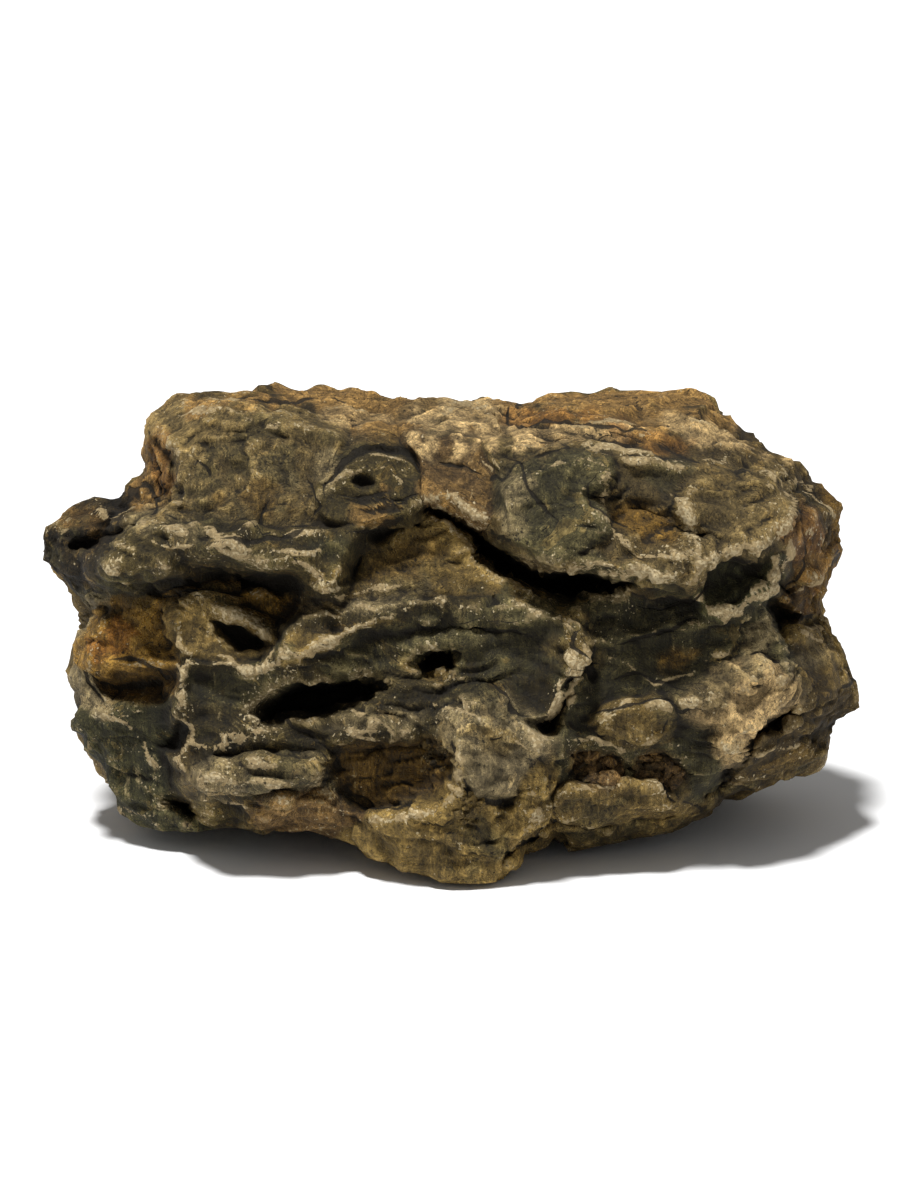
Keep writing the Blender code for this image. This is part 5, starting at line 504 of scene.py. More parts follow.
CRACKS = [Crack(*crack) for crack in [
    (0.7, 5, [33.5, 57, 36, 61.5, 39.5, 63.5, 41, 66, 41.5, 69]),
    (0.8, 4, [40, 64, 42.5, 62, 43, 60]),
    (0.7, 3.5, [-5, 77.5, 24, 73]),
    (0.8, 2.5, [37, 77, 35, 71, 38, 68]),
    (0.6, 3, [45, 72, 55, 73, 62, 75.3, 70, 78.3, 77, 80]),
    (0.6, 3, [38, 49, 47, 51.5, 56, 55.3, 62, 54.8, 66, 51.5, 72, 52, 80, 50.3]),
    (0.5, 2, [61, 44.5, 63.5, 49]),
    (0.6, 2.5, [60, 30.5, 63.5, 29, 66, 26, 68, 24.5]),
    (0.5, 2.5, [-54, 115, -56, 110, -57, 106, -54, 104]),
    (0.5, 2, [-76, 127, -73, 124, -71.5, 120.5]),
    (0.5, 2, [-28, 111.5, -20, 110.5, -12, 110.5]),
    (0.4, 1.6, [-20, 112.5, -16, 113.5, -12, 112]),
    (0.5, 2, [-34, 115, -28, 115, -22, 116, -18, 116.5]),
    (0.5, 1.5, [-60, 84.5, -68, 86, -78, 87, -80, 86]),
    (0.6, 2, [104, 109.8, 99, 110]),
    (0.8, 2.5, [111, 102, 111.5, 108]),
    (0.6, 2, [-103, 52, -108, 59.5, -110, 64]),
    (0.6, 2, [-84, 26, -85, 33, -87, 40]),
    (0.5, 1.2, [11, 45, 17, 46.5]),
    (0.5, 1.5, [-4, 126, 4, 124, 10, 119]),
    # Hairlines
    (1.0, 2.5, [-36, 114, -36, 119, -33, 124.5, -28, 128.4, -21, 130, -15, 129, -10.5, 126, -8.5, 120]),
    (0.6, 1.5, [-33, 113, -27, 114, -20, 114.5, -13, 113, -9, 116]),
    (0.5, 1.2, [-26, 112, -19, 111, -13, 109]),
    (0.4, 1.0, [-22, 113.3, -17, 111.8, -12, 112]),
    (0.8, 1.5, [-100, 110, -97, 117, -92, 120, -89, 115, -87, 108]),
    (0.7, 1.5, [-70, 103, -60, 100.5, -48, 103, -40, 105]),
    (0.6, 1.5, [-30, 105, -24, 104, -16, 107, -9, 110]),
    (0.5, 1.0, [-44, 122, -40, 118, -38, 112, -42, 107]),
    (0.6, 1.2, [14, 128, 20, 123, 22, 117, 27, 112, 33, 107]),
    (0.5, 1.0, [45, 122, 40, 117, 41, 110, 48, 106, 58, 101]),
    (0.6, 1.2, [-62, 46, -50, 49, -40, 46, -34, 40, -31, 32]),
    (0.5, 1.0, [-34, 30, -26, 24, -16, 22, -8, 26]),
    (0.6, 1.2, [4, 62, 12, 58, 18, 52, 24, 50]),
    (0.5, 1.0, [52, 84, 62, 82, 72, 84, 80, 90]),
    (0.6, 1.2, [46, 60, 54, 63, 63, 60, 70, 56]),
    (0.6, 1.2, [-104, 66, -96, 68, -88, 66, -82, 60]),
    (0.7, 1.2, [12, 139, 24, 136, 38, 137, 52, 134, 66, 134]),
    (0.6, 1.2, [20, 132, 34, 130, 48, 131, 60, 127, 76, 125]),
    (0.6, 1.2, [-70, 146, -55, 144, -40, 144.5, -22, 141]),
    (0.5, 1.0, [96, 84, 102, 90, 104, 98, 101, 106]),
    (0.6, 1.2, [88, 46, 96, 50, 104, 50, 110, 56]),
]]

BACK_SLABS = {name: Slab(*slab) for name, slab in {
    "back_shoulder": (57, -0.3, 0.02, 1, 4, 3, 1.8, [-92, 72, -84, 98, -52, 119, -10, 123, 22, 114,
        32, 94, 8, 84, -28, 78, -58, 62, -84, 54]),
    "back_hip": (62, -0.25, -0.03, 1, 4, 3, 2, [2, 44, -6, 62, 8, 76, 40, 80, 76, 74, 98, 60, 88, 44,
        60, 36, 30, 34]),
    "back_toe": (66, -0.1, 0, 1, 4, 3, 1.6, [-78, 22, -82, 44, -52, 54, -16, 50, -6, 34, -20, 18,
        -52, 12]),
    "back_brow": (52, -0.3, -0.08, 1, 4, 3, 2.2, [34, 92, 40, 116, 70, 128, 100, 118, 110, 98, 84, 88,
        56, 84]),
    "back_knob": (66, -0.2, 0, 0.8, 4, 4, 2.2, [-30, 50, -34, 66, -14, 76, 4, 70, 6, 56, -10, 46]),
    "back_flank": (50, -0.2, 0.15, 1, 4, 3, 1.8, [-118, 60, -120, 100, -98, 108, -90, 84, -96, 60]),
    "back_foot": (66, -0.1, 0, 1, 4, 3, 1.6, [10, 12, 14, 32, 44, 36, 78, 38, 84, 26, 50, 12]),
}.items()}

BACK_HOLLOWS = {name: Hollow(*hollow) for name, hollow in {
    "back_oval": (15, 4, 0.4, 1, [-62, 84, -50, 96, -26, 102, -6, 98, -8, 88, -30, 82, -50, 76]),
    "back_slit": (24, 2.5, 0.3, 0.8, [14, 82, 30, 88, 52, 90, 74, 84, 82, 78, 58, 81, 34, 80, 18, 77]),
    "back_bite": (11, 3, 0.3, 1, [42, 50, 46, 62, 60, 66, 70, 58, 64, 48, 52, 44]),
    "back_well": (16, 3, 0.2, 0.8, [-74, 34, -72, 44, -58, 48, -46, 42, -50, 32, -64, 28]),
    "back_cup": (9, 4, 0.3, 1, [62, 104, 66, 116, 82, 120, 92, 110, 84, 100, 70, 97]),
    "back_gully": (12, 3, 0.2, 0.6, [-22, 46, -4, 44, 6, 52, 12, 44, 4, 30, -8, 34]),
    "back_slot": (13, 2.5, 0.2, 0.6, [-104, 72, -106, 88, -98, 94, -94, 80, -98, 70]),
}.items()}


class Stain(NamedTuple):
    """A patch of colour on a face: its strength, middle, half width and height, and turn in degrees."""

    colour: str
    share: float
    a: float
    b: float
    across: float
    up: float
    turn: float


# The clay of each slab and hollow and how bright it is; hollows without one are painted dark, with dirt and
# painted shade
SLAB_COLOURS = {
    "left_lobe": ("umber", 0.3), "left_cheek": ("gold", 0.8), "brow": ("grey", 1.2),
    "top_back_left": ("gold", 0.85), "lip": ("olive", 0.5), "left_panel": ("ochre", 1.7),
    "flake": ("tan", 1.0), "left_edge": ("pale", 0.8), "left_lower": ("moss", 0.9),
    "left_foot": ("moss", 0.9), "left_shelf": ("olive", 0.8), "central_slab": ("olive", 0.36),
    "forehead": ("tan", 1.3), "eye": ("olive", 0.6), "purple": ("plum", 0.62), "neck": ("cream", 0.62),
    "big_lip": ("grey", 0.7), "boulder": ("slate", 1.05), "right_brow": ("grey", 0.95),
    "green_cup": ("moss", 1.4), "right_cheek": ("ochre", 0.95), "cheek_plate": ("tan", 1.3),
    "cheek_block": ("gold", 0.9), "cave_floor": ("slate", 0.8), "right_slab": ("slate", 0.95),
    "crust_ridge": ("cream", 0.5), "lens": ("tan", 1.0), "tan_belly": ("tan", 1.2), "keel": ("tan", 1.65),
    "saddle": ("pale", 0.75), "under_lip": ("plum", 0.9), "ledge_rib": ("pale", 0.4),
    "right_lobe": ("tan", 1.35), "right_tip": ("tan", 1.0), "right_rib": ("olive", 0.7),
    "right_foot": ("umber", 1.3), "rear_ledge": ("umber", 1.2), "keel_ledge": ("umber", 1.2),
    "top_right": ("gold", 0.85), "top_step": ("gold", 1.2),
}

HOLLOW_COLOURS = {
    "scoop": ("ochre", 1.75), "oval_pit": ("ochre", 0.75), "left_pocket": ("ochre", 0.9),
    "curl_scoop": ("tan", 1.2), "cup_bowl": ("moss", 1.8), "crumb_left": ("plum", 0.6),
    "crumb_right": ("plum", 0.7), "keel_fold": ("tan", 0.9), "saddle_scoop": ("olive", 0.7),
    "ridge_dip": ("slate", 0.8), "window_sill": ("tan", 1.3), "top_cave2": ("gold", 0.8),
}

STAINS = [Stain(*stain) for stain in [
    ("grey", 0.7, -58, 124, 22, 16, -5), ("pale", 0.6, -40, 121, 8, 7, 20),
    ("cream", 1.0, 5, 136, 18, 9, -10), ("gold", 0.9, -50, 144, 40, 5, 0), ("rust", 0.5, -86, 128, 4, 10, 0),
    ("ochre", 0.5, -57, 112, 10, 6, 0), ("pale", 0.4, -78, 104, 16, 4, -10), ("moss", 0.6, -36, 100, 7, 6, 0),
    ("rust", 0.8, -100, 74, 8, 6, 10), ("moss", 0.5, -94, 86, 12, 5, 0), ("pale", 0.6, -26, 84, 22, 4, 14),
    ("slate", 0.9, -18, 71, 30, 8, 8), ("gold", 0.7, -19, 112, 12, 4, 12), ("slate", 0.9, 22, 72, 18, 20, 0),
    ("slate", 0.6, -58, 60, 16, 7, 0), ("olive", 0.6, -20, 92, 16, 6, 0), ("ochre", 0.5, -14, 96, 14, 5, 20),
    ("olive", 0.5, -52, 38, 18, 6, 15), ("pale", 0.4, -18, 49, 18, 3, 5), ("pale", 0.3, -72, 33, 8, 4, 0),
    ("moss", 0.6, -98, 40, 12, 12, 0), ("umber", 0.5, -80, 30, 5, 16, 0), ("pale", 0.3, 24, 42, 8, 5, 20),
    ("moss", 0.5, 10, 13, 14, 6, -20), ("tan", 0.8, -4, 12, 18, 8, -20), ("pale", 0.7, 88, 72, 7, 6, 0),
    ("ochre", 0.8, 66, 68, 7, 5, 0), ("cream", 0.4, 88, 52, 9, 9, 45), ("slate", 0.6, 72, 60, 12, 7, 20),
    ("tan", 0.5, 36, 70, 8, 6, 0), ("pale", 0.6, 18, 112, 5, 8, 0), ("slate", 0.8, 56, 91, 24, 5, -6),
    ("gold", 0.8, 52, 140, 34, 6, 0), ("cream", 0.7, 40, 133, 24, 3, 2), ("cream", 0.6, -30, 139, 26, 3, -6),
    ("rust", 0.5, 30, 139, 22, 3, 0), ("cream", 0.8, 78, 133, 18, 5, -20), ("rust", 0.4, 60, 131, 12, 3, 0),
    ("tan", 0.6, 56, 26, 18, 4, 0), ("pale", 0.5, 106, 66, 9, 6, 0), ("rust", 0.4, 106, 96, 10, 12, 0),
    ("umber", 0.7, 100, 88, 6, 8, 0), ("slate", 0.7, 62, 121, 10, 4, 0), ("gold", 0.5, -112, 108, 8, 4, 0),
]]

BACK_COLOURS = {
    "back_shoulder": ("olive", 1.1), "back_hip": ("grey", 0.9), "back_toe": ("moss", 1.1),
    "back_brow": ("gold", 0.7), "back_knob": ("tan", 1.1), "back_flank": ("ochre", 0.9),
    "back_foot": ("slate", 0.9),
}

BACK_STAINS = [Stain(*stain) for stain in [
    ("pale", 0.5, -40, 112, 30, 6, -8), ("rust", 0.5, 50, 70, 14, 8, 10), ("slate", 0.7, -60, 60, 22, 10, 0),
    ("gold", 0.6, 60, 122, 34, 8, -8), ("pale", 0.5, 30, 58, 16, 6, 20), ("moss", 0.6, 0, 22, 60, 8, 0),
    ("cream", 0.4, 92, 84, 10, 8, 0), ("plum", 0.6, -88, 88, 10, 14, 0),
]]


class CrumbBed(NamedTuple):
    """A place where crumbs lie: how many, from what to what size, how proud they stand, and its outline."""

    colour: str
    count: int
    sizes: tuple
    proud: float
    outline: list


CRUMB_BEDS = [CrumbBed(*bed) for bed in [
    ("plum", 70, (2.2, 6.0), 0.1, [35, 40, 44, 41, 50, 39, 52, 33, 47, 29, 40, 29, 36, 33]),
    ("plum", 50, (2.0, 5.0), 0.1, [54, 39, 60, 40.5, 67, 37, 69, 33, 66, 29, 58, 30, 54, 33]),
    ("umber", 45, (1.2, 3.2), 0.1, [-10, 44, -4, 46, 0, 43, 2, 37, -1, 33, -5, 36, -10, 40]),
    ("tan", 24, (1.5, 3.5), 0.0, [0, 27, 8, 29, 10, 24, 6, 19, 1, 21]),
]]


def lattice_value(ix, iy, iz, seed):
    """A repeatable number from 0 to 1 for each point of a whole-number lattice.

    The large multipliers and the shifts scatter the bits of the place and the seed.
    """
    mixed = (ix * 374761393 + iy * 668265263 + iz * 2147483647 + seed * 1274126177) & 0xFFFFFFFF
    mixed = ((mixed ^ (mixed >> 13)) * 1103515245) & 0xFFFFFFFF
    mixed = ((mixed ^ (mixed >> 16)) * 2654435761) & 0xFFFFFFFF
    return ((mixed ^ (mixed >> 15)) & 0xFFFFFF) / float(0xFFFFFF)


def value_noise(points, seed):
    """Smooth noise from -1 to 1: lattice values blended by 6t^5 - 15t^4 + 10t^3 along each axis."""
    corner = np.floor(points).astype(np.int64)
    part = points - corner
    part = part ** 3 * (part * (part * 6 - 15) + 10)
    total = np.zeros(len(points))
    for dx in (0, 1):
        for dy in (0, 1):
            for dz in (0, 1):
                step = np.array([dx, dy, dz])
                share = np.prod(np.where(step, part, 1 - part), axis=1)
                total += share * lattice_value(*(corner + step).T, seed)
    return total * 2 - 1


def fractal(points, size, octaves, seed):
    """Noise from -1 to 1 whose largest forms are about `size` across, each octave half the last."""
    total, share, whole = 0.0, 1.0, 0.0
    for octave in range(octaves):
        places = points / size * 2.0 ** octave + OCTAVE_SHIFT * octave
        total = total + share * value_noise(places, seed + octave)
        whole += share
        share *= 0.5
    return total / whole


def nearest_seed(points, seed):
    """Distance to the nearest of the points scattered one to a lattice cell."""
    home = np.floor(points).astype(np.int64)
    nearest = np.full(len(points), 9.0)
    for dx in (-1, 0, 1):
        for dy in (-1, 0, 1):
            for dz in (-1, 0, 1):
                cell = home + np.array([dx, dy, dz])
                scattered = np.stack([lattice_value(*cell.T, seed + axis) for axis in range(3)], 1)
                nearest = np.minimum(nearest, ((cell + scattered - points) ** 2).sum(1))
    return np.sqrt(nearest)


def smooth_step(x, low, high):
    """0 below low, 1 above high, eased between."""
    t = np.clip((x - low) / (high - low), 0, 1)
    return t * t * (3 - 2 * t)


def soft_max(x, y, blend):
    """The larger of x and y, with the corner between them rounded over `blend`."""
    t = np.clip(0.5 + 0.5 * (x - y) / blend, 0, 1)
    return y + (x - y) * t + blend * t * (1 - t)


def paired(numbers):
    """The points of a drawn line, whose a and b are written in turn."""
    return np.array(numbers, float).reshape(-1, 2)


def rounded(outline):
    """The closed outline with each corner cut at a quarter of its sides."""
    points = paired(outline)
    after = np.roll(points, -1, axis=0)
    return np.stack([0.75 * points + 0.25 * after, 0.25 * points + 0.75 * after], 1).reshape(-1, 2)


def to_segment(a, b, start, end):
    """Distance from (a, b) to a segment, and how far along it the nearest point lies, 0 to 1."""
    side = end - start
    along = np.clip(((a - start[0]) * side[0] + (b - start[1]) * side[1]) / (side @ side), 0, 1)
    return np.hypot(a - start[0] - along * side[0], b - start[1] - along * side[1]), along


def inset(a, b, outline):
    """Distance from (a, b) to a closed outline: more than 0 inside it, less than 0 outside."""
    nearest = np.full(a.shape, 1e9)
    inside = np.zeros(a.shape, bool)
    for start, end in zip(outline, np.roll(outline, -1, axis=0)):
        nearest = np.minimum(nearest, to_segment(a, b, start, end)[0])
        if start[1] != end[1]:
            crossing = start[0] + (b - start[1]) / (end[1] - start[1]) * (end[0] - start[0])
            inside ^= ((start[1] > b) != (end[1] > b)) & (a < crossing)
    return np.where(inside, nearest, -nearest)


def near(a, b, outline, margin):
    """Which of the points lie within the outline's box grown by margin."""
    low, high = outline.min(0) - margin, outline.max(0) + margin
    return np.nonzero((a > low[0]) & (a < high[0]) & (b > low[1]) & (b < high[1]))[0]


def plain(a, b, height):
    """The points (a, b, height) as one array."""
    return np.stack([a, b, np.full_like(a, height)], -1)


def wandering(a, b, height):
    """The face position pushed about, so that no drawn edge is straight."""
    points = plain(a, b, height)
    aside, upward = (
        WANDER * fractal(points, WANDER_SIZE, 2, seed)
        + FINE_WANDER * fractal(points, FINE_WANDER_SIZE, 2, seed + 1)
        for seed in (11, 21)
    )
    return a + aside, b + upward


def tent(distance, width):
    """1 where the distance is 0, falling evenly to 0 at the width on both sides."""
    return np.clip(1 - np.abs(distance) / width, 0, 1)


class Relief:
    """One face of the stone, point by point.

    `out` is how far it stands out of the face plane, `tone` its colour, `sunk` how deep it lies in hollows
    and creases, where it is painted dark with dirt and painted shade, `worn` how worn it is, `crease` how
    close it is to the foot of a slab, `seam` the distance to the nearest crack, with a sign for its side, and
    `split` that crack's width. Edges are drawn at (wa, wb), the place (a, b) pushed about by noise.
    """

    def __init__(self, a, b, level, height, clay, lip_share):
        self.a, self.b = a, b
        self.wa, self.wb = wandering(a, b, height)
        self.out = level
        self.tone = np.tile(clay, (len(a), 1))
        self.sunk, self.worn, self.crease = np.zeros(a.shape), np.zeros(a.shape), np.zeros(a.shape)
        self.seam, self.split = np.full(a.shape, SEAM_REACH), np.zeros(a.shape)
        self.lip_share = lip_share
        self.grain = fractal(plain(a, b, GRAIN_HEIGHT), GRAIN_SIZE, 4, 131)

    def add_slabs(self, slabs, colours):
        """Raises it to each slab: a leaning plane, rounded over at its edge, with a cliff all round.

        Where the slab is the higher one it brings its clay, hides what was worn or creased below, and is
        worn along its edge. Where its cliff comes down to the rest there is a crease.
        """
        for name, slab in slabs.items():
            edge = rounded(slab.outline)
            here = near(self.wa, self.wb, edge, REACH / slab.cliff)
            depth = inset(self.wa[here], self.wb[here], edge)
            inside = np.maximum(depth, 0)
            middle, low, high = edge.mean(0), edge.min(0), edge.max(0)
            top = slab.out + slab.slant * (np.clip(self.a[here], low[0], high[0]) - middle[0])
            top += slab.lean * (np.clip(self.b[here], low[1], high[1]) - middle[1])
            top -= EDGE_SHARE * slab.drop * np.exp(-inside / (EDGE_SHARE * slab.roll))
            top += DISH * np.exp(-inside / DISH_REACH)
            top += slab.rim * self.lip_share[here] * np.exp(-(((inside - LIP_WIDTH) / LIP_WIDTH) ** 2))
            top += slab.cliff * np.minimum(depth, 0)
            over, grain = top - self.out[here], self.grain[here]
            shown = smooth_step(over + RAGGED * grain, *CLAY_RISE) * smooth_step(depth, *CLAY_INSET)
            self.tone[here] += shown[:, None] * (colours[name] - self.tone[here])
            covered = 1 - smooth_step(over, 0.0, COVERED)
            edge_worn = self.lip_share[here] * smooth_step(over, *WORN_RISE)
            edge_worn *= tent(depth - WORN_INSET, EDGE_WEAR)
            self.worn[here] = np.maximum(self.worn[here] * covered, WORN_MOST * edge_worn)
            crease = tent(over, CREASE_WIDTH) * smooth_step(-depth, *CREASE_START)
            crease *= np.clip(CREASE_MEAN + CREASE_SPREAD * grain, CREASE_LEAST, 1.0)
            self.crease[here] = np.maximum(self.crease[here] * covered, crease)
            self.out[here] = soft_max(self.out[here], top, BLEND)

    def deepen_creases(self):
        """Sinks the creases by the cube of their share, and marks them to be painted dark, as dirt and
        painted shade.
        """
        self.out -= CREASE_DEPTH * self.crease ** 3
        self.sunk = np.maximum(self.sunk, CREASE_DIRT_AND_SHADE * self.crease)

    def raise_ridges(self, ridges):
        """Raises a sharp crest along each ridge, lower towards its ends: height exp(-distance / width)."""
        for ridge in ridges:
            line = paired(ridge.line)
            here = near(self.wa, self.wb, line, RUN_OUT * ridge.width)
            nearest, travelled = np.full(here.shape, 1e9), np.zeros(here.shape)
            for part, (start, end) in enumerate(zip(line[:-1], line[1:])):
                gap, along = to_segment(self.wa[here], self.wb[here], start, end)
                travelled = np.where(gap < nearest, (part + along) / (len(line) - 1), travelled)
                nearest = np.minimum(nearest, gap)
            fade = smooth_step(travelled, 0, FADE) * smooth_step(1 - travelled, 0, FADE)
            fade = fade * (RIDGE_LEAST + RIDGE_SPREAD * self.lip_share[here])
            self.out[here] += ridge.height * fade * np.exp(-nearest / ridge.width)
            self.worn[here] = np.maximum(self.worn[here], fade * tent(nearest, RIDGE_WEAR))

    def sink_hollows(self, hollows, colours):
        """Lowers it in each hollow: by its depth, more or less towards its top, times an eased wall."""
        for name, hollow in hollows.items():
            edge = rounded(hollow.outline)
            here = near(self.wa, self.wb, edge, RUN_OUT * LIP_WIDTH)
            depth = inset(self.wa[here], self.wb[here], edge)
            low, high = edge[:, 1].min(), edge[:, 1].max()
            height = np.clip((2 * self.b[here] - low - high) / (high - low), -1, 1)
            share = smooth_step(depth, WALL_FOOT, hollow.wall)
            self.out[here] -= hollow.depth * (1 + hollow.tilt * height) * share
            lip = np.exp(-(((depth + LIP_WIDTH) / LIP_WIDTH) ** 2))
            self.out[here] += hollow.rim * self.lip_share[here] * lip
            if name in colours:
                self.tone[here] += share[:, None] * (colours[name] - self.tone[here])
            else:
                # the depth of a hollow without its own clay is marked for dirt and painted shade
                self.sunk[here] = np.maximum(self.sunk[here], share * min(1.0, hollow.depth / DEEP))

    def cut_cracks(self, cracks):
        """Sinks a narrow groove along each crack, shallower towards its ends: depth exp(-(gap / width)^2).

        The distance to the crack and its width are kept, so that the clay can be split there more sharply
        than the mesh is fine.
        """
        for crack in cracks:
            line = paired(crack.line)
            here = near(self.wa, self.wb, line, SEAM_REACH)
            for part, (start, end) in enumerate(zip(line[:-1], line[1:])):
                gap, along = to_segment(self.wa[here], self.wb[here], start, end)
                travelled = (part + along) / (len(line) - 1)
                fade = np.clip(4 * travelled * (1 - travelled) + CRACK_ENDS, 0, 1)
                groove = np.exp(-((gap / crack.width) ** 2))
                self.out[here] -= CRACK_SHARE * crack.depth * fade * groove
                run, climb = end - start
                side = (self.wa[here] - start[0]) * climb - (self.wb[here] - start[1]) * run
                nearer = gap < np.abs(self.seam[here])
                ends = smooth_step(travelled, 0, SEAM_END) * smooth_step(1 - travelled, 0, SEAM_END)
                self.seam[here] = np.where(nearer, gap * np.sign(side), self.seam[here])
                self.split[here] = np.where(nearer, crack.width * ends, self.split[here])

    def lay_stains(self, stains, palette):
        """Mixes a colour into each stain: an ellipse whose edge is broken by noise."""
        for stain in stains:
            x, y = self.a - stain.a, self.b - stain.b
            turn = math.radians(stain.turn)
            along = (x * math.cos(turn) + y * math.sin(turn)) / stain.across
            aside = (y * math.cos(turn) - x * math.sin(turn)) / stain.up
            inside = 1.0 - np.hypot(along, aside) + STAIN_RAGGED * self.grain
            share = stain.share * smooth_step(inside, *STAIN_EDGE)
            self.tone += share[:, None] * (palette[stain.colour] - self.tone)


def front_relief(a, b, palette):
    """The front, which stands out of the face plane."""
    lip_share = LIP_SHARE + LIP_SPREAD * fractal(plain(a, b, 0.0), LIP_PATCH, 2, 31)
    lip_share = np.clip(lip_share, 0.0, LIP_MOST)
    level = FRONT_LEVEL - TOP_FALL * np.maximum(b - TOP_START, 0)
    relief = Relief(a, b, level, 0.0, palette["umber"], lip_share)
    relief.add_slabs(SLABS, mixed(SLAB_COLOURS, palette))
    relief.deepen_creases()
    relief.raise_ridges(RIDGES)
    relief.sink_hollows(HOLLOWS, mixed(HOLLOW_COLOURS, palette))
    relief.cut_cracks(CRACKS)
    relief.lay_stains(STAINS, palette)
    return relief


def back_relief(a, b, palette):
    """The back, whose slabs are broader and whose hollows are few."""
    level = BACK_LEVEL - BACK_LEAN * (b - MIDDLE[1])
    relief = Relief(a, b, level, BACK_LEVEL, palette["tan"], np.full(a.shape, 1.0))
    relief.add_slabs(BACK_SLABS, mixed(BACK_COLOURS, palette))
    relief.deepen_creases()
    relief.sink_hollows(BACK_HOLLOWS, {})
    relief.lay_stains(BACK_STAINS, palette)
    return relief


def mixed(colours, palette):
    """Each name's colour: a palette colour times its brightness."""
    return {name: palette[colour] * bright for name, (colour, bright) in colours.items()}


def rough_block(u, v, palette):
    """The block without its fine weathering, as a surface of two angles.

    v runs from the right tip (0) to the left tip (pi) and u once around the long axis, with the front at
    u = 0 and the top at u = pi / 2. With the direction (x, d, z) = (cos v, -sin v cos u, sin v sin u),
    rho = hypot(x, z) is the share of the way from the middle to the silhouette, at the angle
    phi = atan2(z, x). The face position is (a, b) = MIDDLE + R(phi) rho (cos phi, sin phi), and the surface
    stands out by rim(phi) (1 - w) + relief(a, b) w, where w = (1 - rho^k)^(1/k).

    With the points comes what is known of each, by name: its place a and b in the face plane, how far
    inside the silhouette it lies (share), whether it is in front, and what Relief tells of it.
    """
    shape = u.shape
    u, v = u.ravel(), v.ravel()
    across, depth, up = np.cos(v), -np.sin(v) * np.cos(u), np.sin(v) * np.sin(u)
    rho = np.minimum(np.hypot(across, up), 1.0)
    phi = np.arctan2(up, across)
    silhouette = paired(SILHOUETTE) - MIDDLE
    angle = np.arctan2(silhouette[:, 1], silhouette[:, 0])
    order = np.argsort(angle)
    turns = np.linspace(-np.pi, np.pi, DEGREES + 1)
    reach = np.interp(turns, angle[order], np.hypot(*silhouette.T)[order], period=2 * np.pi)
    window = np.hanning(SMOOTHED_OVER)
    broad = np.convolve(np.tile(reach[:-1], 3), window / window.sum(), "same")[DEGREES:2 * DEGREES + 1]
    radius, broad_radius = np.interp(phi, turns, reach), np.interp(phi, turns, broad)
    rim = np.interp(np.degrees(phi), *paired(RIM).T)
    front = depth < 0
    fullness = np.where(front, FRONT_FULLNESS, BACK_FULLNESS - LOW_BULGE * np.sin(phi))
    share = (1 - rho ** fullness) ** (1 / fullness)
    behind = np.where(front, 0.0, BACK_INSET * smooth_step(share, 0.0, NEAR_RIM))
    radius += behind * (broad_radius - radius)
    a = MIDDLE[0] + radius * rho * np.cos(phi)
    b = MIDDLE[1] + radius * rho * np.sin(phi)
    face, rear = front_relief(a[front], b[front], palette), back_relief(a[~front], b[~front], palette)
    known = {"a": a, "b": b, "share": share, "front": front}
    for name in ("out", "tone", "sunk", "worn", "seam", "split"):
        ahead, astern = getattr(face, name), getattr(rear, name)
        known[name] = np.empty(a.shape + ahead.shape[1:])
        known[name][front], known[name][~front] = ahead, astern
    out = known.pop("out") * np.where(front, 1, -1)
    out = rim * (1 - share) + out * share
    y = b * math.sin(FACE_LEAN) - out * math.cos(FACE_LEAN)
    z = b * math.cos(FACE_LEAN) + out * math.sin(FACE_LEAN) - FOOT
    known = {name: values.reshape(shape + values.shape[1:]) for name, values in known.items()}
    return np.stack([a, y, z], -1).reshape(shape + (3,)), known


def neighbours(grid):
    """Each point's neighbours around the block and along it; the tips are their own neighbours."""
    before = np.concatenate([grid[:, :1], grid[:, :-1]], 1)
    after = np.concatenate([grid[:, 1:], grid[:, -1:]], 1)
    return np.roll(grid, 1, 0), np.roll(grid, -1, 0), before, after


def close_tips(grid):
    """Gives the whole first column one mean value, and the last another."""
    grid[:, 0], grid[:, -1] = grid[:, 0].mean(0), grid[:, -1].mean(0)


def even_angles(rounds, columns, front_share, palette):
    """Angles at which the block's surface is sampled, drawn together where it is steep.

    Each angle is moved to the mean of its neighbours', weighted by how long each edge comes out, so that
    the walls of ledges and hollows get points of their own.
    """
    turn = np.linspace(0, 2 * np.pi, rounds, endpoint=False)
    run = np.linspace(0, np.pi, columns)
    u, v = np.meshgrid(turn - front_share * np.sin(turn), run + TIP_SHARE * np.sin(2 * run), indexing="ij")
    for _ in range(SPREAD_PASSES):
        points = rough_block(u, v, palette)[0]
        close_tips(points)
        closer = 1 + FRONT_CLOSER * np.cos(u)
        weights = [
            closer * (np.linalg.norm(points - other, axis=-1) + SPACING / columns)
            for other in neighbours(points)
        ]
        whole = sum(weights)
        for _ in range(SPREAD_ROUNDS):
            around = list(neighbours(u))
            around[0][0] -= 2 * np.pi
            around[1][-1] += 2 * np.pi
            u_next = sum(weight * other for weight, other in zip(weights, around)) / whole
            v_next = sum(weight * other for weight, other in zip(weights, neighbours(v))) / whole
            u[:, 1:-1] += SPREAD_STEP * (u_next - u)[:, 1:-1]
            v[:, 1:-1] += SPREAD_STEP * (v_next - v)[:, 1:-1]
    return u, v


def outward(points):
    """Unit normals of the grid, pointing out of the block."""
    before, after, nearer, further = neighbours(points)
    normal = np.cross(after - before, further - nearer)
    return normal / np.maximum(np.linalg.norm(normal, axis=-1, keepdims=True), 1e-9)


def softened(points, passes, evenly=True):
    """The grid with its points drawn towards their neighbours' mean, most or only where it is stretched."""
    for _ in range(passes):
        around = neighbours(points)
        mean = sum(around) / 4
        length = sum(np.linalg.norm(other - points, axis=-1) for other in around) / 4
        stretch = length / np.median(length)
        if evenly:
            share = np.clip(EASE * stretch, EASE_LEAST, EASE_MOST)
        else:
            share = np.clip(RELAX * (stretch - STRETCHED), 0, EASE_MOST)
        points = points + share[..., None] * (mean - points)
    return points


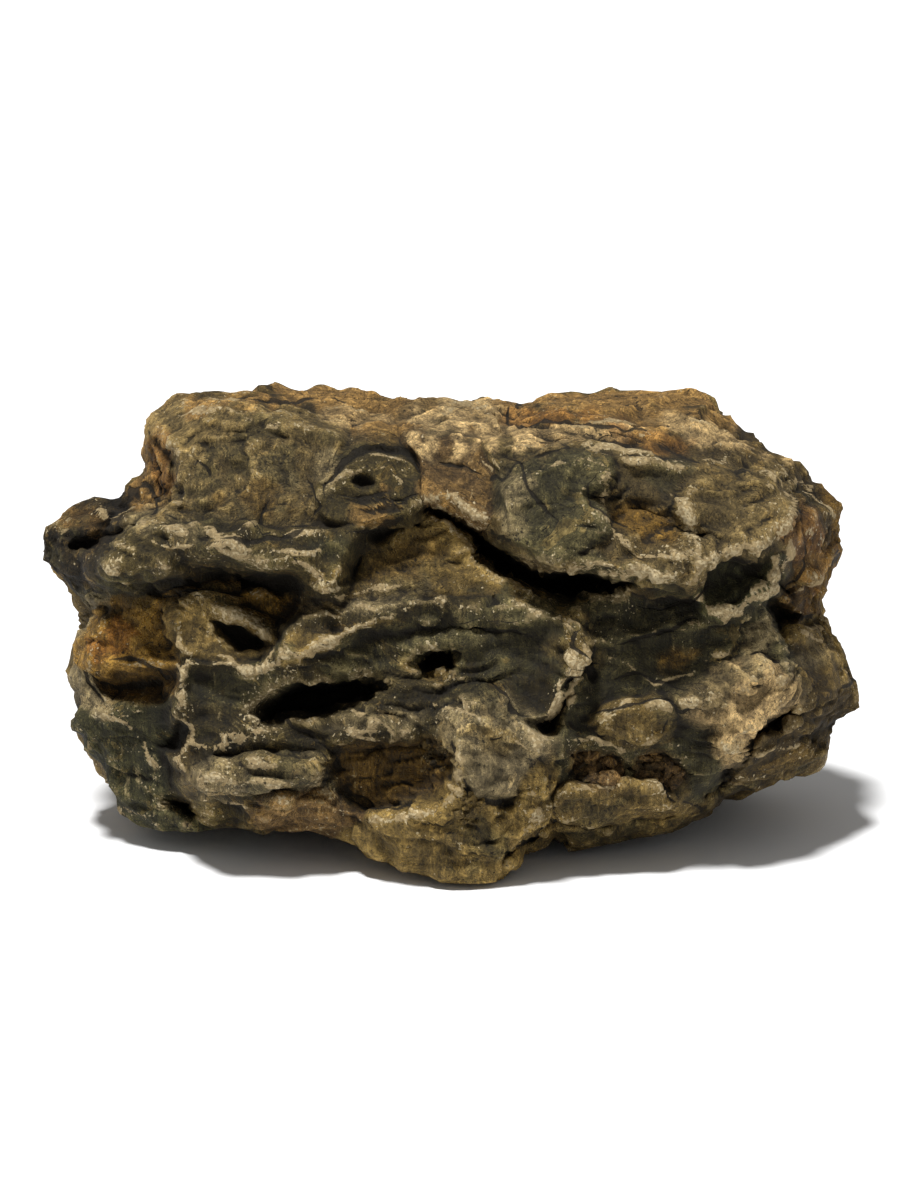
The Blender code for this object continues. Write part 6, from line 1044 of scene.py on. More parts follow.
def weathering(points):
    """How far rain and wear have cut into the rock, in mm, for points in space.

    Scoops, gouges and nicks are the squared distance to scattered seeds, which gives bowls that meet in
    sharp crests. Beds are a saw-tooth of the height above a tilted, wandering plane, which gives thin broken
    ledges. Lumps are a broad noise.
    """
    bend = np.stack([fractal(points, BEND_SIZE, 3, seed) for seed in (41, 51, 61)], 1)
    bent = points + BEND * bend
    scoops = nearest_seed(bent / SCOOP, 71) ** 2
    gouges = nearest_seed(bent / GOUGE, 77) ** 2
    nicks = nearest_seed(bent / NICK, 81) ** 2
    rugged = smooth_step(fractal(points, RUGGED_SIZE, 2, 87), *RUGGED_EDGE)
    rugged = RUGGED_LEAST + (1 - RUGGED_LEAST) * rugged
    level = (bent @ BED_NORMAL + BED_WANDER * fractal(points, BED_WANDER_SIZE, 2, 93)) / BED
    crests = 1 - 2 * np.abs(fractal(bent / CREST, 1.0, 3, 97))
    lumps = fractal(points, LUMP_SIZE, 2, 95)
    cuts = GOUGE_DEPTH * (gouges - BOWL_MEAN) + NICK_DEPTH * (nicks - BOWL_MEAN)
    return (
        SCOOP_DEPTH * (scoops - BOWL_MEAN),
        rugged * cuts + CREST_DEPTH * (crests - CREST_MEAN),
        BED_DEPTH * leaved(points, level, BED_FOOT, BED_PATCH, BED_EDGE, 91),
        lumps,
    )


def leaved(points, level, foot, patch, edge, seed):
    """A saw-tooth of the level, 0 at the foot of each bed and 1 just below its top, in patches."""
    part = level - np.floor(level)
    patchy = smooth_step(fractal(points, patch, 2, seed), *edge)
    return part ** 2 * smooth_step(1 - part, 0.0, foot) * patchy


def terraces(points, size, count, rise, seed):
    """Ledges that run along the beds: 0 at each one's foot, quickly up to 0.8, and slowly down to 0.

    They follow the level lines of count times a noise plus the height over the beds in steps of rise.
    """
    field = count * fractal(points / LEDGE_STRETCH, size, 4, seed) + points @ BED_NORMAL / rise
    part = field - np.floor(field)
    return smooth_step(part, 0.0, LEDGE_FOOT) - part


def fine_wear(points):
    """The finest wear, in mm: thin leaves of the beds, and apart from them all the rest.

    The rest is chips, which are small bowls around scattered seeds, broad and narrow ledges in patches
    between which the clay is smooth, and a rough grain.
    """
    bend = np.stack([fractal(points, CHIP_BEND_SIZE, 2, seed) for seed in (141, 151, 161)], 1)
    bent = points + CHIP_BEND * bend
    chips = nearest_seed(bent / CHIP, 171) ** 2 - BOWL_MEAN
    level = (bent @ BED_NORMAL + LEAF_WANDER * fractal(points, LEAF_WANDER_SIZE, 2, 193)) / LEAF
    ledged = smooth_step(fractal(points, LEDGED_PATCH, 2, 209), *LEDGED_EDGE)
    ledged = LEDGED_LEAST + (1 - LEDGED_LEAST) * ledged
    ledges = LEDGE_DEPTH * terraces(bent, LEDGE_SIZE, LEDGE_COUNT, LEDGE_RISE, 203)
    ledges += SMALL_LEDGE_DEPTH * terraces(bent, SMALL_LEDGE_SIZE, SMALL_LEDGE_COUNT, SMALL_LEDGE_RISE, 213)
    rest = CHIP_DEPTH * chips + ROUGH_DEPTH * fractal(points, ROUGH_SIZE, 3, 197) + ledges * ledged
    return LEAF_DEPTH * leaved(points, level, LEAF_FOOT, LEAF_PATCH, LEAF_EDGE, 199), rest


def weathered_block(around, along, front_share, depth_share, fine_depth, palette):
    """The block with its weathering, as a closed grid of points whose first and last columns are the tips.

    With it comes what rough_block() tells of each point. Wear lies along normals of the smoothed grid.
    """
    points, known = rough_block(*even_angles(around, along, front_share, palette), palette)
    share, front = known["share"], known["front"]
    for grid in (points, known["tone"]):
        close_tips(grid)
    points = softened(softened(points, EASED), RELAXED, evenly=False)
    side = 1 - smooth_step(share, *SIDE_SMOOTHED)
    points += side[..., None] * (softened(points, SIDE_EASED) - points)
    normal = outward(softened(points, NORMAL_EASED))
    scoops, nicks, beds, lumps = (cut.reshape(share.shape) for cut in weathering(points.reshape(-1, 3)))
    bare = np.where(front, 1 - smooth_step(share, *SHELTERED), 1.0)
    bedded = np.maximum(bare, smooth_step(known["b"], *BEDDED_FROM))
    open_share = 1 - SHELTER * known["sunk"]
    depth = (FACE_SCOOPS + (BARE_SCOOPS - FACE_SCOOPS) * bare) * open_share * scoops
    depth += (FACE_NICKS + (BARE_NICKS - FACE_NICKS) * bare) * open_share * nicks
    depth += (FACE_BEDS + (BARE_BEDS - FACE_BEDS) * bedded) * beds
    depth += LUMP_DEPTH * lumps * bare * smooth_step(share, 0.0, NEAR_RIM)
    points = points + depth_share * normal * depth[..., None]
    leaves, rest = (cut.reshape(share.shape) for cut in fine_wear(points.reshape(-1, 3)))
    wear = fine_depth * ((LEAF_LEAST + (1 - LEAF_LEAST) * bedded) * leaves + rest - FINE_MEAN)
    wear *= SIDE_WEAR + (1 - SIDE_WEAR) * smooth_step(share, *SIDE_EDGE)
    wear[:, 0], wear[:, -1] = 0, 0
    return points + outward(softened(points, FINE_NORMAL_EASED)) * wear[..., None], known


def ground(x, y):
    """How low the stone may lie: a little below the floor inside the footprint, rising slowly outside it."""
    outside = np.maximum(-inset(x, y, rounded(FOOTPRINT)), 0)
    uneven = 1 + UNEVEN * fractal(plain(x, y, 0.0), UNEVEN_SIZE, 2, 101)
    return UNDERSIDE_RISE * uneven * outside - FOOT_CUT


def on_its_foot(points):
    """The points with the underside inside the footprint drawn down to the floor, and the tips closed."""
    x, y, z = points.reshape(-1, 3).T
    within = smooth_step(inset(x, y, rounded(FOOTPRINT)), 0, FOOT_EDGE)
    height = z + FOOT_CUT
    drawn = height * smooth_step(height, *SETTLE)
    z = np.maximum(height + within * (drawn - height) - FOOT_CUT, ground(x, y))
    points = np.stack([x, y, np.maximum(z, 0)], -1).reshape(points.shape)
    close_tips(points)
    return points


def standing_proud(points, passes):
    """How far each point stands out of the surface smoothed over so many passes, less than 0 in dips."""
    smooth = points
    for _ in range(passes):
        smooth = smooth + SMOOTHING * (sum(neighbours(smooth)) / 4 - smooth)
    return ((points - smooth) * outward(smooth)).sum(-1)


def closed_grid(points):
    """The corners, face loops and face sizes of a grid: quads between its rings, and a fan at each tip."""
    around, along = points.shape[:2]
    rings = along - 2
    row, column = np.meshgrid(np.arange(around), np.arange(rings - 1), indexing="ij")
    after = (row + 1) % around
    here, there = row * rings + column, after * rings + column
    quads = np.stack([here, there, there + 1, here + 1], -1).reshape(-1, 4)
    first = np.arange(around)
    second = (first + 1) % around
    right_tip, left_tip = np.full(around, around * rings), np.full(around, around * rings + 1)
    fans = np.concatenate([
        np.stack([right_tip, second * rings, first * rings], 1),
        np.stack([left_tip, (first + 1) * rings - 1, (second + 1) * rings - 1], 1),
    ])
    sizes = np.concatenate([np.full(len(quads), 4), np.full(len(fans), 3)])
    return per_vertex(points), np.concatenate([quads.ravel(), fans.ravel()]), sizes


def chip_shapes(count, random):
    """Angular chips about the origin, one unit across, as grids of points.

    Each is a ball whose points p go to p / (|x|^k + |y|^k + |z|^k)^(1/k), a rounded box, and are then
    stretched and cut by a random slope so that no two are alike.
    """
    turn = np.linspace(0, 2 * np.pi, CHIP_SIDES, endpoint=False)
    turn, rise = np.meshgrid(turn, np.linspace(0, np.pi, CHIP_RINGS), indexing="ij")
    ball = np.stack([np.sin(rise) * np.cos(turn), np.sin(rise) * np.sin(turn), np.cos(rise)], -1)
    box = ball / (np.abs(ball) ** CHIP_SQUARE).sum(-1, keepdims=True) ** (1 / CHIP_SQUARE)
    shapes = np.tile(box, (count, 1, 1, 1)) * random.uniform(CHIP_LEAST, CHIP_MOST, (count, 1, 1, 3))
    shear = random.uniform(-CHIP_SLOPE, CHIP_SLOPE, (count, 1, 1, 2))
    shapes[..., 0] += shear[..., 0] * shapes[..., 2] + CHIP_TWIST * shapes[..., 1]
    shapes[..., 1] += shear[..., 1] * shapes[..., 2]
    shapes += random.normal(0, CHIP_ROUGH, shapes.shape)
    shapes[:, :, 0], shapes[:, :, -1] = shapes[:, :1, 0], shapes[:, :1, -1]
    return shapes * 0.5


def per_vertex(grid):
    """The grid's values in the order of the mesh's vertices, the tips last."""
    flat = grid[:, 1:-1].reshape((-1,) + grid.shape[2:])
    return np.concatenate([flat, grid[:1, 0], grid[:1, -1]])


def fill_mesh(mesh, corners, loops, sizes):
    """Puts vertices and faces, as the vertex numbers around each and how many each has, into the mesh."""
    mesh.vertices.add(len(corners))
    mesh.vertices.foreach_set("co", corners.astype(np.float32).ravel())
    mesh.loops.add(len(loops))
    mesh.loops.foreach_set("vertex_index", loops.astype(np.int32))
    mesh.polygons.add(len(sizes))
    starts = np.concatenate([[0], np.cumsum(sizes)[:-1]])
    mesh.polygons.foreach_set("loop_start", starts.astype(np.int32))
    mesh.polygons.foreach_set("use_smooth", np.ones(len(sizes), bool))
    mesh.update(calc_edges=True)
    mesh.validate()


def add_values(mesh, name, values):
    """Stores one number, or one colour, for each vertex."""
    if values.ndim == 1:
        mesh.attributes.new(name, "FLOAT", "POINT").data.foreach_set("value", values.astype(np.float32))
        return
    colours = np.concatenate([np.clip(values, 0, 1), np.ones((len(values), 1))], 1)
    layer = mesh.attributes.new(name, "FLOAT_COLOR", "POINT")
    layer.data.foreach_set("color", colours.astype(np.float32).ravel())


class Value:
    """One output socket of a node. Sums written with it add Math nodes."""

    def __init__(self, shading, socket):
        self.shading, self.socket = shading, socket

    def maths(self, operation, *values):
        """A Math node on these values."""
        return self.shading.node("ShaderNodeMath", {"operation": operation}, dict(enumerate(values)))

    def __add__(self, other):
        return self.maths("ADD", self, other)

    def __mul__(self, other):
        return self.maths("MULTIPLY", self, other)

    def __sub__(self, other):
        return self.maths("SUBTRACT", self, other)

    def __rsub__(self, other):
        return self.maths("SUBTRACT", other, self)

    __radd__ = __add__
    __rmul__ = __mul__

    def step(self, low, high):
        """0 where it is below low, 1 above high, eased between."""
        eased = {"interpolation_type": "SMOOTHSTEP"}
        return self.shading.node("ShaderNodeMapRange", eased, {0: self, 1: low, 2: high, 3: 0.0, 4: 1.0})

    def kept(self, low, high):
        """The value, kept from low to high."""
        return self.shading.node("ShaderNodeClamp", {}, {0: self, 1: low, 2: high})


class Shading:
    """The nodes of one material or of the world, whose last node but the output has the given name."""

    def __init__(self, owner, last):
        owner.use_nodes = True
        self.owner, self.tree = owner, owner.node_tree
        self.last = self.tree.nodes[last]

    def node(self, kind, settings=None, inputs=None, output=0):
        """Adds a node, sets its settings and then its sockets, and gives one of its outputs."""
        made = self.tree.nodes.new(kind)
        for name, value in (settings or {}).items():
            setattr(made, name, value)
        for name, value in (inputs or {}).items():
            self.feed(made.inputs[name], value)
        return Value(self, made.outputs[output])

    def feed(self, socket, value):
        """Links a Value to the socket, or sets it to a number or colour."""
        if isinstance(value, Value):
            self.tree.links.new(value.socket, socket)
        else:
            socket.default_value = value

    def give(self, name, value):
        """Feeds the last node's socket of that name."""
        self.feed(self.last.inputs[name], value)

    def place(self):
        """Object coordinates in millimetres."""
        return self.moved("SCALE", self.node("ShaderNodeTexCoord", output="Object"), 1 / MM)

    def noise(self, place, size, detail=3.0, rough=0.55, warp=0.0):
        """Noise around 0, from about -1 to 1, with its largest forms about `size` mm across."""
        made = self.node("ShaderNodeTexNoise", {"noise_dimensions": "3D"}, {
            "Vector": place, "Scale": 1 / size, "Detail": detail, "Roughness": rough, "Distortion": warp,
        })
        return (made - 0.5) * NOISE_SPREAD

    def leaves(self, place, size, count):
        """Leaves that overlap like scales, bounded by the level lines of a noise times count.

        Gives their height in levels with eased steps, how near a point is to its leaf's upper edge, less
        how near it is to the foot of the next, which the clay takes as a painted highlight on each edge and
        painted shade at each foot, and a random number from -0.5 to 0.5 for each leaf.
        """
        field = self.noise(place, size, detail=7.0, rough=0.6, warp=0.7) * count
        level = field.maths("FLOOR", field)
        part = field - level
        hue = self.node("ShaderNodeTexWhiteNoise", {"noise_dimensions": "1D"}, {"W": level}) - 0.5
        painted_leaf_edges = (1.0 - part.step(0.1, 0.3)) - part.step(0.8, 1.0) * 1.6
        return level + part.step(0.0, 0.15), painted_leaf_edges, hue

    def cells(self, place, size, bend):
        """A random number from -1 to 1 for each of the chips that a bent Voronoi pattern marks off."""
        pattern = {"Vector": place, "Scale": 1 / size, "Detail": 3.0}
        shift = self.node("ShaderNodeTexNoise", {}, pattern, output="Color")
        bent = self.moved("ADD", place, self.moved("SCALE", shift, bend))
        colour = self.node("ShaderNodeTexVoronoi", {}, {"Vector": bent, "Scale": 1 / size}, output="Color")
        return self.node("ShaderNodeSeparateColor", {}, {0: colour}) * 2.0 - 1.0

    def moved(self, operation, vector, amount):
        """Vector Math on a place or colour."""
        key = 3 if operation == "SCALE" else 1
        return self.node("ShaderNodeVectorMath", {"operation": operation}, {0: vector, key: amount})

    def mix(self, share, first, second):
        """The first colour, with the second mixed in by share."""
        colours = {"data_type": "RGBA", "clamp_factor": True}
        return self.node("ShaderNodeMix", colours, {0: share, 6: first, 7: second}, output=2)

    def attribute(self, name, output="Fac"):
        """A value stored on the piece's vertices."""
        return self.node("ShaderNodeAttribute", {"attribute_name": name}, output=output)


def clear(colour):
    """A palette colour with full alpha."""
    return tuple(float(part) for part in colour) + (1.0,)


def rock(name, finish, palette):
    """Weathered clay rock: skins of other clay in leaves, fibres down the face, crust, dirt, and painted
    light and shade.

    Every mask is a weighted sum of noises around 0 and of what the vertices hold, cut off by step(). The
    weights are shares of each, and the sizes of the noises are in millimetres.
    """
    shading = Shading(bpy.data.materials.new(name), "Principled BSDF")
    ochre, slate, pale, crust, flecks, dirt_and_shade = (
        clear(palette[colour]) for colour in ("ochre", "slate", "pale", "crust", "fleck", "dirt_and_shade")
    )
    place = shading.place()
    tone = shading.attribute("tone", "Color")
    crest, ridge, swell, sunk, worn, seam, split = (
        shading.attribute(part) for part in ("crest", "ridge", "swell", "sunk", "worn", "seam", "split")
    )
    leaning = shading.node("ShaderNodeMapping", {}, {
        "Vector": place, "Rotation": (-FACE_LEAN, 0.0, 0.0), "Scale": (1.0, 1.0, finish.streak_share),
    })
    broad = shading.noise(place, 36.0)
    patch = shading.noise(place, 14.0, detail=6.0, rough=0.6, warp=0.8)
    mottle = shading.noise(place, 4.6, detail=6.0, rough=0.65, warp=0.6)
    freckle = shading.noise(place, 1.3, detail=4.0, rough=0.75)
    streak = shading.noise(leaning, finish.streak_width, detail=4.0, rough=0.7, warp=0.3)
    wide_streak = shading.noise(leaning, 3.0, detail=6.0, rough=0.7, warp=0.5)
    level, painted_leaf_edges, hue = shading.leaves(place, 16.0, count=6.0)
    small_level, small_painted_leaf_edges, small_hue = shading.leaves(place, 5.5, count=3.5)
    chip = shading.cells(place, 3.0, bend=5.0)
    rugged = (broad + 0.7 * patch).step(-0.25, 0.45)

    # Skins of other clay, each leaf with its own
    warm = shading.mix(0.5, shading.moved("SCALE", tone, 1.3), ochre)
    bright = shading.moved("SCALE", tone, 1.8)
    veil = shading.mix((hue + 0.6 * patch + 0.3 * mottle).step(0.25, 0.35) * 0.4, tone, warm)
    veil = shading.mix((small_hue - 0.5 * patch).step(0.25, 0.35) * 0.35, veil, bright)
    veil = shading.mix((broad - 0.6 * patch + 0.3 * mottle).step(0.35, 0.55) * 0.5, veil, slate)
    veil = shading.mix((wide_streak + 0.6 * patch - 0.3 * mottle).step(0.5, 0.65) * 0.45, veil, pale)

    # Light and dark: grain, fibres as fine strokes, painted highlights on leaf edges and proud places,
    # painted shade at leaf feet and in dips
    strokes = streak.step(0.18, 0.36) - (0.0 - streak).step(0.16, 0.34)
    fine = 0.7 * mottle + 0.4 * streak + 0.35 * strokes + 0.18 * freckle + 0.15 * chip
    power = fine * (0.35 + 0.6 * rugged) + 0.6 * patch + 0.9 * wide_streak
    power = power + 0.5 * hue + 0.5 * small_hue + 0.6 * painted_leaf_edges + 0.5 * small_painted_leaf_edges
    # crest, ridge and swell paint light where the surface stands proud and shade in its dips; the brightest
    # places are then mixed towards pale
    power = power + 0.3 * crest + 0.25 * ridge + 0.15 * swell + finish.brightness
    light = power.maths("POWER", finish.contrast, power).kept(0.08, 5.0)
    body = shading.moved("SCALE", veil, light)
    body = shading.mix(power.step(0.3, 1.2) * 0.25, body, pale)

    # Crust: a broad patch near the crests, and thin broken lines along the edges, partly the clay's crust on
    # worn edges and partly a painted highlight on proud crests
    crust_and_highlight = 0.4 * worn + 0.3 * crest + 0.3 * ridge + 1.0 * patch + 0.5 * mottle + 0.3 * freckle
    crust_and_highlight = crust_and_highlight.step(0.9, 1.1)
    crusted = shading.mix(0.35, crust, shading.moved("SCALE", veil, 1.6))
    crusted = shading.moved("SCALE", crusted, 0.75 + 0.5 * mottle + 0.4 * freckle + 0.4 * streak)
    body = shading.mix(crust_and_highlight * finish.crust * 0.75, body, crusted)
    line = (1.1 * worn + 0.35 * crest + 0.6 * patch + 0.5 * mottle + 0.4 * freckle).step(1.05, 1.15)
    body = shading.mix(line * finish.crust, body, crust)
    speck = shading.noise(place, 1.1, detail=2.0, rough=0.5)
    fleck = (speck + 0.6 * patch + 0.2 * ridge + 0.3 * worn).step(0.8, 0.9)
    body = shading.mix(fleck * (1.0 - sunk) * 0.8, body, flecks)

    # Dark clay: painted shade in dips, dirt and painted shade in the depth of hollows and creases, dark pores
    # and cracks
    painted_dip_shade = 0.0 - 0.1 * ridge - 0.75 * crest - 0.1 * swell + 0.35 * mottle + 0.3 * freckle
    body = shading.mix(painted_dip_shade.step(0.6, 0.95) * 0.75, body, dirt_and_shade)
    pore = (shading.noise(place, 1.5, rough=0.6) - 0.5 * patch).step(0.55, 0.63)
    body = shading.mix(pore * 0.85, body, dirt_and_shade)
    # dirt and painted shade in the depth of hollows and creases
    hollow_dirt_and_shade = (sunk + 0.12 * mottle + 0.08 * freckle).step(0.64, 0.78)
    body = shading.mix(hollow_dirt_and_shade * 0.94, body, dirt_and_shade)
    gap = split * (0.9 + 0.7 * mottle + 0.3 * freckle) - seam.maths("ABSOLUTE", seam)
    cleft = gap.step(-0.05, 0.2) * split.step(0.05, 0.2)
    body = shading.mix(cleft * 0.9, body, dirt_and_shade)
    shading.give("Base Color", body)

    rough = finish.roughness - 0.14 * (broad + patch).step(0.2, 1.2) + 0.05 * mottle + 0.1 * crust_and_highlight
    shading.give("Roughness", rough.kept(0.45, 1.0))
    shading.give("Specular IOR Level", 0.3)

    grained = (0.7 * mottle + 0.25 * streak + 0.25 * strokes + 0.2 * freckle) * (0.4 + 0.6 * rugged)
    height = grained - 0.8 * pore - 1.5 * cleft + 0.5 * wide_streak + 1.2 * level + 0.9 * small_level
    height = height + 0.4 * line + 0.2 * crust_and_highlight + 0.3 * fleck
    bump = {"Strength": 1.0, "Distance": finish.grain * MM, "Height": height}
    shading.give("Normal", shading.node("ShaderNodeBump", {}, bump))
    return shading.owner


def plain_material(name, colour, roughness):
    """An even matt paint, with a faint unevenness so that it doesn't look like plastic."""
    shading = Shading(bpy.data.materials.new(name), "Principled BSDF")
    shade = 1.0 + 0.01 * shading.noise(shading.place(), 90.0, detail=2.0)
    even = shading.node("ShaderNodeCombineColor", {}, dict(enumerate(colour)))
    shading.give("Base Color", shading.moved("SCALE", even, shade))
    shading.give("Roughness", roughness)
    shading.give("Specular IOR Level", 0.1)
    return shading.owner


def tint(name, about, colour):
    """A colour that a user may change."""
    return FloatVectorProperty(
        name=name, description=about, size=3, subtype="COLOR", default=colour, min=0, max=1
    )


class StoneColours(bpy.types.PropertyGroup):
    """The colours of the clay and of what lies on it."""

    slate: tint("Slate", "Blue-grey clay of the hard slabs", (0.056, 0.0463, 0.0166))
    grey: tint("Grey", "Grey-brown skin of the brow and lips", (0.138, 0.0946, 0.0323))
    pale: tint("Pale", "Pale grey clay on ridges", (0.26, 0.197, 0.094))
    cream: tint("Cream", "Cream crust", (0.5, 0.34, 0.146))
    gold: tint("Gold", "Golden beds of the top", (0.32, 0.182, 0.051))
    ochre: tint("Ochre", "Ochre veils", (0.15, 0.0818, 0.0131))
    rust: tint("Rust", "Rusty stains", (0.25, 0.0985, 0.0123))
    tan: tint("Tan", "Tan clay", (0.13, 0.0847, 0.0227))
    umber: tint("Umber", "Dark brown clay", (0.058, 0.0364, 0.00874))
    olive: tint("Olive", "Olive-brown clay", (0.088, 0.0621, 0.0158))
    moss: tint("Moss", "Dark green-grey clay", (0.046, 0.0414, 0.0148))
    plum: tint("Plum", "Reddish clay", (0.155, 0.0886, 0.0271))
    crust: tint("Crust", "Crust on worn edges", (0.42, 0.31, 0.155))
    fleck: tint("Fleck", "Small mineral flecks", (0.62, 0.5, 0.292))
    # dirt, and painted shade in dips, creases and the depth of hollows
    dirt_and_shade: tint("Soil", "Dirt in dips and hollows", (0.01, 0.0069, 0.00262))


class StoneShape(bpy.types.PropertyGroup):
    """The sizes of the stone's surface."""

    around: IntProperty(
        name="Around", description="Points around the long axis", default=360, min=90, max=360
    )
    along: IntProperty(name="Along", description="Points from tip to tip", default=274, min=70, max=274)
    front_share: FloatProperty(
        name="Front share", description="How much more of the points lie in front", subtype="FACTOR",
        default=0.45, min=0, max=0.8,
    )
    wear: FloatProperty(
        name="Wear", description="Depth of the weathering, as a share of the model's", subtype="FACTOR",
        default=1.0, min=0, max=2,
    )
    fine_wear: FloatProperty(
        name="Fine wear", description="Depth of the chips and ledges, as a share", subtype="FACTOR",
        default=1.0, min=0, max=3,
    )


class StoneFinish(bpy.types.PropertyGroup):
    """How the clay's skin looks."""

    grain: FloatProperty(
        name="Grain", description="Depth of the grain, in millimetres", default=0.4, min=0, max=2
    )
    streak_width: FloatProperty(
        name="Streak width", description="Width of the streaks down the face, in millimetres",
        default=0.8, min=0.2,
    )
    streak_share: FloatProperty(
        name="Streak share", description="Their width as a share of their length", subtype="FACTOR",
        default=0.12, min=0.02, max=1,
    )
    crust: FloatProperty(name="Crust", description="Strength of the crust", subtype="FACTOR", default=0.8)
    contrast: FloatProperty(
        name="Contrast", description="How many times brighter one step is", default=3.0, min=1, max=5
    )
    brightness: FloatProperty(
        name="Brightness", description="Steps by which the clay is brightened", default=-0.17
    )
    roughness: FloatProperty(name="Roughness", description="Mean roughness", subtype="FACTOR", default=0.8)


class StoneCrumbs(bpy.types.PropertyGroup):
    """The loose crumbs in the pits."""

    seed: IntProperty(name="Seed", description="Another number gives another scatter", default=5, min=0)


class StageSizes(bpy.types.PropertyGroup):
    """The camera and the lights."""

    aim: FloatVectorProperty(
        name="Aim", description="What the camera looks at", size=3, subtype="TRANSLATION",
        default=(0.0, 0.0056, 0.0686),
    )
    height: FloatProperty(
        name="Elevation", description="Camera above the horizon", subtype="ANGLE", default=math.radians(15)
    )
    distance: FloatProperty(name="Distance", description="Camera to aim", unit="LENGTH", default=1.4, min=0.5)
    lens: FloatProperty(name="Lens", description="Focal length, in millimetres", default=140, min=20)
    key: FloatProperty(name="Key light", description="Strength of the soft key light", default=4.4, min=0)
    fill: FloatProperty(
        name="Fill light", description="Strength of the light from all round", default=0.29, min=0
    )
    floor: tint("Floor", "Colour of the floor", (0.86, 0.86, 0.86))


def palette_of(scene):
    """The stone's colours as arrays, by name."""
    colours = scene.stone_colours
    return {name: np.array(getattr(colours, name)) for name in StoneColours.__annotations__}


def add_piece(name, shapes, tones):
    """Adds one piece made of many small closed grids, each with its own colour, riding on the body."""
    corners, loops, sizes = closed_grid(shapes[0])
    per_shape = len(corners)
    every = np.stack([closed_grid(shape)[0] for shape in shapes])
    shift = np.arange(len(shapes))[:, None] * per_shape
    mesh = bpy.data.meshes.new(name)
    fill_mesh(mesh, every.reshape(-1, 3), (loops[None] + shift).ravel(), np.tile(sizes, len(shapes)))
    mesh.polygons.foreach_set("use_smooth", np.zeros(len(mesh.polygons), bool))
    add_values(mesh, "tone", np.repeat(tones, per_shape, 0))
    for part in ("sunk", "worn", "crest", "ridge", "swell", "split"):
        add_values(mesh, part, np.zeros(len(shapes) * per_shape))
    piece = bpy.data.objects.new(name, mesh)
    bpy.context.scene.collection.objects.link(piece)
    mesh.materials.append(bpy.data.materials[CLAY])
    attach(piece, "root")


def fitted(points, low, high):
    """The points moved and stretched, along each axis alone, so that their box is the given one."""
    flat = points.reshape(-1, 3)
    start, end = flat.min(0), flat.max(0)
    return (points - start) / (end - start) * (np.array(high) - np.array(low)) + np.array(low)


class DRAGONSTONE_OT_stone(bpy.types.Operator):
    """Build the stone with its weathering and clay"""

    bl_idname = "dragonstone.stone"
    bl_label = "Stone"

    def execute(self, context):
        scene = context.scene
        shape, palette = scene.stone_shape, palette_of(scene)
        points, known = weathered_block(
            shape.around, shape.along, shape.front_share, shape.wear, shape.fine_wear, palette
        )
        points = fitted(on_its_foot(points), *CAD_BOX)
        mesh = bpy.data.meshes.new("stone")
        fill_mesh(mesh, *closed_grid(points))
        for name in ("tone", "sunk", "worn", "seam", "split"):
            add_values(mesh, name, per_vertex(known[name]))
        place = np.stack([known["a"], known["b"], known["front"].astype(float)], -1)
        layer = mesh.attributes.new("face_place", "FLOAT_VECTOR", "POINT")
        layer.data.foreach_set("vector", per_vertex(place).astype(np.float32).ravel())
        for name, passes in STANDINGS.items():
            proud = per_vertex(standing_proud(points, passes))
            proud /= np.percentile(np.abs(proud), STANDING_SHARE)
            add_values(mesh, name, np.clip(proud, -STANDING_MOST, STANDING_MOST))
        if not len(mesh.vertices):
            raise RuntimeError("the stone has no surface")
        stone = bpy.data.objects.new("stone", mesh)
        scene.collection.objects.link(stone)
        mesh.materials.append(rock(CLAY, scene.stone_finish, palette))
        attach(stone, "root")
        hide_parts("dragon_stone")
        return {"FINISHED"}


class DRAGONSTONE_OT_crumbs(bpy.types.Operator):
    """Lay dried crumbs of clay in the pits, half sunk in the stone"""

    bl_idname = "dragonstone.crumbs"
    bl_label = "Crumbs"

    def execute(self, context):
        scene = context.scene
        stone = scene.objects.get("stone")
        if stone is None:
            raise RuntimeError("the crumbs need the stone first")
        crumbs, palette = scene.stone_crumbs, palette_of(scene)
        random = np.random.default_rng(crumbs.seed)
        mesh = stone.data
        corners, normals = np.empty(len(mesh.vertices) * 3), np.empty(len(mesh.vertices) * 3)
        mesh.vertices.foreach_get("co", corners)
        mesh.vertices.foreach_get("normal", normals)
        corners, normals = corners.reshape(-1, 3), normals.reshape(-1, 3)
        places = np.empty(len(mesh.vertices) * 3, np.float32)
        mesh.attributes["face_place"].data.foreach_get("vector", places)
        a, b, front = places.reshape(-1, 3).T
        shapes, tones = [], []
        for bed in CRUMB_BEDS:
            inside = inset(a, b, rounded(bed.outline))
            here = np.nonzero((inside > CRUMB_INSET) & (front > 0.5))[0]
            chosen = random.choice(here, bed.count)
            size = random.uniform(*bed.sizes, bed.count) * MM
            turn = random.normal(size=(bed.count, 3, 3))
            axes = np.linalg.qr(turn)[0]
            chips = np.einsum("nijk,nkl->nijl", chip_shapes(bed.count, random), axes)
            chips *= size[:, None, None, None]
            middle = corners[chosen] + normals[chosen] * size[:, None] * bed.proud
            shapes.append(chips + middle[:, None, None])
            tones.append(palette[bed.colour] * random.uniform(*CRUMB_SHADE, (bed.count, 1)))
        add_piece("crumbs", np.concatenate(shapes), np.concatenate(tones))
        return {"FINISHED"}


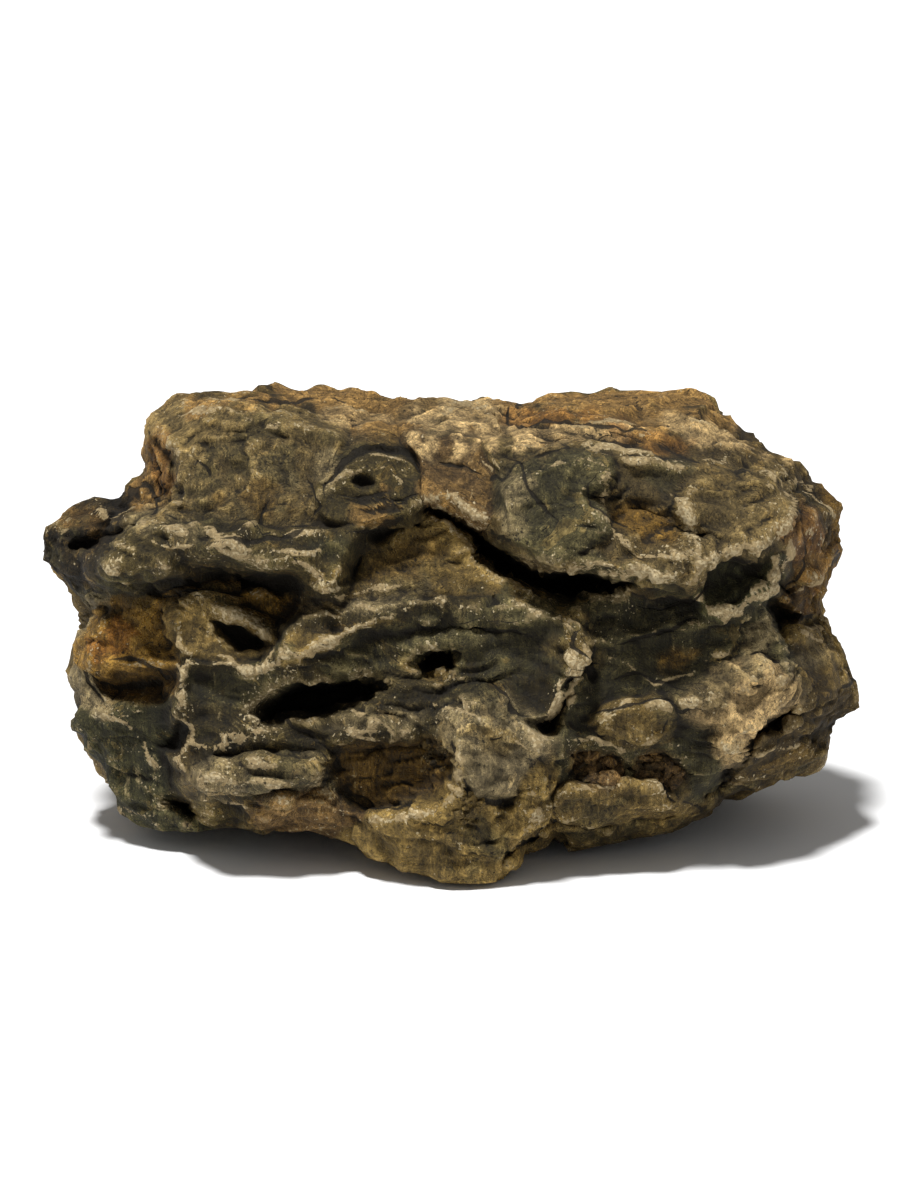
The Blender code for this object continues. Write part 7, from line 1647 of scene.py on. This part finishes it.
class DRAGONSTONE_OT_stage(bpy.types.Operator):
    """Lay a pale floor and set up a soft key light, an even fill and the camera"""

    bl_idname = "dragonstone.stage"
    bl_label = "Stage"

    def execute(self, context):
        scene, sizes = context.scene, context.scene.stage_sizes
        mesh = bpy.data.meshes.new("floor")
        corners = [(x * FLOOR_HALF, y * FLOOR_HALF, 0) for x, y in ((-1, -1), (1, -1), (1, 1), (-1, 1))]
        mesh.from_pydata(corners, [], [(0, 1, 2, 3)])
        mesh.materials.append(plain_material("floor_paint", sizes.floor, roughness=0.9))
        floor = bpy.data.objects.new("floor", mesh)
        scene.collection.objects.link(floor)

        sun = bpy.data.lights.new("key", "SUN")
        sun.energy = sizes.key
        sun.angle = SUN_ANGLE
        key = bpy.data.objects.new("key", sun)
        key.rotation_euler = Vector(SUN_DIRECTION).to_track_quat("-Z", "Y").to_euler()
        scene.collection.objects.link(key)

        sky = Shading(bpy.data.worlds.new("studio"), "Background")
        seen = sky.node("ShaderNodeLightPath", output="Is Camera Ray")
        strength = sky.node("ShaderNodeMapRange", {}, {"Value": seen, "To Min": sizes.fill, "To Max": 1.0})
        sky.give("Color", (1.0, 1.0, 1.0, 1.0))
        sky.give("Strength", strength)
        scene.world = sky.owner
        scene.view_settings.view_transform = "Standard"

        lens = bpy.data.cameras.new("camera")
        lens.lens, lens.sensor_width = sizes.lens, SENSOR
        camera = bpy.data.objects.new("camera", lens)
        back = Vector((0, -math.cos(sizes.height), math.sin(sizes.height)))
        camera.location = Vector(sizes.aim) + back * sizes.distance
        camera.rotation_euler = (-back).to_track_quat("-Z", "Y").to_euler()
        scene.collection.objects.link(camera)
        scene.camera = camera
        return {"FINISHED"}


GROUPS = {
    "stone_shape": StoneShape, "stone_colours": StoneColours, "stone_finish": StoneFinish,
    "stone_crumbs": StoneCrumbs, "stage_sizes": StageSizes,
}
OPERATORS = (DRAGONSTONE_OT_stone, DRAGONSTONE_OT_crumbs, DRAGONSTONE_OT_stage)


class DRAGONSTONE_PT_panel(bpy.types.Panel):
    """The stone's steps and what can be changed"""

    bl_label = "Dragon stone"
    bl_space_type = "VIEW_3D"
    bl_region_type = "UI"
    bl_category = "Dragon stone"

    def draw(self, context):
        for operator in OPERATORS:
            self.layout.operator(operator.bl_idname)
        for owner, group in GROUPS.items():
            box = self.layout.box()
            for name in group.__annotations__:
                box.prop(getattr(context.scene, owner), name)


def register():
    """Adds the classes and the scene's settings."""
    for group in GROUPS.values():
        bpy.utils.register_class(group)
    for owner, group in GROUPS.items():
        setattr(bpy.types.Scene, owner, PointerProperty(type=group))
    for operator in OPERATORS:
        bpy.utils.register_class(operator)
    bpy.utils.register_class(DRAGONSTONE_PT_panel)


def unregister():
    """Takes them away again."""
    bpy.utils.unregister_class(DRAGONSTONE_PT_panel)
    for operator in reversed(OPERATORS):
        bpy.utils.unregister_class(operator)
    for owner, group in GROUPS.items():
        delattr(bpy.types.Scene, owner)
        bpy.utils.unregister_class(group)


def main():
    """Builds the stone and its stage."""
    register()
    bpy.ops.dragonstone.stone()
    bpy.ops.dragonstone.crumbs()
    bpy.ops.dragonstone.stage()


if __name__ == "__main__":
    main()
